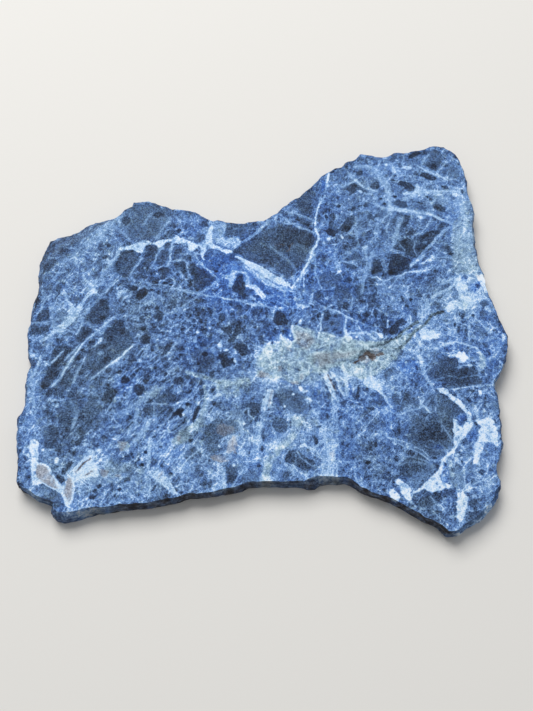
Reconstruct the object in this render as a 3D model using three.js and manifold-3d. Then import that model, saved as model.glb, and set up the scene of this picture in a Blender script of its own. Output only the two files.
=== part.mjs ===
// A rough slab of sodalite: one thin slice sawn through a boulder, with two flat sawn faces and a
// naturally broken, ragged edge all the way round. It is a single piece of stone.
// Millimetres, +Z up. The origin is the middle of the footprint, on the face that the slab lies on.
import * as THREE from "three";
import { mergeVertices } from "three/addons/utils/BufferGeometryUtils.js";
import Module from "manifold-3d";

// Driving dimensions.
const LENGTH = 127.0; // left to right, across the widest part of the edge
const THICKNESS = 5; // between the two sawn faces

// How finely the broken edge is cut up.
const COLUMN_STEP = 1.45; // along the edge
const RINGS = 6; // bands of facets from the upper sawn face down to the lower one

// The roughness of the broken edge.
const RAGGED = 0.16; // sideways wander of the outline between its points
const LEDGE_HEIGHT = 0.42; // how far ledges and hollows stand out of the edge
const LEDGE_LENGTH = 5.2; // along the edge
const LEDGE_RINGS = 2; // how many rings a ledge spans
const CHIP_LENGTH = 2.1; // small chips on the ledges
const CHIP_HEIGHT = 0.2;
const RIM_CHIP = 0.22; // nibbles out of the upper rim
const UNEVEN = 0.3; // how far a ring wanders up and down, as a share of the rings' spacing

// Where the bevel under the upper rim ends, as a share of the thickness: a wide bevel runs deeper.
const SHOULDER_DEPTH = 0.18;
const SHOULDER_PER_BEVEL = 0.07;
const SHOULDER_LIMITS = [0.2, 0.5];
const BEVEL_CURVE = 1.15; // 1 is straight, and more bulges

// Seeds for the repeatable noise, one for each kind of roughness.
const SEED = { wander: 5, ledge: 11, chip: 29, rim: 3, uneven: 40 };

// The stone's widest line, seen from above, clockwise from the left side. Each point is
// x, y, then the bevel, which is how far the upper rim lies inside this line, and the lean, which is
// how far the foot of the edge lies outside it (negative where the edge is undercut).
const OUTLINE = [
  // Left side, going away.
  [-62.1, -43.1, 0.5, -0.3],
  [-62.4, -41.8, 0.6, -0.3],
  [-62.5, -39.7, 0.5, -0.2],
  [-62.4, -37.6, 0.4, -0.2],
  [-62.7, -34.1, 0.4, 0.1],
  [-63.2, -30.9, 0.6, 0.3],
  [-63.3, -27.2, 0.7, 0.3],
  [-63.6, -25.5, 0.7, 0.2],
  [-63.1, -24.4, 0.6, 0.1],
  [-62.3, -23.2, 0.4, 0.1],
  [-61.8, -22.0, 0.4, 0.1],
  [-61.7, -20.2, 0.4, 0.2],
  [-62.3, -16.2, 0.4, 0.3],
  [-62.1, -13.3, 0.4, 0.2],
  [-61.2, -11.4, 0.3, 0.2],
  [-61.4, -10.5, 0.3, 0.3],
  [-62.4, -7.7, 0.5, 0.3],
  [-63.0, -4.4, 0.7, 0.2],
  [-63.1, -2.8, 0.7, 0.2],
  [-62.4, 0.7, 0.7, 0.3],
  [-62.5, 3.7, 0.9, 0.3],
  [-61.8, 8.1, 0.9, 0.4],
  [-61.2, 10.9, 1.0, 0.5],
  [-61.2, 12.3, 1.2, 0.5],
  [-61.6, 13.7, 1.6, 0.5],
  [-61.6, 16.5, 2.2, 0.6],
  [-61.7, 18.1, 3.0, 0.7],
  [-61.0, 20.8, 4.0, 0.8],
  [-60.4, 22.7, 4.8, 0.9],
  // Far side, left to right.
  [-60.0, 24.8, 5.2, 1.0],
  [-59.4, 26.1, 5.2, 1.0],
  [-57.5, 27.0, 4.6, 0.9],
  [-54.1, 27.5, 3.9, 0.8],
  [-52.0, 28.8, 3.8, 0.7],
  [-49.9, 30.2, 3.4, 0.6],
  [-47.8, 31.3, 3.0, 0.5],
  [-46.4, 31.8, 2.5, 0.4],
  [-45.2, 31.9, 1.9, 0.3],
  [-43.7, 32.1, 1.5, 0.2],
  [-42.3, 32.5, 1.0, 0.1],
  [-40.5, 33.7, 0.6, 0.0],
  [-39.6, 34.9, 0.5, 0.0],
  [-38.2, 35.6, 0.4, 0.0],
  [-37.4, 36.0, 0.4, 0.0],
  [-37.0, 37.3, 0.5, 0.1],
  [-34.4, 37.4, 0.5, 0.2],
  [-32.7, 37.6, 0.4, 0.2],
  [-31.0, 36.8, 0.4, 0.1],
  [-29.8, 36.3, 0.3, 0.0],
  [-27.3, 35.6, 0.3, 0.0],
  [-26.1, 34.9, 0.3, 0.1],
  [-23.8, 34.8, 0.3, 0.1],
  [-21.0, 34.4, 0.3, 0.0],
  [-19.6, 34.0, 0.3, -0.1],
  [-18.4, 33.2, 0.3, -0.1],
  [-16.8, 32.4, 0.3, 0.0],
  [-15.9, 31.7, 0.3, 0.0],
  [-14.7, 31.2, 0.2, 0.1],
  [-13.5, 31.6, 0.3, 0.2],
  [-12.1, 31.4, 0.4, 0.3],
  [-11.3, 31.1, 0.5, 0.3],
  [-9.3, 30.9, 0.5, 0.2],
  [-6.6, 30.4, 0.4, 0.1],
  [-5.2, 31.0, 0.3, 0.1],
  [-1.0, 31.3, 0.3, 0.0],
  [-0.3, 31.9, 0.3, 0.0],
  [1.6, 33.2, 0.3, 0.0],
  [3.0, 34.0, 0.3, 0.0],
  [3.9, 35.3, 0.3, 0.0],
  [6.2, 37.4, 0.4, 0.0],
  [7.6, 38.3, 0.4, 0.1],
  [8.8, 38.9, 0.4, 0.1],
  [11.3, 41.2, 0.3, 0.1],
  [13.0, 43.0, 0.3, 0.0],
  [14.8, 45.4, 0.3, 0.0],
  [16.2, 46.3, 0.3, 0.0],
  [18.1, 47.4, 0.3, 0.1],
  [19.2, 48.0, 0.3, 0.1],
  [20.9, 48.3, 0.3, 0.1],
  [22.3, 50.2, 0.4, 0.1],
  [23.9, 50.6, 0.4, 0.0],
  [25.0, 51.3, 0.4, 0.0],
  [26.2, 52.8, 0.4, 0.1],
  [27.8, 52.6, 0.4, 0.1],
  [29.5, 52.5, 0.5, 0.1],
  [30.9, 51.9, 0.5, 0.1],
  [32.5, 51.7, 0.4, 0.1],
  [33.7, 51.9, 0.4, 0.1],
  [36.4, 53.1, 0.4, 0.1],
  [39.9, 53.2, 0.4, 0.2],
  [40.8, 53.8, 0.4, 0.2],
  [44.1, 54.2, 0.4, 0.1],
  [46.4, 55.3, 0.5, 0.1],
  [47.8, 55.6, 0.6, 0.1],
  [50.6, 54.9, 0.6, 0.0],
  [52.2, 54.0, 0.6, 0.0],
  // Right side, coming nearer.
  [53.2, 52.8, 0.5, 0.0],
  [54.1, 50.9, 0.4, 0.0],
  [54.9, 48.6, 0.4, 0.1],
  [55.6, 44.8, 0.4, 0.1],
  [55.8, 40.2, 0.4, 0.1],
  [56.3, 38.1, 0.4, 0.0],
  [57.1, 35.9, 0.5, 0.0],
  [57.2, 33.6, 0.5, -0.1],
  [56.8, 30.9, 0.4, -0.1],
  [56.4, 28.4, 0.4, 0.0],
  [56.5, 23.4, 0.4, 0.1],
  [57.2, 18.6, 0.4, 0.2],
  [57.7, 16.7, 0.4, 0.2],
  [58.6, 14.2, 0.5, 0.1],
  [59.0, 10.5, 0.4, 0.1],
  [59.4, 8.1, 0.4, 0.1],
  [61.0, 4.0, 0.4, 0.0],
  [61.5, 1.9, 0.4, 0.0],
  [63.0, -1.9, 0.6, 0.0],
  [63.3, -3.6, 0.6, -0.1],
  [63.2, -5.6, 0.6, -0.1],
  [62.6, -8.6, 0.5, 0.0],
  [61.0, -12.4, 0.4, 0.1],
  [59.8, -14.2, 0.3, 0.1],
  [58.7, -15.7, 0.3, 0.1],
  [58.5, -17.1, 0.3, 0.2],
  [59.1, -19.2, 0.4, 0.2],
  [59.3, -23.7, 0.4, 0.1],
  [59.2, -29.0, 0.4, 0.1],
  [59.4, -32.0, 0.5, 0.1],
  [58.9, -34.1, 0.4, 0.0],
  [57.5, -37.6, 0.3, 0.0],
  [57.3, -39.3, 0.3, 0.1],
  [57.6, -40.7, 0.5, 0.1],
  [58.3, -41.6, 0.8, 0.0],
  [58.3, -43.2, 0.9, 0.0],
  [56.6, -46.4, 0.9, 0.0],
  [55.6, -47.9, 0.9, 0.0],
  [52.8, -50.7, 1.0, 0.0],
  [51.0, -52.1, 0.9, 0.0],
  [48.7, -53.0, 0.6, 0.0],
  [46.9, -54.7, 0.7, 0.0],
  // Near side, right to left.
  [45.4, -55.0, 0.6, -0.2],
  [44.0, -54.9, 0.5, -0.3],
  [43.1, -54.0, 0.4, -0.4],
  [41.3, -52.5, 0.3, -0.3],
  [38.3, -51.2, 0.3, -0.2],
  [36.0, -49.8, 0.3, -0.2],
  [33.4, -48.1, 0.3, -0.2],
  [30.6, -46.7, 0.3, -0.2],
  [27.4, -45.6, 0.3, -0.4],
  [24.1, -44.2, 0.3, -0.1],
  [22.3, -42.9, 0.2, 0.0],
  [20.9, -41.8, 0.2, 0.2],
  [19.5, -41.2, 0.3, 0.3],
  [17.6, -41.3, 0.3, 0.5],
  [15.0, -41.2, 0.4, 0.5],
  [13.0, -41.4, 0.8, 0.7],
  [11.8, -42.1, 1.3, 0.9],
  [10.3, -42.4, 1.0, 0.7],
  [9.2, -42.5, 0.5, 0.1],
  [6.0, -42.4, 0.3, 0.0],
  [2.0, -42.3, 0.3, 0.0],
  [-1.0, -42.3, 0.3, 0.0],
  [-4.7, -42.5, 0.3, 0.1],
  [-6.3, -43.3, 0.3, 0.2],
  [-9.8, -44.2, 0.3, 0.0],
  [-13.5, -45.0, 0.3, -0.2],
  [-17.3, -45.4, 0.3, -0.1],
  [-19.1, -45.3, 0.3, 0.0],
  [-21.9, -46.2, 0.3, 0.1],
  [-25.6, -47.0, 0.3, 0.1],
  [-28.9, -47.6, 0.3, 0.1],
  [-33.7, -48.0, 0.3, 0.2],
  [-36.1, -48.1, 0.3, 0.2],
  [-39.6, -48.8, 0.4, 0.2],
  [-41.9, -48.9, 0.6, 0.3],
  [-44.9, -49.7, 0.9, 0.4],
  [-47.5, -50.7, 1.1, 0.3],
  [-50.0, -51.4, 1.5, 0.1],
  [-52.0, -51.0, 1.6, 0.1],
  [-53.3, -49.8, 1.3, 0.1],
  [-53.4, -48.6, 0.9, 0.1],
  [-52.9, -47.6, 0.5, 0.1],
  [-54.4, -46.8, 0.3, 0.1],
  [-57.1, -46.0, 0.3, 0.1],
  [-59.6, -44.3, 0.3, -0.1],
  [-61.4, -43.7, 0.4, -0.2],
];

// A shallow brown pit in the upper face, torn out along a bent line: x, y, length, width, angle
// and depth of its overlapping hollows.
const PIT_HOLLOWS = [
  [23.5, -9.4, 2.4, 1.1, 35, 0.4],
  [25.2, -8.1, 3.0, 2.0, 42, 0.7],
  [26.9, -8.0, 3.0, 1.9, -8, 0.6],
  [28.9, -7.9, 2.6, 1.2, 12, 0.4],
];

// Repeatable noise: a value from 0 to 1 for each whole number, and a smooth curve through them.
function scatter(index, seed) {
  const wave = Math.sin(index * 127.1 + seed * 311.7) * 43758.5453;
  return wave - Math.floor(wave);
}

// Smooth noise from -1 to 1 at a distance along the closed edge, which repeats after `total`.
function noiseAlong(distance, total, length, seed) {
  const cells = Math.max(3, Math.round(total / length));
  const at = (distance / total) * cells;
  const cell = Math.floor(at);
  const ease = THREE.MathUtils.smootherstep(at - cell, 0, 1);
  const before = scatter(cell % cells, seed);
  const after = scatter((cell + 1) % cells, seed);
  return 2 * THREE.MathUtils.lerp(before, after, ease) - 1;
}

// Columns at an even spacing round the outline, each with its point, outward normal, bevel and lean.
function edgeColumns() {
  const count = OUTLINE.length;
  const lengths = OUTLINE.map(([x, y], i) => {
    const [nextX, nextY] = OUTLINE[(i + 1) % count];
    return Math.hypot(nextX - x, nextY - y);
  });
  const total = lengths.reduce((sum, length) => sum + length, 0);
  const columns = [];
  let before = 0;
  OUTLINE.forEach((point, i) => {
    const next = OUTLINE[(i + 1) % count];
    const parts = Math.max(1, Math.round(lengths[i] / COLUMN_STEP));
    const normal = new THREE.Vector2(point[1] - next[1], next[0] - point[0]).normalize();
    for (let part = 0; part < parts; part++) {
      const share = part / parts;
      const [x, y, bevel, lean] = point.map((value, k) => THREE.MathUtils.lerp(value, next[k], share));
      const distance = before + share * lengths[i];
      const wander = part ? RAGGED * (2 * scatter(columns.length, SEED.wander) - 1) : 0;
      columns.push({ x: x + normal.x * wander, y: y + normal.y * wander, bevel, lean, distance });
    }
    before += lengths[i];
  });
  columns.forEach((column, i) => {
    const last = columns[(i + columns.length - 2) % columns.length];
    const next = columns[(i + 2) % columns.length];
    column.normal = new THREE.Vector2(last.y - next.y, next.x - last.x).normalize();
  });
  return { columns, total };
}

// The edge's profile: how far a ring stands outside the widest line, from the rim (0) to the foot (1).
function profileAt(column, depth) {
  const wanted = SHOULDER_DEPTH + SHOULDER_PER_BEVEL * column.bevel;
  const shoulder = THREE.MathUtils.clamp(wanted, ...SHOULDER_LIMITS);
  if (depth < shoulder) {
    return -column.bevel * (1 - depth / shoulder) ** BEVEL_CURVE;
  }
  return column.lean * ((depth - shoulder) / (1 - shoulder));
}

// One ring of points round the stone, as far down the edge as `ring` of RINGS.
function ringPoints(columns, total, ring) {
  const depth = ring / RINGS;
  const middle = Math.sin(Math.PI * depth); // 0 at the rim and the foot, so both stay on their lines
  const ledgeSeed = SEED.ledge + Math.floor(ring / LEDGE_RINGS);
  return columns.map((column, i) => {
    const ledge = noiseAlong(column.distance, total, LEDGE_LENGTH, ledgeSeed);
    const chip = noiseAlong(column.distance, total, CHIP_LENGTH, SEED.chip + ring);
    const nibble = ring === 0 ? RIM_CHIP * scatter(i, SEED.rim) ** 2 : 0;
    const rough = middle * (LEDGE_HEIGHT * ledge + CHIP_HEIGHT * chip);
    const out = profileAt(column, depth) + rough - nibble;
    const uneven = ring % RINGS ? UNEVEN * (scatter(i, SEED.uneven + ring) - 0.5) : 0;
    return new THREE.Vector3(
      column.x + column.normal.x * out,
      column.y + column.normal.y * out,
      THICKNESS * (1 - (ring + uneven) / RINGS),
    );
  });
}

// The closed surface of the slab: two flat sawn faces and the facets of the broken edge.
function slabGeometry() {
  const { columns, total } = edgeColumns();
  const rings = Array.from({ length: RINGS + 1 }, (_, ring) => ringPoints(columns, total, ring));
  const count = columns.length;
  const index = [];
  for (let ring = 0; ring < RINGS; ring++) {
    for (let i = 0; i < count; i++) {
      const next = (i + 1) % count;
      const [a, b] = [ring * count + i, ring * count + next];
      const [c, d] = [a + count, b + count];
      if ((ring + i) % 2) {
        index.push(a, b, c, b, d, c);
      } else {
        index.push(a, b, d, a, d, c);
      }
    }
  }
  const flat = (points) => points.map(({ x, y }) => new THREE.Vector2(x, y));
  const capOf = (points) => THREE.ShapeUtils.triangulateShape(flat(points), []);
  // A cap's triangles come out anticlockwise from above.
  capOf(rings[0]).forEach((corners) => index.push(...corners));
  const foot = RINGS * count;
  capOf(rings[RINGS]).forEach(([a, b, c]) => index.push(foot + a, foot + c, foot + b));
  return new THREE.BufferGeometry().setFromPoints(rings.flat()).setIndex(index);
}

// A lumpy hollow for the pit: a low-sided ball squashed flat, centred on the upper face.
function pitGeometry([x, y, length, width, angle, depth]) {
  const ball = new THREE.IcosahedronGeometry(1, 1);
  ball.scale(length / 2, width / 2, depth);
  ball.rotateZ(THREE.MathUtils.degToRad(angle));
  return ball.translate(x, y, THICKNESS);
}

const MERGE = 1e-4; // vertices closer than this are one
const wasm = await Module();
wasm.setup();

function toSolid(geometry) {
  const bare = geometry.clone();
  bare.deleteAttribute("normal");
  bare.deleteAttribute("uv");
  const merged = mergeVertices(bare, MERGE);
  return new wasm.Manifold(
    new wasm.Mesh({
      numProp: 3,
      vertProperties: merged.attributes.position.array,
      triVerts: new Uint32Array(merged.index.array),
    }),
  );
}

function toGeometry(solid) {
  const { vertProperties, triVerts } = solid.getMesh();
  const geometry = new THREE.BufferGeometry();
  geometry.setAttribute("position", new THREE.BufferAttribute(vertProperties, 3));
  geometry.setIndex(new THREE.BufferAttribute(triVerts, 1));
  geometry.computeVertexNormals();
  return geometry;
}

// The slab with the pit cut into it, then centred on its footprint and set to its length.
function stone() {
  const pitted = PIT_HOLLOWS.reduce(
    (solid, hollow) => solid.subtract(toSolid(pitGeometry(hollow))),
    toSolid(slabGeometry()),
  );
  const geometry = toGeometry(pitted);
  geometry.computeBoundingBox();
  const { min, max } = geometry.boundingBox;
  geometry.translate(-(min.x + max.x) / 2, -(min.y + max.y) / 2, 0);
  const scale = LENGTH / (max.x - min.x);
  return geometry.scale(scale, scale, 1);
}

const slab = new THREE.Mesh(
  stone(),
  new THREE.MeshStandardMaterial({ color: 0x5f7fae, roughness: 0.6, metalness: 0 }),
);
slab.name = "sodalite_slab";

const part = new THREE.Group();
part.add(slab);
export default part;
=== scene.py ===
# A rough slab of sodalite, dressed for the imported CAD frame: a finer mesh of the same slab, its
# markings painted on the mesh as layers of numbers, and one procedural stone material.
#
# The markings are placed in millimetres on the upper sawn face seen from above, in a drawing
# frame of their own. MARKS_TO_ROW moves a point of it into the row frame.
import math

import bmesh
import bpy
import numpy as np
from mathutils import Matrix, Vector, noise
from mathutils.bvhtree import BVHTree
from mathutils.geometry import delaunay_2d_cdt
from mathutils.kdtree import KDTree


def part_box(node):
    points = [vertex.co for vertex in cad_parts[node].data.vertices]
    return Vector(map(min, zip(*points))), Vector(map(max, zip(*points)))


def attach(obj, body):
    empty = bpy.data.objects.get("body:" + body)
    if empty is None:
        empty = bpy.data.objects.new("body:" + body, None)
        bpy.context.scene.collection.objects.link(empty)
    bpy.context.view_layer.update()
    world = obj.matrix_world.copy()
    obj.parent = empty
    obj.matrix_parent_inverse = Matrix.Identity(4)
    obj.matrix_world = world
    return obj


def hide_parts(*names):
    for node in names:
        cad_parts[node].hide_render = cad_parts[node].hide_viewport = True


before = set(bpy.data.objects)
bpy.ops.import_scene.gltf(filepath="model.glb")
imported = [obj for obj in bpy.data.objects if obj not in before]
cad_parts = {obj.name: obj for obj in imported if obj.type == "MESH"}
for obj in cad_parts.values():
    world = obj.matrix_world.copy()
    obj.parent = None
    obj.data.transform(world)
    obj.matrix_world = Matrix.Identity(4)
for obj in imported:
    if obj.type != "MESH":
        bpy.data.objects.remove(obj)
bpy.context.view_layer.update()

MM = 0.001
SLAB = "sodalite_slab"
STONE = "sodalite_slab_stone"
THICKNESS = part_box(SLAB)[1][2] / MM
DRAWING_TO_ROW = np.array([0.0, -0.75])
MARKS_TO_ROW = DRAWING_TO_ROW + (0.15, -0.28)  # the markings, nudged to lie true to the outline

# ---------------------------------------------------------------------------------------------
# Markings, from the first laid to the last. Tone runs from 0, the darkest slate, to 1, white.
# "royal", "sage" and "umber" say how far the stone turns that colour, and "crust_and_shade" how
# much of the broken edge is dark: partly the stone's real dark rind, partly painted shade on the
# front edge, which faces away from the lamp. "coarse", "fine", "micro" and "thread" say how
# strongly the material's nets and threads show. "slant" turns the nets into diagonal streaks, and
# "upright" turns them into streaks towards the viewer.
# ---------------------------------------------------------------------------------------------

# Each layer before anything is laid on it.
BASE = {
    "tone": 0.26, "royal": 0.0, "sage": 0.0, "umber": 0.0, "crust_and_shade": 0.25,
    "coarse": 0.56, "fine": 0.65, "micro": 0.5, "thread": 0.7, "slant": 0.0, "upright": 0.0,
}

# Broad washes, by layer: x, y, half length, half width, angle, what the layer is carried to.
WASHES = {
    "tone": [
        (-34, 34, 9, 5, 0, 0.24), (-46, 27, 11, 4, 40, 0.42), (-57, 23, 3, 3, 0, 0.22),
        (-59, 16, 2.5, 5, 0, 0.2), (-50, 17, 9, 8, 45, 0.37), (-54, 2, 9, 4, 35, 0.49),
        (-47, -14, 9, 14, -15, 0.2), (-50, -27, 7, 7, 0, 0.22), (-40, -4, 5, 5, 0, 0.2),
        (-28, 2, 13, 10, 0, 0.33), (-32, 18, 9, 6, 0, 0.28), (-60, -24, 2.5, 14, 0, 0.45),
        (-36, -23, 7, 7, 0, 0.38), (-26, -34, 10, 6, 0, 0.46), (-45, -38, 6, 5, 45, 0.7),
        (-20, -20, 8, 6, 0, 0.36), (-36, -45, 8, 3, 0, 0.4), (0, -34, 9, 7, 0, 0.55),
        (15, -32, 3, 9, 0, 0.66), (25, -30, 6, 12, 0, 0.38), (42, -28, 6, 7, 0, 0.2),
        (38, -36, 6, 4, 0, 0.22), (48, -13, 6, 4, 0, 0.18), (53, -35, 4, 10, 0, 0.5),
        (45, 2, 8, 6, 0, 0.5), (53, 8, 6, 5, 0, 0.7), (36, 8, 7, 6, 0, 0.42), (24, 7, 8, 6, 0, 0.3),
        (24, 22, 9, 10, 0, 0.36), (15, 24, 3, 8, 0, 0.46), (40, 22, 6, 5, 45, 0.2),
        (53, 30, 3, 12, 0, 0.55), (24, 40, 9, 8, 0, 0.36), (11, 36, 5, 4, 45, 0.28),
        (42, 41, 9, 6, 0, 0.48), (36, 48, 7, 3, 0, 0.5), (48, 51, 4, 4, 0, 0.28), (-16, 27, 5, 4, 0, 0.6),
        (-20, 33, 6, 2, 0, 0.42), (-7, 29, 5, 2, 0, 0.3), (0, 10, 8, 6, -30, 0.34),
        (-15, 8, 7, 5, 0, 0.38), (-10, -14, 9, 6, 0, 0.45), (-12, -1, 7, 6, 0, 0.34),
        (-18, -25, 5, 5, 0, 0.48), (-3, -23, 5, 3, 0, 0.36), (6, -20, 5, 3, 0, 0.3),
        (-59.8, -21, 13, 1.6, 90, 0.58), (-60.5, -14, 2, 1.2, 90, 0.68), (-37, -15, 3.4, 2.2, 0, 0.42),
        (-39.5, -26.5, 5, 3.2, 50, 0.42), (-60, -39.5, 1.6, 4, 0, 0.42), (-57, -45, 2.6, 1.4, -40, 0.66),
        (-40, -48.5, 4.6, 0.9, 0, 0.62), (-46, -45, 1.9, 1.5, 0, 0.55), (-34, -44.5, 6.5, 3.2, 0, 0.46),
        (-14.8, 4, 5.2, 4.8, 0, 0.42), (-26, -31, 7.5, 5.5, 45, 0.5), (-12.3, -41, 1.9, 3.2, 0, 0.66),
        (2.5, 8, 2.6, 2.6, 0, 0.36), (8.7, 8, 4, 2.3, 40, 0.62), (24.5, 8.5, 4.8, 3.4, 0, 0.25),
        (20.5, -27, 3.4, 7, 0, 0.42), (25.5, -29.5, 3.4, 4.6, 0, 0.36), (28.5, -23.4, 1.5, 1.2, 0, 0.52),
        (35.5, -12, 2.4, 4, 0, 0.45), (53.5, 19, 3.6, 2.8, 0, 0.58), (47.5, 18.5, 2.5, 1.5, 0, 0.48),
        (41.4, 3.4, 1.2, 1.2, 0, 0.4), (41, 0, 1.2, 1, 0, 0.6), (51.5, -18.5, 1.8, 1.8, 0, 0.3),
        (50.8, -21.3, 1.2, 0.9, 0, 0.34), (54.6, -23, 1.6, 1.2, 0, 0.38), (55.6, -13, 1.2, 1.6, 0, 0.36),
        (49.5, -34, 1.8, 3, 0, 0.45), (52.5, -42.5, 2.6, 1.7, 0, 0.48), (-25, 2.5, 5, 6, 0, 0.38),
        (-10, 17, 6.5, 2.6, -30, 0.42), (-1, 11, 6, 2.4, -35, 0.42), (-1.5, -9.5, 2.6, 5, -15, 0.74),
        (1, -13.8, 4, 1.6, 0, 0.68), (5.5, -3.8, 2, 1.6, 0, 0.76), (3, -4.8, 3.5, 1.2, 10, 0.72),
        (27, -15, 5, 1.8, -20, 0.74), (20, -13.5, 3, 1.6, 0, 0.7), (31, -13, 3, 1.6, 40, 0.64),
    ],
    "thread": [
        (-48, 14, 16, 18, 0, 1.1), (53, 24, 4, 12, 0, 0.5), (14, -7, 14, 5, 0, 0.5),
        (-6, 17, 9, 4, -35, 0.3), (-30, -26, 20, 14, 40, 1.1), (17, -8, 6.5, 2.2, 8, 0.15),
    ],
    "coarse": [
        (-5, 16, 10, 4, -35, 0.1), (-46, -18, 12, 16, 0, 0.8), (17, -8, 6.5, 2.2, 8, 0.1),
    ],
    "fine": [
        (-5, 16, 10, 4, -35, 0.15), (32, 38, 16, 15, 0, 0.35), (-46, 20, 16, 14, 0, 0.3),
        (-47, -18, 10, 15, 0, 0.3), (-14, -4, 20, 14, 0, 0.75), (26, -30, 7, 12, 0, 0.25),
        (40, -28, 8, 12, 0, 0.2), (-32, 33, 10, 5, 0, 0.25), (53, 28, 4, 12, 0, 0.15),
        (14, -7, 14, 5, 0, 0.4), (17, -8, 6.5, 2.2, 8, 0.15),
    ],
    "micro": [
        (-5, 16, 10, 4, -35, 0.2), (32, 38, 16, 15, 0, 0.4), (-46, 20, 16, 14, 0, 0.25),
        (-47, -18, 10, 15, 0, 0.2), (-14, -6, 20, 14, 0, 0.7), (40, -28, 8, 12, 0, 0.2),
        (53, 28, 4, 12, 0, 0.5), (14, -7, 14, 5, 0, 0.9), (17, -8, 6.5, 2.2, 8, 0.3),
    ],
    "slant": [
        (32, 38, 20, 18, 0, 0.8), (-47, 14, 15, 20, 0, 1), (-48, -16, 13, 18, 0, 0.6),
        (-25, -24, 17, 13, 35, 1), (40, 16, 10, 16, -35, 0.7), (-30, -30, 18, 12, 45, 1),
    ],
    "upright": [
        (3, -33, 13, 8, 0, 0.8),
    ],
    "crust_and_shade": [
        (56, -48, 7, 6, 0, 0),
    ],
    "royal": [
        (-13.5, 14, 4, 7, 15, 0.7), (-6, 26, 4, 2.5, 40, 0.4), (-21, 29, 4, 3, 0, 0.45),
        (15, 27, 3, 6, 0, 0.4), (17, 37, 4, 6, 0, 0.3), (20, 1.5, 5, 3, 0, 0.5), (27, 1, 4, 3, 0, 0.35),
        (36, 2, 4, 4, 0, 0.3), (50, -5.5, 5, 3, -20, 0.4), (58, -8, 2.6, 6, 0, 0.45),
        (52, 32, 4, 4, 40, 0.3), (40, 18, 3, 4, 0, 0.3), (17, -22, 5, 4, -20, 0.4),
        (32, -25, 3, 6, 15, 0.4), (39, -15, 5, 3, -15, 0.35), (18, -35, 2.6, 6, 0, 0.35),
        (-2, -36, 4, 5, 0, 0.3), (45, -45, 2, 4, 0, 0.3), (31, -45, 3, 2, -30, 0.3),
        (-46, -48, 4, 2, 0, 0.3), (-25, -34, 4, 5, 0, 0.25), (-42, -29, 2.4, 4, 0, 0.3),
        (-50, 17, 4, 5, 30, 0.3), (1.5, -2.5, 3.5, 2.5, 0, 0.5), (-30, 17, 4, 4, 0, 0.25),
        (33, 48, 5, 2, 0, 0.3), (-17, -5.5, 2.5, 3.5, 0, 0.3), (-9, -17.5, 4, 2, 0, 0.3),
        (12, 15, 4, 4, 0, 0.3), (22, 14, 5, 4, 0, 0.25), (57, 3, 3, 3, 0, 0.3), (55, -34, 3, 5, 0, 0.25),
        (-53, 12, 5, 5, 0, 0.3), (-11, 18, 2.4, 6, 0, 0.7), (20.5, -0.5, 4, 3.4, 0, 0.5),
        (52, 31, 3, 5, 20, 0.35), (50, -6.5, 4, 2.4, 0, 0.35), (-23, -32, 3, 4, 20, 0.35),
        (41, 16, 3, 4, 0, 0.3), (35, 0, 3, 3, 0, 0.3), (-16, -9, 2.4, 2.4, 0, 0.35),
        (-39, 27, 5, 2, 0, 0.25), (61, -3, 2, 4, 0, 0.4), (-60, -29, 2, 6, 0, 0.3),
    ],
    "sage": [
        (-34, 6, 5, 3.5, 20, 0.35), (-24, 8, 4, 2.5, 0, 0.35), (-39, -7, 6, 3, 0, 0.4),
        (-27, -6, 4, 3.5, 0, 0.3), (-52, 2, 4, 3, 20, 0.35), (-51, -12, 3, 4.5, 0, 0.4),
        (-29, -20, 5, 4, 0, 0.4), (-8, -26, 5, 3.5, 0, 0.4), (-43, -40, 5, 2.4, 0, 0.4),
        (-14, -14, 4, 5, 0, 0.25), (26, -36, 2.4, 5, 15, 0.4), (39, -48, 4, 2.4, -20, 0.4),
        (45, -25, 2.4, 4, 0, 0.35), (38, -36, 2.4, 2.4, 0, 0.3), (37, 26, 3, 5, 20, 0.3),
        (23, 29, 4, 5, 0, 0.2), (45, 10, 4, 4, 0, 0.3), (52, 7, 3, 3, 0, 0.35), (56, 16, 2, 2.5, 0, 0.4),
        (47, 38, 3, 3, 0, 0.3), (27, 43.5, 4, 2, 0, 0.3), (10, 22, 2.5, 4, 0, 0.35),
        (-9, -3, 3, 2.5, 0, 0.3), (-47, -28, 4, 4, 0, 0.4), (-41, -19, 3, 3, 0, 0.35),
        (-51, -37, 4, 3, 0, 0.35), (-24, -12.5, 3, 2, 0, 0.4), (2, 15.5, 3, 2, 0, 0.3),
        (-33, -1, 3, 4, 0, 0.35), (-16, -34, 3, 2.4, 0, 0.35), (45, -29, 2, 3, 0, 0.25),
        (2, -20, 3, 3, 0, 0.35), (-44, -13, 5, 3, 0, 0.3), (12, -14, 3, 2, 0, 0.5),
        (7.5, -36, 2, 2.4, 0, 0.2), (18, -16, 4, 4, 0, 0.3), (30, -7, 3, 4, 0, 0.3),
        (-15, -31, 5, 7, 0, 0.25), (-28, -42, 6, 2, 0, 0.25), (-44, -25, 3, 3, 0, 0.25),
        (-54, -44, 3, 3, 0, 0.2), (0, 19, 4, 4, 0, 0.2), (52, 22, 3, 6, 0, 0.3), (46, -40, 2, 3, 0, 0.2),
        (48, -48, 3, 3, 0, 0.2), (26, -28, 2.4, 6, 0, 0.2), (-6, -14, 5, 3, 0, 0.2),
    ],
}

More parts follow.
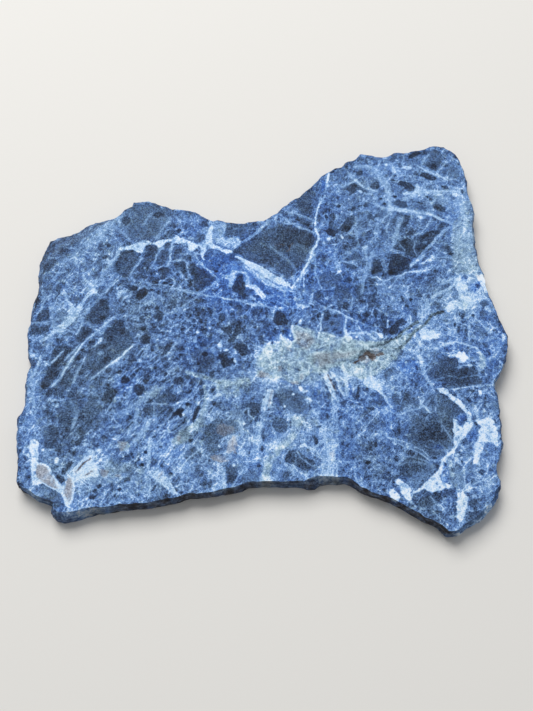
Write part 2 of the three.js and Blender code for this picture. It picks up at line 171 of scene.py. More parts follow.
# Tinted zones: layer, feather, strength, tone (None keeps the tone), outline.
ZONES = [
    # These two zones darken the broken edge along the front, which faces away from the lamp: partly real
    # dark rind, partly painted shade.
    ("crust_and_shade", 3, 1, None, [(-43, -40), (-10, -41), (20, -40), (34, -45), (46, -53), (44, -60),
        (-43, -60)]),
    ("crust_and_shade", 3, 0.45, None, [(-66, -40), (-56, -44), (-48, -46.5), (-42, -46), (-42, -60), (-66, -60)]),
    ("royal", 2.5, 0.95, None, [(-16.5, 20.5), (-9, 20.5), (-5, 17.5), (1, 13.5), (7, 10.5), (8, 6),
        (3, 5), (-3, 8), (-6, 14), (-11, 13), (-13, 16)]),
    ("royal", 4, 0.35, None, [(-19, 22), (9, 22), (20, 24), (24, 10), (8, 2), (-4, 2), (-16, 4)]),
    ("royal", 3, 0.5, None, [(-38.5, -14), (-33, -15), (-33.5, -19), (-38, -19.5)]),
    ("royal", 6, 0.2, None, [(-36, -4), (-14, 2), (-5, -12), (-22, -22), (-38, -26)]),
    ("royal", 5, 0.25, None, [(19, -17), (30, -17), (32, -30), (26, -42), (20, -40)]),
    ("sage", 6, 0.2, None, [(-62, 26), (-38, 38), (-26, 37), (-28, 26), (-42, 20), (-48, 10), (-62, 6)]),
    ("sage", 6, 0.12, None, [(-58, -8), (-48, -6), (-40, -14), (-42, -24), (-50, -32), (-58, -30)]),
    ("sage", 4, 0.08, None, [(34, -20), (46, -18), (48, -30), (42, -36), (34, -38), (32, -30)]),
    ("sage", 3, 0.2, None, [(-6, 23), (1, 30), (12, 28), (12, 22), (6, 15)]),
    ("sage", 1, 0.4, 0.56, [(50.8, 31), (52.5, 33), (54, 38), (56.6, 38), (56.8, 28), (56.6, 22),
        (57.4, 17), (54, 15.4), (49.6, 16), (50.2, 20), (50.6, 25)]),
    ("sage", 0.8, 0.7, 0.68, [(-2.4, -13.4), (-3, -10), (-1.4, -7), (0, -5), (3, -4.8), (4, -2.6),
        (5, -4), (6.6, -4), (7.4, -3.4), (6.8, -1), (7, 0), (8, 0.6), (9.4, 0), (11, -0.2), (13.4, -1.4),
        (16, -1.4), (18, -1.8), (20, -2.4), (23, -3.4), (28, -4), (26, -7), (20, -9), (12, -9.4),
        (11, -13), (8, -16), (5, -15), (2.4, -14.2)]),
    ("sage", 0.8, 0.7, 0.6, [(20, -3), (24, -3.8), (28, -4), (30, -3.6), (33, -3.4), (36, -2), (38, -1),
        (41, 1.5), (37, -4), (34, -8), (31, -11), (28, -13.6), (24, -14.4), (20, -12.6), (18, -10.6),
        (19, -7)]),
    ("sage", 1, 0.9, 0.55, [(10.6, -8.6), (13, -6.8), (17, -6.4), (20, -6.4), (23, -5.6), (25, -6.2),
        (24, -8), (21, -9.4), (18, -11), (15, -12.6), (12.4, -13), (11.4, -11)]),
    ("umber", 1.4, 0.45, 0.55, [(12, -7.6), (15, -7), (20, -7), (24, -6.6), (21, -8.6), (17, -10),
        (14, -11.4), (12.4, -10.6)]),
    ("umber", 1, 0.5, 0.58, [(7.6, -1), (11, -1.6), (12.6, -4), (10.6, -6.4), (8, -5)]),
]

# Coloured fields under the clasts: layer, strength, then tone and outline of each.
FIELDS = [
    ("royal", 0.85, [
        (0.34, [(52, 14.6), (53.4, 15.2), (54.4, 15), (53.4, 13.8), (52.4, 13.4), (51.8, 13.8)]),
        (0.4, [(53.6, 11.6), (55, 12.6), (57, 13.4), (57.2, 12.4), (55.4, 9.8)]),
        (0.34, [(20.6, -15), (21.6, -15.4), (21.8, -17), (21.6, -19.6), (20.8, -19.8)]),
        (0.42, [(12.2, -16), (13.6, -14.2), (14.2, -16), (14, -18.4), (13.4, -19.8), (12.2, -19)]),
        (0.37, [(10, -16.4), (11.4, -16.4), (11.8, -18), (10.8, -19)]),
        (0.36, [(3.6, -14), (5.4, -14.4), (5, -15.6), (3.6, -15.4)]),
        (0.44, [(17.6, -15), (18.6, -15), (19.6, -17.6), (18.4, -18)]),
        (0.3, [(48.4, -24.2), (49.6, -23.8), (50.6, -24.6), (49, -27), (48.4, -26)]),
        (0.35, [(50, -29.6), (52.8, -27.6), (53, -29), (52.6, -30.4), (51.6, -31.6), (50.4, -31)]),
        (0.34, [(31.6, -22.4), (32.6, -22.6), (32.4, -24), (31.6, -23.8)]),
        (0.42, [(34.4, -9.4), (36, -8), (38.6, -8), (39.2, -10), (39, -12), (37, -13), (35, -12.6),
            (33.6, -11)]),
        (0.62, [(43.2, -38.8), (44.2, -37), (45, -37.6), (44.8, -41.6), (43.6, -41.6), (43, -40.4)]),
        (0.38, [(15, 44.6), (16.4, 45), (16.4, 42), (15.4, 41)]),
        (0.4, [(41.6, -31.8), (43.4, -31.8), (44.4, -32.6), (43, -33.2), (41.6, -32.8)]),
        (0.3, [(4.4, -0.4), (6.4, -0.4), (7, -2), (7, -3.6), (6, -3.6), (4.8, -2.4)]),
        (0.34, [(1, -19), (3, -19.4), (4, -22), (3.6, -24), (2, -23.6)]),
    ]),
    ("sage", 0.5, [
        (0.42, [(-23.4, -29.2), (-20.4, -27), (-18, -26.6), (-17, -25.6), (-14.6, -21.4), (-15.6, -25),
            (-15.8, -27), (-19, -31), (-20.4, -32), (-22, -32), (-23.2, -30.4)]),
        (0.46, [(-13, -14.4), (-4.6, -13.8), (-3.8, -15.6), (-5, -18), (-7, -19.2), (-10, -19.4),
            (-12.6, -19)]),
        (0.58, [(-0.8, -35.4), (1.6, -35), (1.2, -38), (-0.2, -42), (-1, -41.4)]),
        (0.62, [(1.8, -33.8), (7, -28.4), (7.6, -30), (2.4, -35)]),
        (0.56, [(6, -24.4), (9, -24.4), (10, -25), (8.6, -26.6), (6.4, -27.8)]),
        (0.7, [(55, -7), (56, -7.4), (56.6, -9), (56.6, -10.6), (56, -12), (55.2, -11.6), (54.8, -10.4)]),
        (0.76, [(45, -35.6), (46, -36), (46.8, -42), (47.4, -43.6), (46.4, -43), (45.4, -41.6)]),
        (0.5, [(51.8, 7.8), (53.4, 7), (52.8, 6), (52, 6.2)]),
        (0.5, [(47.9, -45.4), (48.6, -45.4), (47.6, -48.6), (47.5, -47)]),
        (0.5, [(-15.4, -28.6), (-14.4, -28.4), (-14, -29.4), (-14.8, -30)]),
        (0.42, [(-40, -36), (-31, -37), (-30, -39), (-32, -41), (-36, -41), (-40, -39.6)]),
    ]),
]

# Dark clasts: tone, outline.
CLASTS = [
    (0.14, [(-24.2, -28.4), (-22, -26.8), (-20.4, -25.2), (-21, -26.8), (-23, -28.6)]),
    (0.14, [(-25.6, -25), (-23.8, -22.6), (-23.2, -23.6), (-24.6, -25.6)]),
    (0.15, [(-8.8, 22.5), (-3, 27.5), (3, 30), (6, 30.5), (12.5, 28.2), (12.9, 26), (12.6, 24),
        (7.5, 15.5), (5.5, 14), (3, 16.5), (0, 18.3), (-3, 19), (-6, 20.5)]),
    (0.2, [(43.4, -19.4), (44.2, -18.6), (45.4, -18.8), (49.4, -22), (49.8, -23), (48, -24.8),
        (47.2, -25), (46.8, -27), (46.6, -32), (45.6, -33), (40.4, -35), (36, -33), (35.2, -31),
        (37.4, -26.4), (39.4, -25.4), (41.6, -26), (43.2, -25)]),
    (0.25, [(-39.8, 33), (-37, 36.8), (-33, 37.2), (-27.6, 35), (-26.4, 33), (-28.4, 28.6), (-30, 27.2),
        (-37, 26), (-40, 30)]),
    (0.17, [(-42.4, 0), (-40.4, 0.8), (-39.4, 2), (-38.2, 2), (-36, -1.4), (-34.8, -5.4), (-43, -12),
        (-46, -11.6), (-47, -9), (-46.4, -6.6), (-42.8, -4.2)]),
    (0.12, [(44.5, -8.9), (46, -7.7), (48, -8.7), (49.5, -8.5), (49.2, -10), (50, -11.3), (51.2, -11),
        (53.2, -11.2), (54.8, -12.4), (54.8, -15.8), (47.5, -17), (46, -16.7), (45.2, -15.2),
        (42.8, -14.8), (42.2, -13.8)]),
    (0.25, [(-15.4, -27.4), (-12.6, -25), (-9, -25.8), (-7.4, -27), (-7.2, -28.4), (-8.6, -29.4),
        (-9.6, -29.4), (-11, -30), (-12, -31), (-11.6, -32.8), (-13, -34), (-15, -32.6), (-16.4, -31)]),
    (0.11, [(3, 29), (6, 29.8), (12, 27.6), (12.4, 25), (11, 23.6), (8, 25), (4, 24.6), (1.6, 25.6)]),
    (0.06, [(37.3, 22), (37.4, 24), (39.9, 25), (41, 27.2), (47.4, 29.4), (47.3, 28), (41.1, 20.2),
        (40, 20.4)]),
    (0.17, [(-39.3, 22), (-38, 22.7), (-36, 22.6), (-34.4, 21.4), (-34.6, 19.8), (-37, 14.6), (-38.8, 15),
        (-40.2, 16), (-40.8, 18.5)]),
    (0.05, [(32.8, 18), (33.4, 20.4), (34, 21.4), (35.4, 21.6), (38.6, 20.2), (38.9, 19), (38, 17),
        (36.8, 15.4), (33, 14.9), (32.4, 16)]),
    (0.28, [(14.8, 4.6), (17.6, 4.4), (20.2, 3), (20.7, 0.6), (20.3, -1.6), (14.4, -0.4), (14.2, 1.8)]),
    (0.14, [(-48, 3.2), (-46.6, 4.6), (-44.2, 8.2), (-43, 8.4), (-42, 7), (-41.4, 3.6), (-42.4, 2),
        (-43.8, 1), (-45.4, 1), (-47, 1.8)]),
    (0.23, [(-11.2, 30.8), (-8, 30.6), (-1.6, 31.2), (-6.2, 26.6), (-11.6, 27.4)]),
    (0.11, [(-19, 16), (-17, 16.6), (-15.4, 16), (-13.4, 13.8), (-17.6, 10.4), (-18.8, 10.8),
        (-20.4, 12.2), (-21.2, 13.4), (-20, 14)]),
    (0.1, [(38.4, -28.6), (40, -27.4), (43.8, -26), (44.4, -28), (45.4, -29.4), (45, -30.6), (43, -31),
        (41, -30.6), (39.4, -31.6), (38, -30.6)]),
    (0.15, [(33.4, -37), (34.6, -35.4), (36, -34.8), (38, -35), (40.6, -37.2), (37, -39), (35.4, -40.4),
        (33, -39.4)]),
    (0.13, [(-55.8, -6.2), (-54.2, -5), (-52.4, -5), (-51, -5.6), (-51.8, -7.6), (-54.2, -11.4),
        (-55.6, -12), (-57, -11.6), (-56, -9)]),
    (0.18, [(44.4, 49.6), (46, 53.6), (47.6, 54.6), (48.8, 54.2), (49.6, 52.4), (49.2, 50.2), (48, 48.4),
        (47, 47.6), (45.6, 48.2)]),
    (0.12, [(4.6, -36.4), (4.2, -35.4), (5.4, -34), (7, -33.2), (8.2, -33.6), (9, -34.8), (10.4, -35.6),
        (11.4, -35.6), (12.2, -36.8), (10.2, -38.8), (7.6, -37.4)]),
    (0.19, [(8.2, 38), (9, 39.6), (11, 41), (12.4, 41.4), (12.4, 36), (11.8, 34), (10.6, 34), (9, 35.4),
        (8.4, 36.6)]),
    (0.15, [(-32.4, 24.2), (-31, 24.4), (-29.6, 23.2), (-29.4, 22.2), (-32, 16.8), (-33.4, 16.2),
        (-34.6, 16.8), (-33, 21)]),
    (0.2, [(45.2, -14.6), (47.4, -14), (50, -14.5), (54.8, -13.6), (54.8, -15.8), (47.5, -17),
        (46, -16.7)]),
    (0.22, [(6.2, 22.5), (7, 24.2), (8.4, 24.6), (10.5, 23.6), (11.8, 22.4), (10.6, 20.4), (9, 18.9),
        (7.4, 19.2), (6.4, 20.6)]),
    (0.11, [(-55, -27), (-54, -26.6), (-52.8, -27.4), (-52.2, -29), (-52.6, -31), (-53.6, -33.2),
        (-55, -33.4), (-56, -31), (-56.4, -29), (-55.8, -27.6)]),
    (0.24, [(13.4, 14.4), (15, 15.6), (17, 16.4), (19, 15.2), (19.4, 13.4), (17.6, 12), (15.6, 11.4),
        (14.4, 12.6)]),
    (0.18, [(-56, -10.5), (-54.5, -10), (-53, -10), (-56, -17.3), (-57.5, -17.5), (-58, -16)]),
    (0.31, [(35.6, -40.4), (40.6, -37.4), (42, -37), (41, -39.6), (38.2, -42.4), (37, -43), (36, -42.8),
        (35.4, -41.6)]),
    (0.27, [(-52, -21), (-50, -20), (-48, -21), (-47.6, -23), (-49, -24.6), (-51, -24.5), (-53, -23.8)]),
    (0.27, [(-46, -20.4), (-44, -20.2), (-42.4, -21.2), (-41.6, -23.4), (-43.4, -24.2), (-46, -24),
        (-47, -22.4)]),
    (0.17, [(8.2, 38.6), (10.4, 39), (11.4, 38), (12.4, 36.6), (12.2, 34.6), (10, 34), (8.8, 34.6)]),
    (0.2, [(18, 10), (18.8, 12), (20, 12.4), (22.4, 9.4), (23, 8), (19, 8), (17.6, 8.6)]),
    (0.27, [(50.8, 49.8), (52.6, 49.2), (54.2, 46.8), (53, 45), (51, 45), (50, 46.2)]),
    (0.16, [(20.6, 30.6), (21.4, 32), (23, 33.4), (24.2, 33.4), (24.4, 31.8), (22.6, 28.8), (21, 28),
        (20.2, 28.4), (20.2, 29.8)]),
    (0.19, [(37.2, -46.4), (38.4, -45.2), (40, -44.8), (42, -44.4), (43, -45), (40.6, -48), (38.8, -48),
        (37.4, -47.6)]),
    (0.17, [(-49.2, 0), (-47.8, 0.6), (-45.4, -1), (-46.4, -2.6), (-48, -3.8), (-49.4, -4), (-50, -2.4)]),
    (0.16, [(1.4, -25), (2.8, -24.6), (4.8, -25), (5, -28.6), (4, -29), (2.4, -28.8), (1.4, -27)]),
    (0.05, [(2, 4.8), (3, 5.1), (4.4, 4.2), (5.6, 2), (5.2, 1), (4, 0.5), (2.6, 0.8), (1.6, 1.6)]),
    (0.26, [(-28.4, -20), (-27, -18.6), (-25, -17.8), (-23.2, -18.8), (-23, -20.4), (-25, -21.1),
        (-28, -21)]),
    (0.17, [(-28.8, 22.8), (-27.6, 23), (-26.4, 22), (-26, 20), (-28.2, 18), (-29.4, 18.4),
        (-29.5, 20.5)]),
    (0.21, [(-61.8, 0.8), (-56.8, 0.6), (-57, -0.8), (-58.4, -1.8), (-60.6, -2.2), (-62, -1.6)]),
    (0.1, [(-7.3, 16), (-6.5, 15.4), (-5.9, 13.4), (-5.5, 11.2), (-5.8, 10), (-7.4, 9.6), (-9, 10.2),
        (-9.3, 11.4), (-8.6, 13.4), (-8, 15)]),
    (0.09, [(-24.8, 18.9), (-23, 19.4), (-21.6, 18.6), (-20.8, 15), (-21, 13.6), (-24.6, 17.6)]),
    (0.19, [(21, 42.4), (23, 43.3), (25, 43), (26.6, 42.4), (28, 41.2), (27.4, 40.7), (26, 41.4),
        (24.6, 41.2), (24.2, 40.2), (23.2, 40.2), (23, 41.2), (21.4, 41.4)]),
    (0.2, [(34.6, -18), (37, -18.8), (38.8, -20.6), (38, -21.8), (35.6, -21), (34.4, -23.2),
        (33.8, -22.4), (34.8, -20)]),
    (0.27, [(-53, -44), (-51.4, -44), (-50.4, -45.5), (-50.2, -47.5), (-51.4, -48.4), (-53, -46.6),
        (-54.8, -45.6)]),
    (0.22, [(36, -26), (38.6, -23.4), (40, -22.6), (39.6, -24.6), (37, -29), (36, -28.4)]),
    (0.14, [(-42.5, -20), (-41.5, -18), (-40, -16.8), (-38.6, -16.8), (-38, -18), (-39, -19.8),
        (-40.5, -20.5), (-42, -20.4)]),
    (0.08, [(31.8, -1.4), (32.6, 0.2), (34.6, 2.2), (36, 2.5), (36.8, 1.2), (34.8, -0.2), (34, -1.8),
        (32.8, -2.1)]),
    (0.14, [(28.9, 19.8), (30.4, 19.4), (31.2, 17.4), (29.6, 15.4), (28.4, 15.2), (27.8, 16.2)]),
    (0.22, [(-53, -15), (-52, -13.5), (-50.5, -12.5), (-50, -14), (-50.2, -16), (-51, -17),
        (-52.5, -16.8), (-53.5, -16)]),
    (0.4, [(46.4, -37.6), (47.6, -37.4), (48.6, -39), (48.8, -43), (47.8, -43.4), (47, -41.6)]),
    (0.15, [(-60, 4), (-59.2, 5), (-57.6, 5), (-56.8, 3.6), (-57.2, 1.8), (-59.4, 1.8), (-60.6, 2.4)]),
    (0.1, [(-8, -4.4), (-5, -5), (-4.8, -6.2), (-5.4, -7.6), (-6.4, -8), (-7.6, -7), (-8.4, -5.6)]),
    (0.15, [(-59.6, 15.6), (-57, 18), (-56.6, 19.6), (-59, 20), (-60, 18)]),
    (0.19, [(-20, -33.4), (-18.4, -32.6), (-16.6, -34.2), (-18, -35), (-18.6, -36.2), (-20, -36),
        (-20.8, -35)]),
    (0.08, [(36.4, 43.6), (37.2, 44.4), (39.2, 43.8), (41, 42.4), (40.8, 41), (39.4, 41)]),
    (0.11, [(-20.8, 18.6), (-19.6, 18.8), (-17.4, 16.6), (-18.4, 15.4), (-20.2, 15.2), (-20.8, 16.8)]),
    (0.23, [(-10.4, -37), (-7, -37), (-6.6, -38.4), (-8, -39.6), (-10, -39.6)]),
    (0.19, [(17.4, 33.6), (18.6, 33.8), (18.9, 32.2), (18, 30.4), (18.2, 29.4), (19.2, 28), (17.4, 28),
        (16.8, 29.2)]),
    (0.1, [(-34.8, 9), (-34, 10.8), (-32.6, 11.4), (-31.4, 10.6), (-32.4, 8.6), (-33.6, 7.8),
        (-34.8, 8)]),
    (0.09, [(42.6, 46), (43.4, 47.2), (45, 47), (47.8, 44.9), (46.2, 44.2)]),
    (0.13, [(49, -50), (50.6, -49), (52.4, -48.6), (53.6, -48.8), (52.6, -50), (49.6, -51.6),
        (48.4, -51.2)]),
    (0.2, [(24, 12), (25.4, 12.4), (26.4, 11), (25.6, 9), (24.4, 8), (23.8, 9.6)]),
    (0.13, [(-34.2, -16), (-33, -15.6), (-31.5, -16), (-31, -17), (-32, -18.6), (-33, -18.9),
        (-34, -17.8)]),
    (0.12, [(36.6, 29.4), (36.4, 30.4), (37, 32.6), (38.2, 33.6), (39.4, 33.2), (38.9, 31.4),
        (37.8, 29.9)]),
    (0.16, [(-62, 9), (-61.4, 13), (-60.2, 7), (-61.4, 5)]),
    (0.2, [(8, 32.9), (9.6, 32.8), (11.6, 31.6), (12.2, 30.4), (11.2, 29.7), (9.6, 30.6), (8.2, 31.8)]),
    (0.31, [(-5, -38.8), (-3, -38.6), (-1.6, -39.6), (-1, -41), (-3, -41), (-5, -40.4)]),
    (0.17, [(35, 37.8), (36.4, 38.2), (38.4, 37.4), (39.2, 36.2), (38, 35.6), (36, 36.2), (34.8, 36.8)]),
    (0.25, [(30.2, -14.6), (30.4, -12.6), (31.8, -11.4), (33, -11), (33, -12.4), (31.8, -14),
        (31.6, -15.4), (30.8, -15.2)]),
    (0.12, [(-41, -8), (-40, -8.2), (-43, -12), (-44.5, -12), (-44.8, -11.4)]),
    (0.17, [(22.4, 42.8), (23.6, 43.6), (24.8, 43.4), (25.2, 42), (24.2, 40.4), (22.6, 40.8)]),
    (0.19, [(43.4, -44), (44, -43), (45, -42.8), (46, -43.6), (46.4, -44.6), (43.6, -46), (43, -45.6)]),
    (0.24, [(57, -20), (58.8, -20.4), (59, -23), (57.6, -24), (56.8, -22.4)]),
    (0.14, [(-12, -8.6), (-8.6, -8.8), (-8.4, -10), (-9.8, -11), (-11.6, -10.6)]),
    (0.17, [(-8, 0), (-7, 0.2), (-6.8, -1.6), (-8, -2.8), (-8.6, -4.4), (-9.6, -4.6), (-10, -3.4),
        (-8.2, -1.4)]),
    (0.14, [(-4.2, -22.2), (-3, -21), (-1.8, -21.2), (-1.6, -22.6), (-2.4, -24), (-3.4, -24.4),
        (-4.2, -23.4)]),
    (0.09, [(45.6, 36.4), (46.6, 37), (48, 36.8), (49.2, 35.6), (49, 34.2), (47.6, 34.6), (46, 35.6)]),
    (0.16, [(28.6, 43), (30, 44.2), (31.4, 44.2), (31.6, 42.4), (30.4, 41.4), (28.8, 42)]),
    (0.22, [(12.6, 10), (14.4, 10.8), (15.4, 9.6), (14.6, 8), (12.4, 8)]),
    (0.23, [(-30, -22), (-28.5, -21.5), (-28, -23), (-29, -24.4), (-30.6, -24), (-31.5, -23)]),
    (0.1, [(-33, -2.6), (-31.6, -1.8), (-30.4, -2.8), (-30.6, -4.6), (-31.8, -5), (-33, -4)]),
    (0.32, [(-20, 26.5), (-18.5, 27.8), (-17.2, 27.6), (-17, 26), (-18, 25), (-19.8, 25.4)]),
    (0.36, [(-56.2, -42.6), (-54.8, -42.4), (-53.6, -43), (-53, -44), (-54, -45), (-55.6, -44.6),
        (-56.4, -43.6)]),
    (0.27, [(-52.4, 8.4), (-51, 9), (-49.8, 9), (-49, 8), (-50, 6.8), (-51.4, 6.6), (-52.2, 7.4)]),
    (0.19, [(20, 11.8), (22, 11.6), (22.4, 9), (21, 8.4), (20.4, 9.6)]),
    (0.24, [(-31.6, -22.6), (-30.6, -21.8), (-29, -21.8), (-28.8, -23.4), (-30, -24.4), (-31.4, -24)]),
    (0.3, [(-55, 4.8), (-53.8, 5.4), (-52.6, 4.6), (-53, 3), (-54.6, 2.4), (-55.4, 3.4)]),
    (0.08, [(15, 4.8), (16.6, 4.8), (17, 3.6), (16.4, 2.4), (15.4, 1.6), (14.6, 2)]),
    (0.06, [(39.6, 52.2), (40.6, 53.4), (43, 53.8), (44.2, 53.6), (41, 51.6), (39.8, 51.4)]),
    (0.2, [(31.8, -18), (33.6, -18.4), (34.2, -19.6), (33.6, -21.4), (32.2, -20.6)]),
    (0.19, [(38.4, 5.4), (39.4, 5.6), (39.8, 3.6), (39.6, 2), (38.4, 1.8), (38, 3.4)]),
    (0.17, [(-27.8, 27), (-26, 29.6), (-25.4, 31.2), (-25, 30), (-25.3, 28), (-26.4, 26.6)]),
    (0.05, [(18.2, 29.2), (19.2, 28), (18.6, 27), (17.4, 27), (16.4, 27.6), (16, 28.6), (16.8, 29.2)]),
    (0.2, [(-53, -25), (-51, -24.6), (-50, -26), (-50.4, -27.4), (-52, -26.8)]),
    (0.17, [(-36, 15.6), (-34, 15.9), (-32.8, 15.2), (-33, 14), (-35.4, 13.9)]),
    (0.15, [(30.4, 2.4), (31.6, 2.8), (31.8, 1), (31, -0.8), (30, 0), (29.8, 1.4)]),
    (0.2, [(-48, -28), (-46.5, -27), (-45.5, -28.5), (-46, -30), (-47.5, -29.6)]),
    (0.33, [(-9.4, -23), (-7.6, -22.4), (-6.4, -23), (-6.4, -24.4), (-8.4, -24.6)]),
    (0.13, [(-48.8, -36), (-48, -36.4), (-50, -39.6), (-50.8, -39.6), (-51, -38.4)]),
    (0.27, [(30.6, 33), (32.6, 34.8), (34, 34.4), (33, 32.6), (31, 32.4)]),
    (0.25, [(-29.2, 4.6), (-28, 4.8), (-27, 3.8), (-27.2, 2.6), (-28.6, 2.2), (-29.4, 3.2)]),
    (0.14, [(-11.6, -0.2), (-9, 0.4), (-9, -1.4), (-10, -2.2), (-11, -1.6)]),
    (0.14, [(-24, -14.8), (-22.8, -14), (-21.4, -14.2), (-21, -15.2), (-22.4, -16), (-23.8, -15.8)]),
    (0.12, [(-25, -4), (-24.6, -4.2), (-25.6, -6.6), (-26.6, -8.2), (-27.6, -8.4), (-26, -5)]),
    (0.17, [(46.8, 30), (48.2, 31), (49.6, 31.2), (48.6, 29.6), (47, 28.4), (46.2, 29)]),
    (0.14, [(21, 18.4), (22.6, 18.9), (24, 18.2), (24.4, 17.4), (23, 17), (21.4, 17.4)]),
    (0.22, [(-46.5, -25), (-44.5, -24.5), (-43.5, -25.5), (-44.5, -26.5), (-46, -26.4)]),
    (0.26, [(55.4, -1.2), (56.4, -0.4), (57.6, -0.8), (58, -2), (56.6, -3)]),
    (0.23, [(50.4, -45.8), (51.6, -46), (52, -48), (50.8, -48.6), (50, -47.6)]),
    (0.25, [(-25.6, 8.6), (-24.2, 8), (-23.8, 6.4), (-25.2, 5.6), (-25.8, 7)]),
    (0.25, [(56, 4.8), (58, 4.6), (57.6, 2.4), (56.4, 2.2)]),
    (0.22, [(22, 19.9), (23, 21.2), (24.4, 22.2), (24.7, 20.8), (24.2, 19.6)]),
    (0.17, [(-29.4, 16.4), (-27.6, 17.4), (-26.2, 17), (-26.4, 15.8), (-28.4, 15.6)]),
    (0.13, [(-31.7, -13.2), (-30.4, -13), (-29.8, -14.4), (-30.5, -16), (-31.4, -15.4)]),
    (0.2, [(25, -30.6), (26.4, -30.8), (26.5, -33.4), (25.1, -33.4)]),
    (0.2, [(14.4, 20.8), (15.4, 21.4), (15.9, 20), (15.4, 18), (14.4, 18.4)]),
    (0.12, [(-17.8, -22), (-17, -21.6), (-17.2, -23.4), (-18.6, -26.2), (-19, -25.4)]),
    (0.2, [(-48, -17.6), (-47, -18.4), (-47, -19.8), (-48.6, -20), (-49.2, -19)]),
    (0.09, [(-23, -22.6), (-21.8, -22), (-21, -22.6), (-21.4, -24), (-22.6, -24.4), (-23.2, -23.8)]),
    (0.22, [(-45, -18), (-44, -17.6), (-43, -18.4), (-43.4, -19.8), (-45, -19.8)]),
    (0.12, [(20.6, 7.4), (21.8, 7.4), (22, 6), (21.4, 5), (20.4, 5), (20.2, 6)]),
    (0.15, [(27.4, 33.4), (28.3, 34.3), (29.6, 33), (29.2, 32), (27.6, 32)]),
    (0.12, [(20.4, 14), (21.8, 14.9), (22.8, 14.2), (22.4, 12.8), (20.8, 13)]),
    (0.14, [(-12.2, 4), (-11.2, 4.2), (-11, 2.6), (-11.6, 1), (-12.4, 1.4)]),
    (0.21, [(11.7, 41), (13.4, 41), (13.6, 39.4), (12.6, 38.8), (11.8, 39.6)]),
    (0.12, [(-50.4, -40), (-50, -41.4), (-51, -42.1), (-52, -40.6), (-52, -39.8), (-51, -39.6)]),
    (0.15, [(48.4, 43), (50, 43), (51, 41.8), (50.2, 41.1), (48.8, 41.6)]),
    (0.21, [(56.2, 7), (57.4, 7.8), (58.8, 7.6), (58.4, 6.4), (57, 5.8)]),
    (0.3, [(-46.6, 15.6), (-45.4, 16.4), (-44.8, 15), (-46, 13.8), (-47, 14.6)]),
    (0.24, [(-16.6, -5.6), (-15.2, -5), (-14.9, -6), (-18, -8)]),
    (0.18, [(18.8, 7.8), (20, 8), (20, 5.4), (19, 5)]),
    (0.13, [(3, -17), (4.6, -16.8), (4.4, -18.6), (2.8, -19)]),
    (0.2, [(-2, -2.2), (-1, -2.6), (-0.4, -3.8), (-0.8, -4.8), (-1.8, -4.4), (-2.2, -3.2)]),
    (0.11, [(-22.4, 20.9), (-21.2, 21.3), (-20.4, 20.8), (-20.6, 19.6), (-22, 19.6), (-22.8, 20.2)]),
    (0.21, [(-27.4, -22), (-26, -21.8), (-25.6, -22.6), (-26.6, -24), (-27.4, -24)]),
    (0.26, [(30.6, 4.8), (34, 4.4), (34.4, 3.6), (31, 3.8)]),
    (0.3, [(-28.4, -45.6), (-26, -45), (-25, -46), (-26.6, -46.6)]),
    (0.16, [(-42.8, 10.6), (-41.6, 11.8), (-40.8, 11.6), (-41.4, 10), (-42.6, 9.2)]),
    (0.14, [(-37.2, 12.6), (-36, 12.4), (-35, 11), (-36, 10.6), (-37.2, 11.2)]),
    (0.2, [(-56.4, 11), (-55.8, 12.8), (-55, 12.8), (-54.8, 11), (-55.4, 10.2)]),
    (0.24, [(-59.4, 10.6), (-58.6, 12), (-57.2, 11.6), (-57.4, 10)]),
    (0.18, [(-55, -21.5), (-55.8, -21.4), (-56.4, -23), (-56, -24.2), (-55.2, -24)]),
    (0.27, [(44, 43), (45.8, 43.2), (46, 41.6), (44.4, 41.4)]),
    (0.28, [(-10, -40), (-8.4, -40), (-8.4, -41.6), (-10, -41.8)]),
    (0.13, [(-25, 22.9), (-24, 23.2), (-23.2, 22.6), (-23.4, 21.4), (-24.4, 21.2), (-25, 22)]),
    (0.1, [(-46.2, -3.6), (-45, -3.4), (-44.6, -4.6), (-45.6, -5.6), (-46.4, -5)]),
    (0.24, [(4.2, -39.4), (5, -38.8), (6, -40), (5.4, -41), (4.4, -41)]),
    (0.18, [(-33.8, 3.2), (-32.6, 3.4), (-32, 1.6), (-33.2, 1)]),
    (0.25, [(20.6, 24.4), (21.8, 25), (22.4, 24), (21.6, 22.8), (20.6, 23.2)]),
    (0.22, [(-17.6, -37), (-16.6, -37), (-17, -38.6), (-18.6, -40.4)]),
    (0.14, [(-15.8, 5.6), (-14.6, 5.4), (-14.2, 4), (-14.8, 3), (-15.6, 4)]),
    (0.1, [(23.2, -16.2), (23.8, -16), (23.6, -18), (23.2, -20), (22.6, -20)]),
    (0.17, [(24.8, 47.4), (26, 48), (26.8, 47.2), (26, 46), (25, 46.4)]),
    (0.19, [(-24.8, -22.6), (-23.8, -22), (-24, -24), (-25, -24.8), (-25.4, -24.2)]),
    (0.2, [(-22.4, -40), (-21.4, -39.6), (-21.6, -41), (-22.6, -42.8), (-23.2, -42.6), (-22.6, -41.4)]),
    (0.17, [(-27.8, 24.6), (-26.2, 24.9), (-25.8, 24), (-26.6, 23.2), (-27.8, 23.6)]),
    (0.12, [(6, -20), (7.6, -20.4), (8, -21.6), (6.6, -22)]),
    (0.16, [(34, 51), (36.6, 52.8), (36.4, 51.4), (35.2, 50.6)]),
    (0.26, [(44.4, 7.2), (46, 7), (45.8, 5.6), (44.8, 5)]),
    (0.2, [(34.4, 32), (35.4, 33.4), (36, 32.6), (35.4, 31), (34.6, 31)]),
    (0.16, [(25.4, 19.4), (26.2, 19.6), (26.6, 18.4), (26, 16.8), (25.4, 17.6)]),
    (0.18, [(-12.4, -6.8), (-11, -6.8), (-10, -7.4), (-10.4, -8.4), (-11.6, -8)]),
    (0.25, [(40, -50.4), (41.6, -50.4), (42, -52), (41, -52.2)]),
    (0.2, [(13.9, 33.5), (14.6, 34), (15, 32.8), (14.6, 31.2), (13.9, 31.4)]),
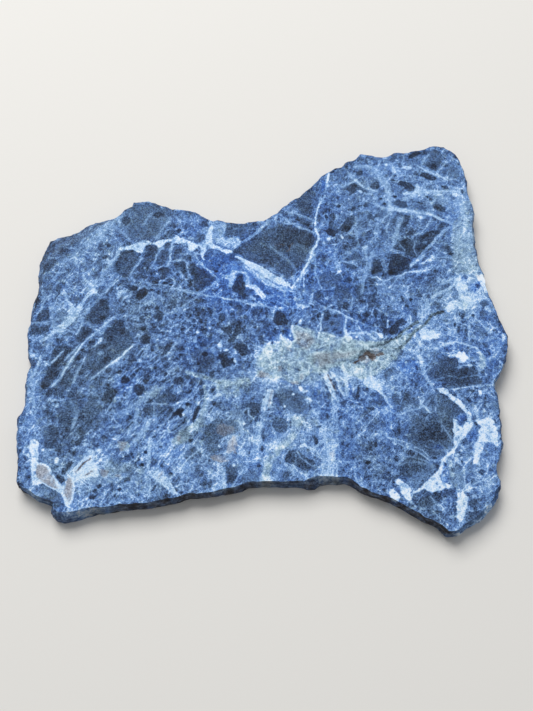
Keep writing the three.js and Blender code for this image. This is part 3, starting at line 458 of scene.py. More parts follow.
    (0.2, [(-17.6, -0.2), (-16, -0.2), (-15.4, -1.2), (-17, -1.8)]),
    (0.12, [(27, 14.4), (28.2, 14.6), (28.8, 12.4), (27.6, 12.8)]),
    (0.16, [(-34.5, -26), (-34, -25.6), (-33.6, -27), (-34.6, -28), (-35.4, -27.4)]),
    (0.26, [(50.2, -40.4), (51.4, -40.6), (51.6, -42), (50.4, -42.6)]),
    (0.14, [(38, 27.4), (39.4, 29), (40.2, 28.6), (39.4, 27)]),
    (0.16, [(-17, -11.6), (-15.6, -11.6), (-14.9, -12.4), (-16.2, -13), (-17.2, -12.4)]),
    (0.18, [(-28.8, 5), (-28, 5), (-28, 2.6), (-29, 2.6)]),
    (0.12, [(33.2, 14.2), (34.3, 14.1), (33.9, 12.8), (32.8, 11.1)]),
    (0.25, [(18.6, -20.6), (20.4, -20.4), (20, -22), (18.8, -21.8)]),
    (0.2, [(19.2, 21.8), (20.2, 22), (21.6, 21.6), (21, 20.8), (19.2, 21)]),
    (0.2, [(-9.6, 2), (-7.6, 1.6), (-7.2, 0.8), (-9.4, 0.8)]),
    (0.16, [(-33, 0), (-31.6, 0.2), (-31.4, -1.2), (-32.6, -1.6)]),
    (0.17, [(-18, -14.6), (-16.6, -14.6), (-16, -15.6), (-17.4, -16.2)]),
    (0.21, [(26.6, 37.4), (28, 37.4), (28.4, 36), (27.2, 35.8)]),
    (0.14, [(-49, -33.4), (-47.8, -33.8), (-47.6, -35), (-48.6, -34.8), (-49.8, -33.8)]),
    (0.19, [(-14.8, -12.4), (-13.4, -12.2), (-13.4, -13.8), (-14.6, -13.8)]),
    (0.26, [(18.6, -37.6), (19.4, -38), (19.2, -39.2), (18.4, -39.6), (17.8, -39)]),
    (0.19, [(-21.8, -27), (-20, -25.2), (-20.4, -26.4), (-22, -28), (-23.2, -28.6)]),
    (0.15, [(-48.4, -31), (-47, -30.2), (-46.4, -31.2), (-47.6, -32)]),
    (0.3, [(7.4, -42), (8.6, -41), (9.6, -41.6), (9, -42.6)]),
    (0.2, [(-21.4, -13.4), (-20, -13.4), (-19.2, -14.2), (-20, -14.8), (-21, -14.2)]),
    (0.17, [(-52.8, -32), (-52, -31.4), (-51.2, -32), (-51.6, -33), (-52.4, -33.2)]),
    (0.22, [(40.4, -49), (42, -48.4), (42.4, -49.6), (41, -49.9)]),
    (0.2, [(16.6, 20), (17.8, 20), (17.6, 18.4), (16.8, 18)]),
    (0.14, [(7.6, -18), (9, -18.4), (9.2, -20), (8, -19.4)]),
    (0.13, [(-8, 6), (-7, 6.4), (-6.4, 5.6), (-7, 4.8), (-8, 5)]),
    (0.16, [(-17.4, -17.4), (-16.2, -17.2), (-16.2, -18.8), (-17.2, -19)]),
    (0.25, [(-45.8, 19.6), (-44.4, 20), (-44.6, 18.6), (-46, 18.4)]),
    (0.17, [(18.4, 12), (19.4, 11.6), (19, 10), (18, 10.4)]),
    (0.22, [(-28.6, 0.8), (-27, 1), (-26.4, 0.4), (-27.4, -0.2), (-28.6, 0.2)]),
    (0.2, [(-33.5, -29.5), (-32, -28.6), (-31.6, -29.5), (-33, -30.4)]),
    (0.1, [(18.9, 14.4), (20, 16), (20.8, 15.6), (20, 14.2)]),
    (0.2, [(-6.4, 10), (-5.6, 10), (-5.4, 8.6), (-5.8, 8), (-6.6, 8.8)]),
    (0.16, [(-14.6, -17.4), (-13.4, -16.6), (-12.8, -16.6), (-13.2, -17.8), (-14.2, -18.2)]),
    (0.2, [(-52.3, -17.6), (-51.6, -18), (-52.6, -20), (-53.2, -20)]),
    (0.28, [(47.4, 12.6), (48.8, 13.4), (49, 12.4), (48, 11.8), (47.2, 12)]),
    (0.22, [(17.4, 46.6), (18.4, 46.2), (17.8, 44.6), (17.2, 44.2)]),
    (0.18, [(36.6, 50), (37.6, 50.4), (38.2, 49.2), (37, 48.8)]),
    (0.13, [(-14, -20.4), (-12.8, -20.4), (-12.6, -21.4), (-13.6, -22)]),
    (0.16, [(-30.6, 13.8), (-29.4, 13.6), (-29.6, 12.4), (-30.8, 12.6)]),
    (0.18, [(40.6, 47), (42, 47.4), (42.4, 46.2), (41, 46.2)]),
    (0.3, [(25.8, 51), (26.6, 51.8), (27.6, 51.2), (26.8, 50.2)]),
    (0.12, [(-17.2, 31), (-16.2, 31.2), (-15.9, 30), (-17, 29.6)]),
    (0.25, [(45.2, 8.6), (47.8, 9.8), (45.8, 7.8)]),
    (0.22, [(-53.4, 17), (-52.4, 17.2), (-52.6, 16.2), (-54, 15.4)]),
    (0.24, [(-43, -26.5), (-42.4, -27), (-42.8, -28.4), (-43.6, -28.4)]),
    (0.17, [(-31.6, 5.8), (-30.4, 6.6), (-30, 5.8), (-31, 5)]),
    (0.16, [(23.2, 14.4), (24.2, 14.8), (24.4, 13.4), (23.6, 13.2)]),
    (0.14, [(-17.6, 2.6), (-16.8, 2.4), (-16.9, 1), (-17.6, 1)]),
    (0.22, [(46, 1.6), (47.6, 2.2), (48, 1.4), (46.6, 1.2)]),
    (0.2, [(22, 26.9), (23, 27.2), (23.6, 26.4), (22.8, 25.9)]),
    (0.2, [(45, 4.4), (47, 5), (46.8, 4.4), (45.4, 3.8)]),
    (0.14, [(-61.9, -41.8), (-61.2, -41.4), (-60.8, -42.4), (-61.4, -43.2)]),
    (0.14, [(-30, -20.6), (-27.8, -18.4), (-28.2, -19.6), (-30.6, -21.1)]),
    (0.19, [(-18.2, 5), (-17.6, 4.4), (-17.8, 3), (-18.4, 3.6)]),
    (0.16, [(8, -23), (9.4, -22.6), (8.6, -24)]),
    (0.24, [(2.6, -17), (4, -16.6), (6, -17), (9, -18), (11, -20), (10.6, -21.6), (9, -23.8), (6, -23.6),
        (4.4, -22), (2.4, -21.6)]),
    (0.2, [(4, -16.8), (7, -17.6), (9.4, -20.6), (8.6, -22.6), (6, -23), (3.4, -20.8)]),
    (0.16, [(1.6, -25.4), (4.8, -25.4), (5.4, -28.6), (3.4, -28.8), (2, -27)]),
    (0.14, [(-4.4, -20.4), (-2.2, -21), (-2, -22.8), (-3.4, -24.8), (-5.8, -23.4), (-5.4, -22)]),
    (0.36, [(-20, -7.6), (-17, -6), (-15, -5), (-15, -7), (-13.4, -8), (-13.6, -11), (-16, -12.4),
        (-19, -10.6)]),
    (0.14, [(-12.4, -7.4), (-10.2, -7.6), (-10, -9), (-8.8, -9.4), (-9, -11), (-11.4, -11.4),
        (-12, -9.4)]),
    (0.12, [(-12, 0), (-10, 0.4), (-9.4, -0.8), (-10.4, -1.6), (-11.8, -1)]),
    (0.14, [(-7.6, 0.4), (-6.6, -0.6), (-8.6, -4), (-9.8, -4.4), (-9, -2)]),
    (0.13, [(-25.4, -4.2), (-24.6, -4.6), (-26, -7.6), (-27.4, -8), (-27, -6.4)]),
    (0.22, [(-29.8, 4.4), (-28.4, 5), (-27.2, 4), (-27.6, 2.4), (-29.4, 2.6)]),
    (0.13, [(34, 23.4), (36, 25.2), (38.6, 26.6), (41, 25.6), (40.2, 22), (38.8, 21), (37, 22)]),
    (0.2, [(47.6, 24), (49.2, 24.6), (50, 22.4), (48.6, 21.2), (47.4, 22.4)]),
    (0.14, [(-13, -21), (-12.2, -20.6), (-11.8, -21.6), (-12.8, -22.4)]),
    (0.2, [(-9.8, -37.4), (-8, -37.4), (-7, -39), (-7.6, -41), (-9.6, -41.6), (-10.2, -39.6)]),
    (0.24, [(-6.2, -39.4), (-4, -38.6), (-2.2, -39.6), (-1.4, -41.4), (-6, -42.4)]),
]

# Dark spots: x, y, length, width, angle.
SPOTS = [
    (49.2, 23.4, 1.8, 1.1, 30), (49.7, 21.6, 1.6, 1, 30), (12.5, 17.7, 1.2, 1.6, 0),
    (53.2, 14.7, 1.4, 1.2, 0), (56.2, 11.9, 1.2, 1.4, 0), (-42.8, 24.1, 1.4, 1, 45),
    (-43.5, 20.7, 2, 1.2, 45), (-19.1, 22.5, 1, 1, 0), (-17.7, -10.2, 1.2, 1, 0),
    (-42.8, -45.3, 2, 1.4, 30), (-17.7, -43.9, 2, 1.2, 0), (-24.7, -45.1, 2, 1.2, 20),
    (-38.4, 31.8, 2.4, 3, 0), (-29.6, 33.6, 3.4, 2, 0), (-24, 28.6, 1.4, 1, 0), (-35.4, 11.4, 2, 1.4, 0),
    (-33.2, 9.6, 3, 1.8, 20), (-13.6, 16.4, 1.2, 1, 0), (10.3, 14.2, 0.8, 1.2, 0),
    (6.2, 23.9, 0.6, 1.4, -30), (5.6, 22.8, 0.7, 0.6, 0), (8.6, 32.2, 1.4, 0.9, -40),
    (10.8, 30.6, 1.8, 0.9, -30), (21.8, 29.4, 2, 2.2, 0), (28.8, 16.2, 1.6, 1.4, 0),
    (46.6, 49, 2, 1.8, 0), (46.4, 36.2, 1.6, 1.1, -20), (-43.2, 2.8, 2, 1.4, 0), (-43.6, 7, 1.4, 1.6, 0),
    (-38, -1.2, 1.8, 1.6, 0), (-40.8, -3.2, 2.2, 1.4, 40), (-42.6, -5.6, 1.8, 1.4, 0),
    (-41.4, -9, 2.6, 1.6, 30), (-51.4, -6.6, 1.2, 2.6, -30), (-54.6, -9.6, 1.4, 3, -30),
    (-47.6, -1.6, 2, 1.2, 40), (-38, 15.6, 1.4, 1, 0), (-30, 19.6, 1.2, 1.4, 0), (-31, 23, 1.6, 1, 0),
    (-28.6, 17, 1.4, 0.9, 30), (-20.2, 12.8, 1, 1.2, 0), (-17, 13, 2.4, 2, 0), (-25.6, 12.2, 1.2, 0.9, 0),
    (-27.2, 13, 1.4, 0.9, 0), (16.4, 33, 1, 1.4, 0), (24, 35.6, 1.2, 0.9, 0), (31.6, 38.6, 1, 0.8, 0),
    (32.4, 37, 1, 1, 0), (22.8, 35.2, 1.2, 1, 0), (45.4, 38.6, 1, 0.8, 0), (42.4, 37.4, 1.8, 0.8, -20),
    (44.6, 39.2, 1, 0.7, 0), (35.6, 39.4, 1.4, 0.8, -20), (35.2, 44.6, 1.2, 0.8, 0),
    (54.2, 40.8, 0.9, 1.6, 0), (25.2, 36.4, 1, 0.8, 0), (-32.6, -0.6, 1.2, 1, 0), (-29.6, -6.6, 1, 1, 0),
    (-57, -16.5, 1.6, 1.6, 0), (-41, -12, 2, 1.4, 0), (-38, -12.5, 1.2, 1.4, 0),
    (-36.5, -14.6, 2.6, 2, 0), (-41, -16, 1.4, 1, 0), (-29, -11.4, 1, 1.4, 0), (-30.5, -13, 1, 1, 0),
    (-57.8, -33, 0.8, 1.7, 0), (-44, -48.4, 1, 0.8, 0), (-41.4, -42.6, 1.4, 1.4, 0),
    (-42.4, -43.8, 1.2, 0.8, 0), (-36.4, -43.4, 1, 1.2, 0), (-34.6, -41, 2, 1.2, 0),
    (-29, 5.6, 1.6, 1, 0), (-14.6, -2.4, 0.8, 1.2, 0), (-19, -2.2, 1.2, 0.8, 0), (-16, -7.6, 1.6, 1.6, 0),
    (-5.6, 2.8, 0.8, 1.4, 0), (0, 4, 0.6, 2.6, 0), (-26, -13, 1.2, 1.2, 0), (-26, -15.2, 2, 1, 0),
    (-19.4, -15.6, 1.2, 1, 0), (-21.6, -24.4, 1, 1.2, 0), (-20, -21.2, 1.4, 1, 0),
    (-5, -23.6, 1.2, 1.6, 0), (-28.4, -29.9, 1, 0.8, 0), (-26.6, -32.6, 1, 0.8, 0), (-30, -34, 0.8, 1, 0),
    (-19, -31, 1.4, 0.9, 40), (-23.8, -39.4, 1.2, 1, 0), (-15.6, -42.2, 1.4, 1.2, 0),
    (-14, -42, 1.1, 2.2, 0), (-2, -37.4, 0.9, 1.2, 0), (-14.2, -36, 0.8, 0.8, 0), (-1, -30, 0.7, 2.6, 10),
    (-1, -33, 0.8, 1.6, 0), (-27.8, -43, 0.6, 2.4, -35), (-22.4, -43.4, 1.4, 0.9, 0),
    (-20.8, -44, 1.4, 0.8, 0), (-7.6, -34.2, 0.8, 0.7, 0), (-4.4, -34, 0.6, 0.8, 0),
    (-26, -37.4, 1, 0.9, 0), (-31, -37, 1.2, 1, 0), (17.2, 1.2, 1, 1.2, 0), (15.4, -0.8, 1.8, 1, -15),
    (19.2, -1.4, 0.9, 0.9, 0), (17.8, -0.6, 1.4, 0.8, 0), (18, 3.2, 1, 0.9, 0), (11.8, 6.2, 1, 0.8, 0),
    (28.6, 3.4, 0.8, 1.8, 0), (26.2, 3.6, 1.6, 1.4, 0), (24.4, 2.8, 0.9, 1.8, 20),
    (1.4, -4.2, 0.9, 0.9, 0), (27.2, -18.6, 1.6, 1.2, 40), (26.4, -20.4, 1.4, 1, 0),
    (25.6, -17, 1, 0.8, 0), (28.8, -20.8, 2, 1.3, 20), (26.6, -22.4, 2, 1.1, 0), (23.6, -21, 1, 0.8, 0),
    (25.2, -23.6, 1.2, 1, 0), (33.4, -27.4, 0.9, 3.6, 0), (27.4, -31.7, 1, 1.6, 0),
    (15.5, -24.9, 0.7, 0.8, 40), (13.4, -27.2, 0.9, 0.9, 0), (8.6, -26.6, 1.4, 0.8, 30),
    (12.4, -31, 1.4, 1.8, 0), (11.8, -30, 0.9, 0.8, 0), (25.4, -36.4, 1.4, 0.8, 0),
    (9.6, -37, 1.2, 1.4, 0), (10.4, -33, 0.9, 0.8, 0), (4.8, -22.4, 0.8, 0.7, 0), (6.2, -18, 0.7, 0.8, 0),
    (45.4, 16.4, 1.2, 1.2, 0), (42.6, 18.3, 1.4, 0.5, 10), (43.8, 17.1, 1, 0.5, 20),
    (36, 8.4, 0.9, 1.4, 0), (38.2, 8.2, 1.2, 1, 0), (37.2, 6.2, 1, 1.2, 0), (51.6, 3, 1.2, 1.6, 0),
    (49.4, 1, 0.8, 1.6, 0), (52.3, -1.2, 0.9, 3, 0), (50.2, -0.8, 0.8, 2.4, 0), (57.4, -2, 1, 1.4, 0),
    (54.4, 3.4, 0.8, 1.2, 0), (38.6, -11.4, 0.8, 1.8, 10), (43.4, -8.2, 1.1, 1.7, 0),
    (42.8, -10.2, 1, 1.6, 0), (53.4, -10.2, 1.4, 1.2, 0), (53.2, -26.4, 0.7, 1.4, 0),
    (57.4, -26, 1.1, 1.7, 0), (52.6, -17.6, 1.2, 0.8, 0), (55.6, -12.8, 0.9, 1.4, 0),
    (57.2, -5.4, 1, 1.2, 0), (48.8, -36.2, 0.7, 1.2, 0), (53.4, -38.8, 2, 1.3, 0), (55, -34.4, 1.2, 1, 0),
    (19.6, 38.8, 1, 0.8, 0), (19.6, 36.4, 1.2, 1, 0), (27.4, 36.4, 1.4, 1, 0), (23.8, 35, 1.2, 1, 0),
    (17.4, 35, 0.8, 0.7, 0), (23.4, -17.6, 0.6, 2.4, 0), (24.6, 51, 1, 0.8, 0), (22.4, 48.6, 1, 1.2, 0),
    (-46.2, -6.8, 1.4, 1, 0), (-33.4, -12.2, 1, 1, 0), (-35, -9.4, 1.2, 0.9, 0), (-48, -6.2, 1, 1.2, 0),
    (-49, -8.6, 1.2, 1, 0), (-36.2, -18.8, 0.8, 0.8, 0),
]

# Veins: tone, width, path.
VEINS = [
    (0.6, 0.35, [(-36.5, -24.5), (-31, -20), (-28.5, -17)]),
    (0.6, 0.3, [(-34.4, -15.6), (-35.6, -19.6)]),
    (0.62, 0.35, [(-31, -33), (-27.4, -28), (-24.6, -24.6)]),
    (0.62, 0.3, [(-28, -36), (-23, -30), (-19.4, -24.4)]),
    (0.6, 0.35, [(-24, -41), (-19.6, -35.6), (-17, -33.4)]),
    (0.6, 0.3, [(-26.6, -16), (-22, -12.4)]),
    (0.58, 0.3, [(-30, -11), (-26, -7.6), (-22.6, -3.6)]),
    (0.58, 0.3, [(-22, -21.4), (-18.6, -17.6), (-17, -14.6)]),
    (0.85, 0.32, [(28, 14.4), (29.4, 14.8), (31, 13.6), (32.6, 13.9), (34.4, 14.9), (36, 15), (37.4, 16),
        (39, 16.3), (42.2, 16.7)]),
    (0.85, 0.5, [(-34.9, -5.2), (-36, -6.4), (-37.4, -7.8), (-38.8, -9), (-40.2, -10), (-41.4, -11.2),
        (-42.2, -12)]),
    (0.66, 0.5, [(-29.8, 8.4), (-31, 7.2), (-32, 6.4)]),
    (0.7, 0.4, [(-13, 13.6), (-14.4, 12.2), (-16, 11), (-17.8, 9.8), (-19.5, 8), (-22, 6.3)]),
    (0.88, 0.35, [(-18, 9.8), (-15, 9.2), (-12, 8.6), (-10, 8), (-7.8, 7.7), (-4, 6.5), (0, 6),
        (3, 5.3)]),
    (0.66, 0.4, [(14.8, 4.2), (13.9, 0)]),
    (0.7, 0.6, [(45, 10.9), (47.1, 12.8), (49.4, 14)]),
    (0.66, 0.6, [(46, -5.1), (49.4, -4), (54.3, -5.8), (55.7, -7.7)]),
    (0.66, 0.5, [(17.9, -24), (17.6, -28), (18, -33), (17.8, -38)]),
    (0.6, 0.5, [(-56.1, -33.2), (-53.2, -33.2)]),
    (0.92, 0.55, [(17.3, 46.7), (16.7, 43.4)]),
    (0.62, 0.5, [(16.7, 43.4), (16.1, 39.7), (15.2, 38)]),
    (0.9, 0.5, [(15.2, 38), (14.6, 37), (13.3, 32.6)]),
    (0.97, 0.6, [(13.3, 32.6), (13.4, 29.2), (13.6, 28.2), (14.1, 27.2), (14.2, 26)]),
    (0.97, 0.8, [(14.2, 26), (12.3, 22.4), (12, 20.6)]),
    (0.95, 0.55, [(12, 20.6), (11.5, 19.2), (10, 17), (8.9, 14.6), (7.2, 12.2), (6.9, 11.4)]),
    (0.85, 0.35, [(9.3, 15.6), (8.7, 11.6)]),
    (0.8, 0.35, [(9.9, 15.6), (9.8, 11.6)]),
    (0.55, 0.7, [(6, 34.4), (8, 34), (9.6, 33.4), (12.8, 31.8)]),
    (0.6, 0.6, [(5.2, 31), (7.2, 30.9), (8.8, 29.8), (13, 28.1)]),
    (0.42, 0.6, [(0.9, 23.8), (6.2, 19.4), (7.6, 17)]),
    (0.3, 0.3, [(6.3, 22.6), (7, 24.3), (8.4, 24.7), (10.5, 23.7), (11.6, 22.6)]),
    (0.33, 0.25, [(1.8, 17.8), (5.4, 20.6)]),
    (0.55, 0.9, [(-6, 25.6), (-4, 27), (-2, 28.8), (-0.4, 30.8)]),
    (0.5, 0.5, [(20.6, 20), (25.2, 24.4)]),
    (0.6, 0.3, [(20.8, 19.1), (23.2, 19), (24.6, 18.5)]),
    (0.55, 0.9, [(25.4, 10), (25.8, 13.6), (26.6, 15.2), (28.8, 22)]),
    (0.45, 0.7, [(31.4, 19.8), (32.2, 17.6), (32.4, 15)]),
    (0.62, 0.4, [(12.9, 16), (13.2, 21.4), (14, 23)]),
    (0.6, 0.4, [(13.4, 14.6), (14.8, 11)]),
    (0.5, 1.2, [(25.6, 49), (27.6, 48.8), (29.2, 48.2), (30.6, 47)]),
    (0.6, 0.8, [(30.6, 47), (32.8, 42.6)]),
    (0.68, 0.9, [(32.8, 42.6), (33.9, 39.8), (33.9, 35.2)]),
    (0.6, 0.4, [(33.6, 44.4), (33, 42.6)]),
    (0.7, 0.55, [(23, 46.4), (26.2, 43), (27.4, 42), (30, 41)]),
    (0.68, 0.5, [(25, 44.4), (21, 42.4)]),
    (0.58, 0.55, [(29.6, 37), (31, 36.2), (34, 35.4)]),
    (0.7, 1.3, [(34, 35.6), (41.6, 34.2)]),
    (0.72, 0.8, [(41.6, 34.2), (44.6, 33.9), (51, 30.6)]),
    (0.62, 0.35, [(40.6, 27.4), (41.4, 28), (42.4, 28.2), (44, 30.4), (45.2, 32.6)]),
    (0.55, 0.4, [(30.6, 31.8), (32, 32.4), (34.6, 34.6)]),
    (0.6, 0.35, [(32.8, 28.4), (32.8, 29.8), (34.2, 33.6)]),
    (0.55, 0.5, [(35.4, 27), (35.6, 29), (37.2, 32.8)]),
    (0.55, 0.5, [(34.5, 25), (35.2, 28.6), (36.3, 32.4)]),
    (0.78, 0.9, [(38, 40.2), (39.2, 40.4), (40.6, 40.2), (41.6, 40.8), (42, 42), (42, 43)]),
    (0.68, 0.7, [(42, 40.4), (46, 41), (52.2, 41.2)]),
    (0.62, 0.4, [(37.8, 38.6), (40, 40)]),
    (0.65, 0.4, [(45.4, 36.8), (46.8, 38.8)]),
    (0.68, 0.55, [(43.2, 48.8), (44.6, 47.6), (50, 44.9)]),
    (0.6, 0.45, [(47.8, 47.2), (50.6, 50.8)]),
    (0.58, 0.4, [(40.2, 46.6), (43, 44.6), (44.8, 43.8), (46, 43.6)]),
    (0.55, 0.6, [(42, 47.6), (45.4, 53)]),
    (0.62, 0.8, [(38.7, 18), (40.6, 19.7), (46.4, 26.7), (49.7, 29.7)]),
    (0.64, 0.75, [(-46.2, 11.4), (-45.8, 13), (-44.6, 14.4), (-42.4, 18.4), (-41.2, 20), (-39.9, 22.6)]),
    (0.58, 0.5, [(-44.6, 12.2), (-42.4, 16), (-42, 18)]),
    (0.68, 0.7, [(-46.6, 11.8), (-49, 14.8), (-49.2, 15.5)]),
    (0.6, 0.4, [(-49.2, 13), (-48, 11.6), (-47, 11)]),
    (0.75, 0.7, [(-46.6, 10), (-48.3, 8), (-48.8, 6.4)]),
    (0.64, 0.5, [(-45.4, 9.8), (-44, 9.2), (-42.8, 10), (-41.6, 12)]),
    (0.66, 0.6, [(-53.4, 9.8), (-53.2, 8.2), (-51.4, 5.8)]),
    (0.56, 0.5, [(-53.4, 7.8), (-54.6, 6.4), (-55.6, 4.6)]),
    (0.6, 0.5, [(-59.8, 5), (-59.2, 7), (-58.4, 8.6), (-57.6, 9.4)]),
    (0.52, 0.5, [(-56.6, 4.4), (-56, 0.4)]),
    (0.62, 0.4, [(-61.6, 1.4), (-58.4, 1.2), (-55.4, 2), (-53.2, 3)]),
    (0.5, 0.35, [(-49, 3), (-47.4, 4.6), (-42.8, 11.4), (-41, 13.4), (-40.2, 14)]),
    (0.7, 0.5, [(-48.4, 1.6), (-48.6, 0.6), (-49.8, -1.8)]),
    (0.5, 0.5, [(-48, 1.4), (-46.6, 1), (-45.4, 0.2), (-44.6, 0.2)]),
    (0.76, 0.55, [(-40.8, 2.4), (-43.8, -0.8), (-46.8, -3.4), (-48, -4.8), (-49.4, -7), (-53.5, -14.7),
        (-54.7, -16)]),
    (0.55, 0.7, [(-41, 0.4), (-42, 0.2), (-43.6, -2.4)]),
    (0.6, 0.4, [(-44.2, -4.6), (-44.8, -5.4)]),
    (0.64, 0.4, [(-48.8, -4.8), (-51.4, -8.4), (-52.2, -9.2)]),
    (0.66, 0.5, [(-53, -6.8), (-56.2, -10.6)]),
    (0.55, 0.4, [(-35, 5.8), (-37.2, 2.8), (-36.8, 1.4), (-36, 0.2)]),
    (0.58, 0.5, [(-33.8, 20.4), (-34.6, 18.6), (-35.8, 16.8), (-36.6, 14.8)]),
    (0.72, 0.8, [(-56.4, -2.2), (-59, -3.9)]),
    (0.52, 0.4, [(-56.8, -2.6), (-56.8, -5)]),
    (0.6, 0.45, [(-28.6, 23.4), (-29.6, 21.6), (-30, 19.8), (-31, 17.2)]),
    (0.75, 0.4, [(-25.6, 24.8), (-26, 20), (-26.6, 18.4)]),
    (0.62, 0.4, [(-29.8, 17), (-26.4, 19), (-24.4, 19.6), (-22.4, 19.6), (-21.4, 18.8), (-21.1, 17),
        (-21.1, 15.4)]),
    (0.7, 0.45, [(-19.4, 22), (-18.2, 19), (-17, 17.6), (-15.2, 16.4), (-13.8, 15), (-13, 13.8)]),
    (0.62, 0.35, [(-34, 13.5), (-31, 12.7), (-24, 11.6), (-18, 10)]),
    (0.5, 0.4, [(-36, 12.8), (-32, 11.8), (-27.6, 11.4), (-23, 10.4), (-20, 10)]),
    (0.5, 0.5, [(-23.6, 17.4), (-21.4, 13.2)]),
    (0.5, 0.6, [(-39.8, 28.4), (-37.4, 26)]),
    (0.5, 0.6, [(-31.4, 34.2), (-32.6, 32.6), (-33.4, 31)]),
    (0.45, 0.5, [(-26.4, 32.6), (-30, 26.4)]),
    (0.5, 0.6, [(-55.8, 18.6), (-52.1, 21.6), (-49.3, 24.6), (-46.1, 27.4), (-42.8, 30.9),
        (-39.6, 33.2)]),
    (0.5, 0.35, [(-57, 14.4), (-54, 17.8), (-44, 28)]),
    (0.6, 0.4, [(-42.2, -11.9), (-44, -13.4), (-45.4, -14.8)]),
    (0.55, 0.6, [(-47.5, -9.5), (-49, -13), (-49.5, -15.5)]),
    (0.6, 1, [(-28, -16.5), (-30, -18.5), (-34, -21.6), (-37.4, -24.6)]),
    (0.65, 0.4, [(-34.4, -16), (-35, -19.4)]),
    (0.5, 0.8, [(-47.8, -23), (-49, -27.5)]),
    (0.4, 0.3, [(-50, -20), (-48.8, -22), (-48.6, -24)]),
    (0.62, 1, [(-32.8, -22.6), (-33, -25), (-33.6, -26.6), (-34.4, -27.8), (-34.6, -28.6)]),
    (0.55, 0.4, [(-32, -25), (-28, -26)]),
    (0.68, 1.2, [(-30, -26.5), (-33, -31)]),
    (0.72, 0.5, [(-58.6, -8), (-60.4, -15), (-59.2, -22)]),
    (0.5, 0.25, [(-49.6, -34), (-48.6, -34.8), (-47.6, -36)]),
    (0.6, 0.25, [(-53.4, -38.4), (-51.8, -39), (-50.6, -40)]),
    (0.65, 0.3, [(-35.4, -43.4), (-33, -46)]),
    (0.65, 0.4, [(-28.6, -43), (-29.4, -45)]),
    (0.75, 0.9, [(-29.4, -31.4), (-29.4, -37.6)]),
    (0.42, 0.35, [(-44.4, -17), (-42.6, -19.6), (-42.8, -21.4)]),
    (0.6, 0.45, [(-22, 6), (-20.2, 7.6), (-18.5, 8.7), (-17, 10.2), (-15, 11.5), (-12.8, 13.6)]),
    (0.72, 0.4, [(-25.2, 11.4), (-18, 9.5), (-12, 8.7)]),
    (0.82, 0.45, [(-12, 8.7), (-10.5, 8.1), (-5.5, 7.6)]),
    (0.62, 0.4, [(-2.5, 6.7), (0.3, 5.8), (4, 5)]),
    (0.75, 0.5, [(-32, 6.8), (-29.6, 8.4)]),
    (0.58, 0.3, [(-18.4, -1.6), (-17.4, -2.2), (-16, -2), (-15.2, -1.6)]),
    (0.75, 0.3, [(-19.4, -9), (-18.4, -9.4)]),
    (0.6, 0.6, [(-13.2, -8.2), (-13.4, -10.4), (-14, -11.4)]),
    (0.5, 0.3, [(-25.6, -3.4), (-23, -4.2), (-22.6, -3)]),
    (0.5, 0.35, [(-14.4, 2.8), (-13.8, 4.6), (-12.6, 5.4)]),
    (0.52, 0.35, [(-10.6, 4.2), (-9.8, 2.6), (-9.8, 1)]),
    (0.66, 0.35, [(-31, -21.3), (-28.6, -21.1), (-23.2, -21.4)]),
    (0.56, 0.3, [(-28.6, -21.4), (-28.5, -22.8), (-28.9, -24.4)]),
    (0.5, 0.3, [(-26.2, -22.2), (-27.4, -23.4), (-28.2, -24.6)]),
    (0.58, 0.45, [(-23.2, -22.2), (-25, -25), (-26.4, -26.6)]),
    (0.62, 0.5, [(-19.6, -22.4), (-21.4, -25.4), (-22.8, -27), (-24.2, -28)]),
    (0.76, 0.35, [(-23.8, -29), (-22.4, -27.6), (-21, -26.8), (-19.4, -27), (-18, -26.2), (-17, -25)]),
    (0.7, 0.8, [(-12, -18.6), (-13.6, -19.4), (-14.8, -20.4), (-16.6, -24)]),
    (0.62, 0.5, [(-15.6, -16.4), (-14.2, -15.8), (-12.4, -16), (-12.4, -18)]),
    (0.55, 0.4, [(-5.6, -22.6), (-4.6, -22.4), (-4.8, -23.8), (-3.4, -25)]),
    (0.75, 0.35, [(-2, -28), (-2.1, -33)]),
    (0.8, 0.7, [(-8, -29.6), (-8, -31.6)]),
    (0.6, 0.35, [(-6.8, -25.4), (-6.4, -29)]),
    (0.62, 0.4, [(-5.8, -38.4), (-7, -40), (-9, -43.4)]),
    (0.74, 1.1, [(-11, -38.6), (-10.4, -43)]),
    (0.62, 0.5, [(-19, -31.6), (-21.4, -35)]),
    (0.58, 0.4, [(-16, -31.4), (-17.6, -32.4)]),
    (0.8, 0.3, [(1.4, 2.4), (2, 4.8)]),
    (0.7, 0.5, [(15, 6), (16, 5.4), (19, 4.5), (21.2, 3), (24, 1.6)]),
    (0.5, 0.4, [(24, 1.6), (27.5, 0)]),
    (0.74, 0.6, [(21.2, 3), (20.8, 2), (20.5, -0.5), (20.8, -2), (21.4, -3.2)]),
    (0.65, 0.7, [(21.4, -1.8), (26, -1.4), (28.4, -3.4)]),
    (0.6, 0.4, [(23, 8.4), (22.2, 5)]),
    (0.7, 0.5, [(12.4, 9.6), (11.6, 7.6), (10.6, 6)]),
    (0.85, 0.5, [(31.9, 2), (31.8, 0)]),
    (0.58, 0.4, [(28.4, 0.8), (28.8, -0.6), (28.4, -2.4)]),
    (0.58, 0.35, [(31.4, 3.6), (32.6, 2.8), (34.4, 3), (36, 4)]),
    (0.86, 0.6, [(3.6, -2.2), (4.2, -3.4), (5.2, -4.2), (6.8, -4.4), (7.6, -3.6), (7.4, -2.4), (6.6, -1),
        (6.8, 0.4)]),
    (0.8, 0.4, [(14.2, -0.4), (13.4, -3)]),
    (0.75, 0.7, [(16.8, -20), (17.2, -22), (16.8, -25), (15.6, -28.6)]),
    (0.88, 0.55, [(15.8, -29), (16.4, -30.2), (17, -34), (16.4, -38), (16.6, -41)]),
    (0.74, 0.6, [(15.2, -30), (15, -34), (15.4, -37), (15.4, -40)]),
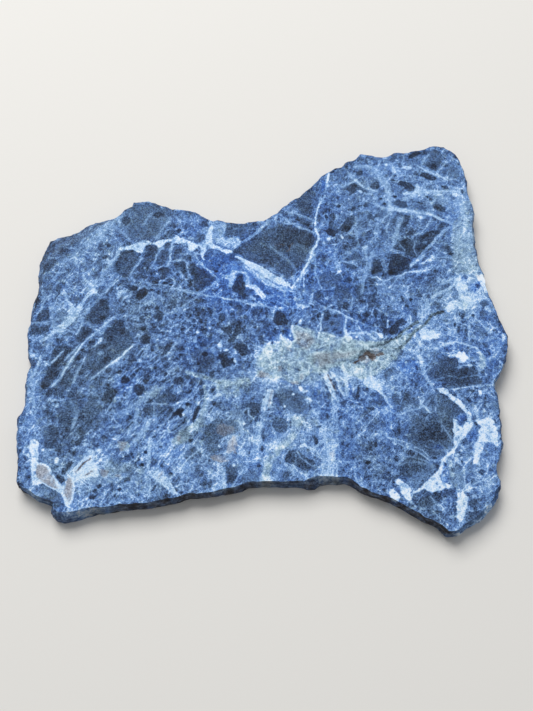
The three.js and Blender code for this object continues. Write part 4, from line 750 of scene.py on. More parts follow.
    (0.7, 0.4, [(13.6, -28), (14.6, -26.4), (16, -25)]),
    (0.66, 0.35, [(14, -28.4), (15, -31)]),
    (0.6, 0.35, [(18.6, -25.4), (19, -27)]),
    (0.85, 0.4, [(19.3, -25.6), (19.3, -26.6)]),
    (0.62, 0.6, [(28, -17), (30, -19), (31.8, -22.4)]),
    (0.6, 0.4, [(30, -29), (31, -30.3), (34.3, -32.5)]),
    (0.7, 0.35, [(30.5, -30), (36, -31.6)]),
    (0.5, 0.35, [(29.8, -22), (31, -24.4), (31, -27), (32, -29.6)]),
    (0.8, 0.7, [(8.4, -32.4), (9.6, -32), (14, -35)]),
    (0.72, 0.5, [(14.6, -30.4), (13, -32), (11.4, -33)]),
    (0.72, 0.5, [(6.6, -37.2), (7.4, -38.4), (8.6, -39.4), (10, -39.6)]),
    (0.62, 0.6, [(4.6, -37), (6, -38.4), (6.6, -39.8)]),
    (0.64, 0.9, [(14.4, -34), (14.2, -38), (14.6, -40.6)]),
    (0.78, 0.4, [(17.4, -36), (17.2, -39), (17.6, -42)]),
    (0.56, 0.35, [(17.4, -37.6), (20, -36.4), (22, -36.4), (24, -35.6), (26, -35.2)]),
    (0.46, 0.35, [(26, -35.2), (28, -35.4), (33, -36.6)]),
    (0.62, 0.35, [(22.2, -35.6), (21.8, -40), (23.2, -43)]),
    (0.45, 0.25, [(7.1, -34), (7.3, -35.4), (7, -36.8)]),
    (0.7, 0.6, [(42.9, 21.6), (42, 20.5), (38.8, 18.2)]),
    (0.75, 0.32, [(32.6, 11.4), (34.2, 13.6), (37.2, 16), (42, 16.4), (43.8, 16.9), (44.6, 17.6)]),
    (0.8, 0.35, [(33, 14.5), (33.6, 14.8), (36, 15.2)]),
    (0.8, 0.35, [(42, 18.6), (43.6, 19.8)]),
    (0.8, 0.3, [(42.6, 17.4), (43.6, 17.6), (44.4, 18.2)]),
    (0.6, 0.35, [(44.6, 21), (46, 20.5), (48, 20.6), (50, 20.2)]),
    (0.28, 0.45, [(45.4, 20), (47, 20.2), (50, 19.6)]),
    (0.74, 0.8, [(43.8, 8.5), (45, 9.5), (48.5, 11.2), (49.6, 12.2)]),
    (0.34, 0.6, [(41, 1), (45, 4.3)]),
    (0.38, 0.5, [(36, -0.3), (39.5, 1.2), (41, 1)]),
    (0.34, 0.7, [(38.4, -1.6), (37.6, -3), (36.4, -4.4), (34, -6.4)]),
    (0.7, 0.6, [(40.8, 7), (41.2, 5), (41, 3), (40.6, 2)]),
    (0.7, 0.9, [(42.4, 8), (42.4, 5.6)]),
    (0.7, 0.4, [(37.6, 3.4), (38, 2), (37.6, 0.8)]),
    (0.62, 0.5, [(53.2, 1), (52.8, -3.6)]),
    (0.55, 0.4, [(55.4, 2), (57.8, -0.6), (59, -1.6)]),
    (0.62, 0.9, [(39.6, -8), (40, -9.4), (40, -11), (40.6, -13), (42.4, -16)]),
    (0.38, 0.35, [(42.8, -14.6), (47, -13.6), (50, -14.2), (53, -13.4), (54.8, -13.4)]),
    (0.8, 0.32, [(47.5, -17.1), (56, -16.1), (58.7, -16.1)]),
    (0.7, 0.6, [(49.6, -11.2), (51.2, -10.6), (52.6, -10.6)]),
    (0.38, 0.3, [(43, -19), (43.8, -23), (44.4, -28)]),
    (0.34, 0.3, [(44, -19.6), (45, -21.4), (45, -24)]),
    (0.5, 0.25, [(44, -26), (45.2, -28), (46.6, -31)]),
    (0.62, 0.3, [(32, -17.8), (34.2, -18.2), (34, -19.6)]),
    (0.75, 0.45, [(38.8, -19.4), (39.4, -21), (41.4, -23.6)]),
    (0.6, 0.4, [(34, -24), (36, -23), (38, -22.6), (39.6, -21.6)]),
    (0.7, 0.6, [(53, -22.6), (53.6, -25.2)]),
    (0.65, 0.3, [(34.8, -32.4), (38, -34), (39.4, -35), (40.6, -36.2)]),
    (0.55, 0.25, [(35, -32), (39, -33.4), (40.4, -35)]),
    (0.46, 0.25, [(42, -33.6), (46, -33)]),
    (0.5, 0.6, [(35, -32.4), (33, -36.8)]),
    (0.45, 0.25, [(33.8, -36.8), (36, -36.4), (38, -36.4), (39.6, -37)]),
    (0.5, 0.2, [(34, -35), (37, -35.2), (39.4, -36), (41, -37.4)]),
    (0.64, 0.35, [(31, -39.2), (30.3, -43.4)]),
    (0.65, 0.4, [(49, -37.8), (48.9, -42.8)]),
    (0.72, 0.4, [(49.5, -43.5), (51, -42), (55.2, -40.2)]),
    (0.65, 0.3, [(50, -45.2), (52, -44.6), (54.5, -44.2), (56.5, -43)]),
    (0.6, 0.25, [(40.2, -45), (41.2, -46.6), (43.8, -49)]),
    (0.68, 0.35, [(38, -48.4), (40, -48.2), (42.2, -50.6)]),
    (0.52, 0.25, [(40.2, -48), (45, -45)]),
    (0.55, 0.3, [(43, -49.2), (45, -49.4)]),
    (0.56, 0.35, [(42.2, -52), (43.4, -54)]),
    (0.55, 0.4, [(52, -43), (56, -41.6)]),
    (0.6, 0.35, [(22.9, 46.7), (24.8, 44.6)]),
    (0.62, 0.4, [(19.4, 43.2), (20.2, 41.6)]),
    (0.75, 0.8, [(16.6, -12.6), (18, -14.4), (18.8, -17), (20, -19.4)]),
    (0.75, 1, [(19.6, -11), (20.4, -13), (20.4, -16), (20.6, -19)]),
    (0.66, 0.4, [(-1.5, -25.8), (-1.3, -26.8), (-1.9, -28), (-2, -31), (-2.1, -33)]),
    (0.78, 0.35, [(17.5, -25), (16.6, -28), (16.4, -31), (17, -34), (17.4, -38), (17.6, -41)]),
    (0.78, 0.35, [(15.6, -26), (14.6, -28.4), (15, -31), (15.6, -34), (15.4, -38), (14.6, -41)]),
    (0.76, 0.3, [(16.6, -31), (16, -35), (15.8, -38.4), (16.3, -40.8)]),
    (0.7, 0.3, [(13.4, -41), (14, -37), (14.4, -32.6)]),
    (0.6, 0.3, [(19, 18.4), (20.4, 19.2), (23, 18.8), (24.4, 18), (25.6, 16.8)]),
    (0.58, 0.3, [(19, 23), (17.4, 20.4), (16.2, 18.6)]),
    (0.6, 0.3, [(20.4, 14), (19.4, 16.2), (18.4, 18.6), (20.6, 21.4), (24, 23.4)]),
    (0.56, 0.3, [(26.6, 22.6), (27, 19.4), (26.6, 17)]),
    (0.6, 0.3, [(24.4, 33), (24.6, 28), (24.8, 24)]),
    (0.58, 0.3, [(28, 24.6), (30, 28), (30.6, 31)]),
    (0.56, 0.3, [(33.6, 22.6), (35.6, 26.6), (35.4, 29)]),
    (0.5, 0.25, [(38.4, 26.6), (41, 25), (43.6, 25.2)]),
    (0.5, 0.25, [(40.6, 21), (39.6, 23.6), (41, 27.4)]),
    (0.55, 0.25, [(37.4, 22.6), (36, 24.6)]),
    (0.6, 0.3, [(7.6, -33.6), (8.6, -35.4), (11.4, -37.6)]),
]

# Broad brushed bands of fine strands: tone, width, path.
BRUSHES = [
    (0.86, 0.7, [(-8.4, 20.7), (-6.1, 19.7), (-3.8, 18.6), (-1.5, 17.2), (0.5, 15.9), (3, 14.3),
        (5, 12.9), (6.8, 11.4)]),
    (0.7, 1.8, [(-5.6, 17.6), (-3, 15.4), (0, 13), (3, 11.4), (6.6, 10.4)]),
    (0.9, 1.1, [(-5.2, 12.1), (-3.1, 11.9), (-1.9, 10.5), (-0.7, 8.8)]),
    (0.7, 1.8, [(-8.6, 15.8), (-9.4, 14), (-10, 12.4)]),
    (0.72, 1.1, [(-5.6, 15.8), (-5, 14.2), (-4.8, 12.8)]),
    (0.8, 0.8, [(-9.4, 15.4), (-8, 16.1), (-6, 15.8)]),
    (0.6, 1.4, [(25, 49), (27.4, 49), (30, 48.4), (32, 46.4)]),
    (0.62, 1.4, [(31.8, 46.6), (33.6, 43), (34, 40), (34, 35.4)]),
]

# Pale patches: tone, outline.
PATCHES = [
    (0.76, [(-8.6, 20.8), (-6, 19.9), (-3.8, 18.9), (-1.5, 17.6), (0.8, 16.2), (3, 14.8), (5, 13.6),
        (6.2, 12.8), (6.4, 12), (5, 11.8), (3.4, 12.4), (1.6, 13.2), (0, 14.4), (-2, 15.8), (-4, 17.4),
        (-5.6, 18.6), (-7, 19.6)]),
    (0.88, [(-40, 23.6), (-37, 24.2), (-33.4, 25.6), (-32, 25.6), (-31, 25), (-28, 26), (-26, 26),
        (-24.8, 27.3), (-24, 27.1), (-23, 26.2), (-17.4, 24), (-16.8, 25), (-16.7, 27), (-15, 31),
        (-14.6, 30), (-15, 25), (-12, 23.2), (-9.2, 22.6), (-9.4, 22), (-10.8, 21.6), (-14, 23),
        (-15.6, 23.2), (-16.6, 22), (-17, 20.6), (-16.4, 19.8), (-17.2, 19.9), (-17.8, 21.4),
        (-17.8, 22.6), (-18.6, 24), (-19.4, 22.6), (-20.2, 22), (-21.2, 23.2), (-21.4, 24.8),
        (-25.6, 24.8), (-26.4, 25.2), (-27.6, 24.9), (-29, 23.2), (-30, 24.2), (-31.2, 24.6), (-32.6, 24),
        (-34, 21.8), (-36.6, 22.9), (-40, 22.8)]),
    (0.58, [(-14.8, 31), (-12.6, 31.6), (-10.8, 31), (-12, 27), (-14, 26.4)]),
    (0.68, [(-13, 26), (-10, 26.5), (-7.4, 26.4), (-6.2, 25.4), (-8, 23.4), (-9.6, 22.9), (-13.6, 25)]),
    (0.7, [(-52.4, 5.6), (-51, 5.8), (-48.6, 7), (-48.8, 5), (-49.6, 3.2), (-50.8, 1.6), (-53.4, -1),
        (-56.4, -1.6), (-55.8, 0), (-53.4, 1.4), (-52.4, 3)]),
    (0.68, [(-40.2, 10), (-39, 10.8), (-37.6, 10.6), (-37, 11.6), (-37.4, 10), (-39.4, 8.2)]),
    (0.88, [(16.1, 26.3), (17.6, 26.9), (17.2, 25.7), (16.2, 25.8)]),
    (0.87, [(20, 27.3), (20.4, 26.2), (21.2, 26.6), (20.4, 27.6)]),
    (0.84, [(-59.2, -31), (-58.4, -30.6), (-57.3, -30.8), (-56.8, -35), (-57, -36.4), (-54.8, -36.8),
        (-54, -37.6), (-51.8, -41.4), (-50.8, -42.4), (-50.2, -42.4), (-49.2, -39.8), (-47, -36.6),
        (-44.4, -33.6), (-43.4, -33.2), (-42.8, -34.6), (-43, -36.4), (-42, -38), (-41.4, -39.8),
        (-43, -40.4), (-45, -40.4), (-46.6, -40.8), (-47.4, -41.6), (-47.6, -46.4), (-48.4, -47.9),
        (-49.4, -47.4), (-50.4, -44.4), (-55.6, -42), (-57.6, -42.4), (-58.6, -39), (-58.6, -35),
        (-59.4, -33.4)]),
    (0.88, [(-53, -35.6), (-52.2, -35.2), (-51.6, -36), (-52, -37), (-52.8, -36.8)]),
    (0.74, [(-46.6, -31.6), (-45, -31.2), (-44.2, -31.9), (-45.4, -32.2)]),
    (0.88, [(-4.8, 12), (-3.6, 12), (-2.6, 11.4), (-0.5, 7.8), (-1.2, 8), (-3.4, 11), (-4.6, 11.4)]),
    (0.75, [(-4.2, 6.2), (-4, 7), (-3, 7.4), (-2.2, 6.8), (-3.4, 6)]),
    (0.72, [(0, -17), (1.2, -16.8), (1.6, -18), (1, -22), (-0.6, -23.6), (-1.6, -23), (-1.2, -21),
        (-0.4, -19.4)]),
    (0.72, [(-2.8, -26), (-2, -25.6), (-1.2, -26.2), (-1.4, -27.2), (-2.4, -27.2)]),
    (0.7, [(-30, -38.4), (-26, -38.8), (-25, -39.4), (-24.4, -41), (-21.6, -44.6), (-23, -44.8),
        (-29, -40)]),
    (0.8, [(7.6, 6.8), (9, 6.8), (11.2, 5.8), (9.4, 5.2)]),
    (0.83, [(20.2, -1), (21, 0), (21.2, -1.6), (22.4, -3), (21.4, -4), (20.2, -3)]),
    (0.83, [(29, -1.4), (30.4, -1.4), (30.6, -3), (29.2, -3.2)]),
    (0.84, [(8, -16.4), (8.6, -16.2), (9.2, -17), (8.4, -17.8)]),
    (0.78, [(9.8, -19.6), (11, -19.4), (11.2, -20.2), (10.2, -20.8)]),
    (0.78, [(14.6, -12), (15.6, -12), (16.8, -16.6), (18.2, -20), (17, -19.6), (16, -18), (14.6, -14)]),
    (0.78, [(24.4, -14.8), (26.6, -14.2), (29, -15), (29.6, -17), (29.8, -18.8), (27, -16.8),
        (25, -16.4)]),
    (0.89, [(31.7, -41), (32.6, -40.6), (33.6, -41.6), (34.6, -42), (35.4, -43), (35.6, -46), (34.2, -46),
        (32.8, -43.8), (33, -42.8)]),
    (0.89, [(30.4, -43.4), (31.2, -43), (32.8, -45), (32, -46.6), (30.4, -45.8), (30.1, -44.6)]),
    (0.84, [(50, 14), (52, 15), (51.4, 13), (53, 12.4), (53.6, 11), (52, 10.4), (52, 8.6), (54, 8.6),
        (55, 8), (54.4, 6), (52, 5), (50, 5.4), (48, 4.4), (47, 5.4), (48, 7), (49.4, 8), (50.6, 8),
        (51, 10), (49.8, 12.4)]),
    (0.84, [(56.4, 14), (57.4, 15.6), (58.4, 15.2), (59.2, 10), (58, 10)]),
    (0.76, [(40, -1), (42, -0.4), (44, -1), (45, -3), (42, -3.6), (40, -3)]),
    (0.84, [(61.2, -1.8), (61.9, -1.6), (62.4, -3.4), (61.6, -4.2)]),
    (0.87, [(48.4, -8), (50.6, -7.4), (51.2, -6.6), (51.8, -7), (52.2, -8.6), (51.4, -9.8), (49.4, -9.8),
        (49.6, -8.6)]),
    (0.84, [(47, -8), (48.2, -7.6), (49.6, -7.7), (49, -8.2), (47.4, -8.4)]),
    (0.86, [(43.2, -17), (45, -16.8), (46.4, -17.2), (47, -18.4), (49, -19.6), (51.8, -24), (52.4, -26.6),
        (51.6, -28), (50.6, -28.6), (50.8, -25.4), (50.4, -23.8), (49.6, -22.4), (45.6, -18.4),
        (44, -18)]),
    (0.88, [(47.2, -25), (48, -25.2), (48.2, -26.8), (49.4, -27.4), (50.2, -25.8), (50.8, -26),
        (51.2, -28), (49.2, -30), (46.8, -33.8), (45.2, -35.2), (42.8, -40), (43.5, -41.8), (45, -42),
        (46.2, -43), (44, -42.8), (42.4, -44), (40, -44), (38.8, -43.2), (36, -44.5), (36, -44),
        (38, -42.8), (41.5, -39.5), (42.8, -38), (44, -35.5), (46.8, -32.2)]),
    (0.88, [(53, -25.6), (56, -24.8), (57.4, -25.6), (57.4, -27), (58, -28), (58, -32.4), (57, -31.4),
        (55.6, -31), (54.6, -31.8), (53.4, -34), (52.6, -36.8), (51.2, -37), (51.6, -35.4), (51.2, -34),
        (51.6, -32.6), (53.4, -29.6), (53.4, -28.4), (54.4, -27.2), (53.4, -26.4)]),
    (0.86, [(54, -17.2), (55, -17.4), (54.8, -19), (54, -19)]),
    (0.87, [(47, -44.2), (48.4, -44), (49.6, -45), (48.2, -50), (46.8, -52.6), (46.6, -51), (46, -50),
        (46.8, -47)]),
    (0.8, [(11.6, -6.8), (13.6, -7), (15, -6.6), (14.6, -7.4), (12.4, -7.8)]),
    (0.8, [(18, -6.1), (20, -6.7), (20.6, -7.2), (18.4, -7)]),
    (0.8, [(25.6, -8), (26.4, -8.6), (26, -9.6), (24.6, -9.8)]),
    (0.86, [(28.6, -9.4), (30.4, -9.4), (29.6, -10.2)]),
]

# White spots: x, y, length, width, angle, tone.
PALE_SPOTS = [
    (42.7, 6.3, 1, 2, 0, 0.75), (50.6, -35.5, 0.8, 1, 0, 0.75), (9, -32, 1.2, 0.8, 0, 0.8),
    (-10.5, -6.3, 1.2, 0.9, 0, 0.88), (-18.2, -1.6, 1, 0.8, 0, 0.85), (-21.3, 14, 1, 0.6, 0, 0.75),
    (-46.2, 10.4, 1.9, 1.7, 0, 0.84), (-53.3, 8.2, 1, 1, 0, 0.75), (-57, 5.6, 1.6, 1.2, 0, 0.58),
    (-43.4, -3.8, 2.2, 1, 60, 0.8), (-43.2, -7.4, 2, 1.4, 0, 0.42), (-36.6, 7.6, 1.2, 1, 0, 0.7),
    (-34, 11.2, 1.4, 0.6, 50, 0.8), (24.9, 44.4, 1.4, 1.1, 0, 0.8), (42.2, 33, 1.6, 0.7, 0, 0.8),
    (41.6, 41, 1.8, 1.4, 0, 0.8), (47.4, 40, 2.6, 1, 0, 0.72), (52, 40, 1.4, 1.4, 0, 0.72),
    (47.4, 46.4, 1.2, 0.8, 0, 0.72), (33.6, 49.8, 1.4, 0.8, 0, 0.68), (35.6, 47.6, 1.2, 2, 0, 0.76),
    (37, 47.4, 0.9, 0.9, 0, 0.7), (39.4, 48.6, 2.6, 1.2, 0, 0.8), (36.6, 51, 0.8, 0.8, 0, 0.66),
    (25.8, 41, 1.4, 0.9, 0, 0.72), (27.8, 40.2, 2, 1.2, 0, 0.6), (30.6, 41, 1.2, 0.8, 0, 0.6),
    (15.6, 24.7, 1, 0.5, 0, 0.85), (18.4, 24.5, 1.7, 0.6, 0, 0.85), (19.3, 16.2, 1.9, 1, 40, 0.92),
    (19.4, 18.8, 0.8, 0.6, 0, 0.75), (26.7, 23.5, 1.6, 1.4, 0, 0.7), (-1, 29.9, 1, 0.6, 50, 0.85),
    (-19.6, 12.6, 0.5, 1.8, 0, 0.5), (-25.2, 14.2, 1, 0.6, 0, 0.65), (-32.8, 17.4, 0.8, 0.8, 0, 0.5),
    (50.4, 23.7, 1, 0.7, 0, 0.8), (48.3, 21.8, 1, 0.6, 0, 0.8), (42, 18.8, 1, 0.6, 40, 0.85),
    (43.9, 19.5, 1, 0.6, 40, 0.8), (-3.2, -5.6, 1, 1, 0, 0.5), (-56, -33.2, 0.8, 0.9, 0, 0.95),
    (-53.5, -21.6, 1.6, 1.4, 0, 0.56), (-40, -9.9, 1.6, 0.9, 40, 0.85), (-29.6, -11.4, 0.9, 0.9, 0, 0.7),
    (-28.2, -17, 2, 1.2, 20, 0.62), (-44.8, -33.2, 1.4, 0.8, 0, 0.75), (-42, -33.4, 1.6, 1.2, 0, 0.8),
    (-12.2, -5, 1.5, 1.4, 0, 0.82), (-14, -6.5, 0.8, 1.8, 0, 0.6), (-18.8, -3.6, 0.8, 2.2, 0, 0.62),
    (-8.2, -9.2, 0.7, 1.3, 0, 0.82), (-6.4, -3.2, 1.2, 2, 30, 0.5), (-7.4, -2.6, 0.9, 0.9, 0, 0.55),
    (-30.2, -32.6, 0.7, 0.9, 0, 0.8), (-28.8, -31.2, 0.8, 1, 0, 0.8), (-11.9, -32.3, 0.8, 1, 0, 0.8),
    (-5.8, -26.2, 1, 0.9, 0, 0.75), (-8.2, -37.2, 1, 0.8, 0, 0.78), (-26.8, -16.8, 2, 0.9, 20, 0.6),
    (6.4, 8.2, 0.9, 0.6, 0, 0.9), (15.8, 8.4, 1.4, 0.9, 0, 0.72), (23.4, -2.8, 0.6, 0.6, 0, 0.9),
    (2.7, -0.1, 0.8, 0.5, 0, 0.75), (17.6, 4.2, 0.7, 0.8, 0, 0.7), (8.8, 1.6, 1, 1.6, 0, 0.74),
    (6.6, -18.6, 0.7, 0.9, 0, 0.8), (4.6, -21.8, 0.6, 1, 20, 0.78), (31.9, -31.4, 1, 0.6, -30, 0.9),
    (31.5, -27.2, 0.45, 1.1, 0, 0.88), (40.5, 19.5, 0.9, 0.6, 40, 0.92), (36.1, -10, 0.8, 0.8, 0, 0.7),
    (40.1, -9.7, 1, 0.8, 0, 0.82), (52.6, -10.8, 1.4, 0.9, 0, 0.68), (47.5, -34.6, 1, 0.9, 0, 0.8),
    (48.7, -33.4, 0.7, 0.6, 0, 0.85), (43.8, -39.8, 0.7, 0.8, 0, 0.75), (46.3, -54.4, 1.3, 0.9, 20, 0.82),
    (56.2, -21.6, 1, 1.4, 0, 0.58), (50, -7.2, 1, 0.8, 0, 0.85), (44.2, -6, 1.6, 1, 0, 0.6),
    (-43.4, -23.6, 0.8, 0.6, 0, 0.5), (17.1, 45.4, 0.6, 1.6, 8, 0.9), (26, 40.8, 1, 0.9, 0, 0.74),
    (28.2, 40.2, 1.7, 1.3, 0, 0.63), (20.2, 41.5, 0.6, 0.7, 0, 0.62), (24.8, 44.5, 1.3, 1, 0, 0.84),
    (-39.2, -36.6, 1.4, 1, 0, 0.6),
]

# Small tinted strokes: layer, strength, tone, width, path.
STROKES = [
    ("sage", 0.5, 0.6, 1.1, [(-20.5, -12.6), (-18, -13.2), (-15, -14.2), (-12, -15.4), (-8, -15.6),
        (-4.6, -14.6)]),
    ("sage", 0.5, 0.64, 0.9, [(-16, -16.5), (-15.6, -19), (-16, -22.5), (-17.2, -25.4), (-18.6, -27),
        (-20, -28.2)]),
    ("umber", 0.5, 0.5, 0.6, [(-8.2, -29.8), (-8.5, -32), (-8, -34)]),
    ("umber", 0.5, 0.5, 0.5, [(-13.6, -35.4), (-11.4, -36.3), (-9.6, -36)]),
    ("umber", 0.6, 0.02, 0.35, [(5.4, 22.4), (6.1, 23), (6.4, 24.3), (7.1, 24.8)]),
    ("umber", 0.4, 0.04, 0.3, [(2.2, 24.3), (4.8, 24.5)]),
    ("sage", 0.8, 0.08, 0.7, [(26.9, -5.6), (30.4, -4.7), (32.7, -3.5), (35, -2.3), (36, -0.9), (38, 0.5),
        (39.7, 1.6)]),
    ("sage", 0.8, 0.1, 0.7, [(34.6, -5.8), (37.1, -3.3), (38.7, -1.2), (41.3, 0.7), (42.2, 1.9),
        (43.6, 3.5), (45, 4), (46.4, 4.5)]),
    ("umber", 0.8, 0.3, 0.35, [(15.7, -13), (16.4, -14.9), (17.1, -16.5), (17.6, -17.4)]),
    ("umber", 0.9, 0.25, 0.4, [(-47.2, -38.8), (-45.6, -36.9), (-44, -35.5)]),
    ("umber", 0.8, 0.3, 0.4, [(-44.7, -39.7), (-43.3, -38.8)]),
    ("sage", 0.8, 0.3, 0.35, [(28, -4.4), (31, -4.2), (33, -3.6), (35, -2.6)]),
    ("sage", 0.8, 0.3, 0.35, [(27, -5.4), (30, -5.4), (34, -6)]),
    ("sage", 0.3, 0.66, 1.9, [(0, -41.4), (-0.4, -38.6), (1.4, -35), (4, -32), (6.4, -29.6), (8, -27.4)]),
    ("sage", 0.25, 0.62, 2.4, [(8, -25), (10, -26.6), (12, -26)]),
    ("umber", 0.4, 0.6, 0.6, [(1.6, -17.6), (0.8, -19.6), (0.4, -21.6)]),
]

# Small tinted patches: layer, strength, tone, outline.
TINTS = [
    ("sage", 0.6, 0.58, [(-22, -28.5), (-20.5, -28), (-19, -29), (-20, -31), (-22.5, -32.4), (-24, -31)]),
    ("sage", 0.6, 0.6, [(-37, -31), (-35, -31), (-34, -32.4), (-35.4, -33.6), (-37.4, -32.8)]),
    ("umber", 0.85, 0.5, [(-57.2, -37.2), (-55.8, -37), (-54.8, -37.6), (-51.4, -43), (-52.4, -43),
        (-54, -42.4), (-55.6, -41.6), (-57, -40.4), (-57.4, -38.6)]),
    ("umber", 0.85, 0.5, [(-49.4, -40.4), (-48.4, -40.4), (-47.9, -42), (-48, -46), (-48.8, -46.6),
        (-49.9, -44)]),
    ("umber", 0.55, 0.46, [(-41.3, -38), (-39, -38.6), (-39.6, -40), (-40.6, -40.4), (-41.4, -39)]),
    ("umber", 0.55, 0.34, [(-37.6, -39.8), (-36.4, -39.4), (-35.8, -39.8), (-36.6, -40.4),
        (-37.6, -40.2)]),
    ("umber", 0.55, 0.56, [(-37.5, -31), (-35.2, -31.2), (-35.2, -32.6), (-36.6, -33.8)]),
    ("umber", 0.55, 0.5, [(-14, -34.6), (-10.2, -34.8), (-10.2, -36), (-11.4, -36.6), (-13, -36.2),
        (-13.8, -35.4)]),
    ("umber", 0.55, 0.62, [(-9.6, -31), (-8.6, -30), (-7.8, -30), (-7.4, -32), (-8, -33.6), (-9.6, -34.4),
        (-10.2, -34)]),
    ("umber", 0.55, 0.5, [(-27.2, -40.4), (-25.6, -38.6), (-26, -39.8), (-27, -40.8)]),
    ("umber", 0.55, 0.5, [(-22.8, -29.6), (-21.8, -29.4), (-21.4, -30.4), (-22.2, -31.2)]),
    ("umber", 0.55, 0.6, [(56, 15.4), (57, 15.4), (57, 14.2), (56.2, 14.2)]),
    ("umber", 0.55, 0.5, [(6.2, -15.2), (8.2, -15), (8, -16), (6.6, -16)]),
    ("umber", 0.6, 0.68, [(25.2, -8.2), (26.2, -8), (26.8, -9.6), (25.8, -10.2), (25, -9.6)]),
    ("umber", 0.5, 0.62, [(27.2, -6.2), (28.4, -5.6), (29.6, -6.6), (28.4, -7.4), (27.4, -7.2)]),
    # The next three lie in the shallow pit: partly its brown mineral, partly painted shade in the hollow.
    ("umber", 0.95, 0.02, [(22.1, -10.2), (22.8, -9.4), (23.7, -8.9), (24.3, -7.9), (25.1, -7),
        (25.5, -7.8), (25.7, -8.9), (25, -9.4), (24, -9.5), (23.2, -9.8), (22.8, -10.4)]),
    ("umber", 0.95, 0.1, [(25, -7.1), (25.9, -6.2), (26.7, -6.8), (27.3, -7.3), (28.1, -7.2),
        (28.3, -8.2), (28, -9), (27.3, -9.5), (26.7, -9.2), (26.5, -8.3), (26, -7.7), (25.4, -7.6)]),
    ("umber", 0.9, 0.16, [(28.3, -7.5), (29, -7.3), (30.3, -7), (30.5, -7.8), (29.2, -8.3),
        (28.4, -8.2)]),
    ("umber", 0.6, 0.4, [(-1.6, -12.4), (0.4, -12.6), (1.6, -14), (-0.4, -14.2), (-2.6, -13.6)]),
    ("umber", 0.5, 0.46, [(2.8, -11), (3.8, -10.8), (4.2, -12), (3, -12.4)]),
    ("umber", 0.5, 0.5, [(4.4, -5), (5, -5.2), (6.6, -6.8), (6, -7)]),
    ("umber", 0.5, 0.46, [(8.6, -13), (9.6, -13.2), (9.4, -14.6), (8.2, -14.6)]),
    ("umber", 0.5, 0.5, [(15.6, -34), (16.6, -33.4), (17.2, -34.2), (16.6, -35.4)]),
    ("sage", 0.5, 0.62, [(-30, -18.6), (-28.6, -17), (-26.6, -16.6), (-27.6, -18.4), (-29.6, -19.6)]),
    ("umber", 0.45, 0.42, [(-12.6, -27), (-10.6, -26.6), (-8.2, -27.4), (-8.6, -29), (-11, -29.8),
        (-12.4, -29)]),
]
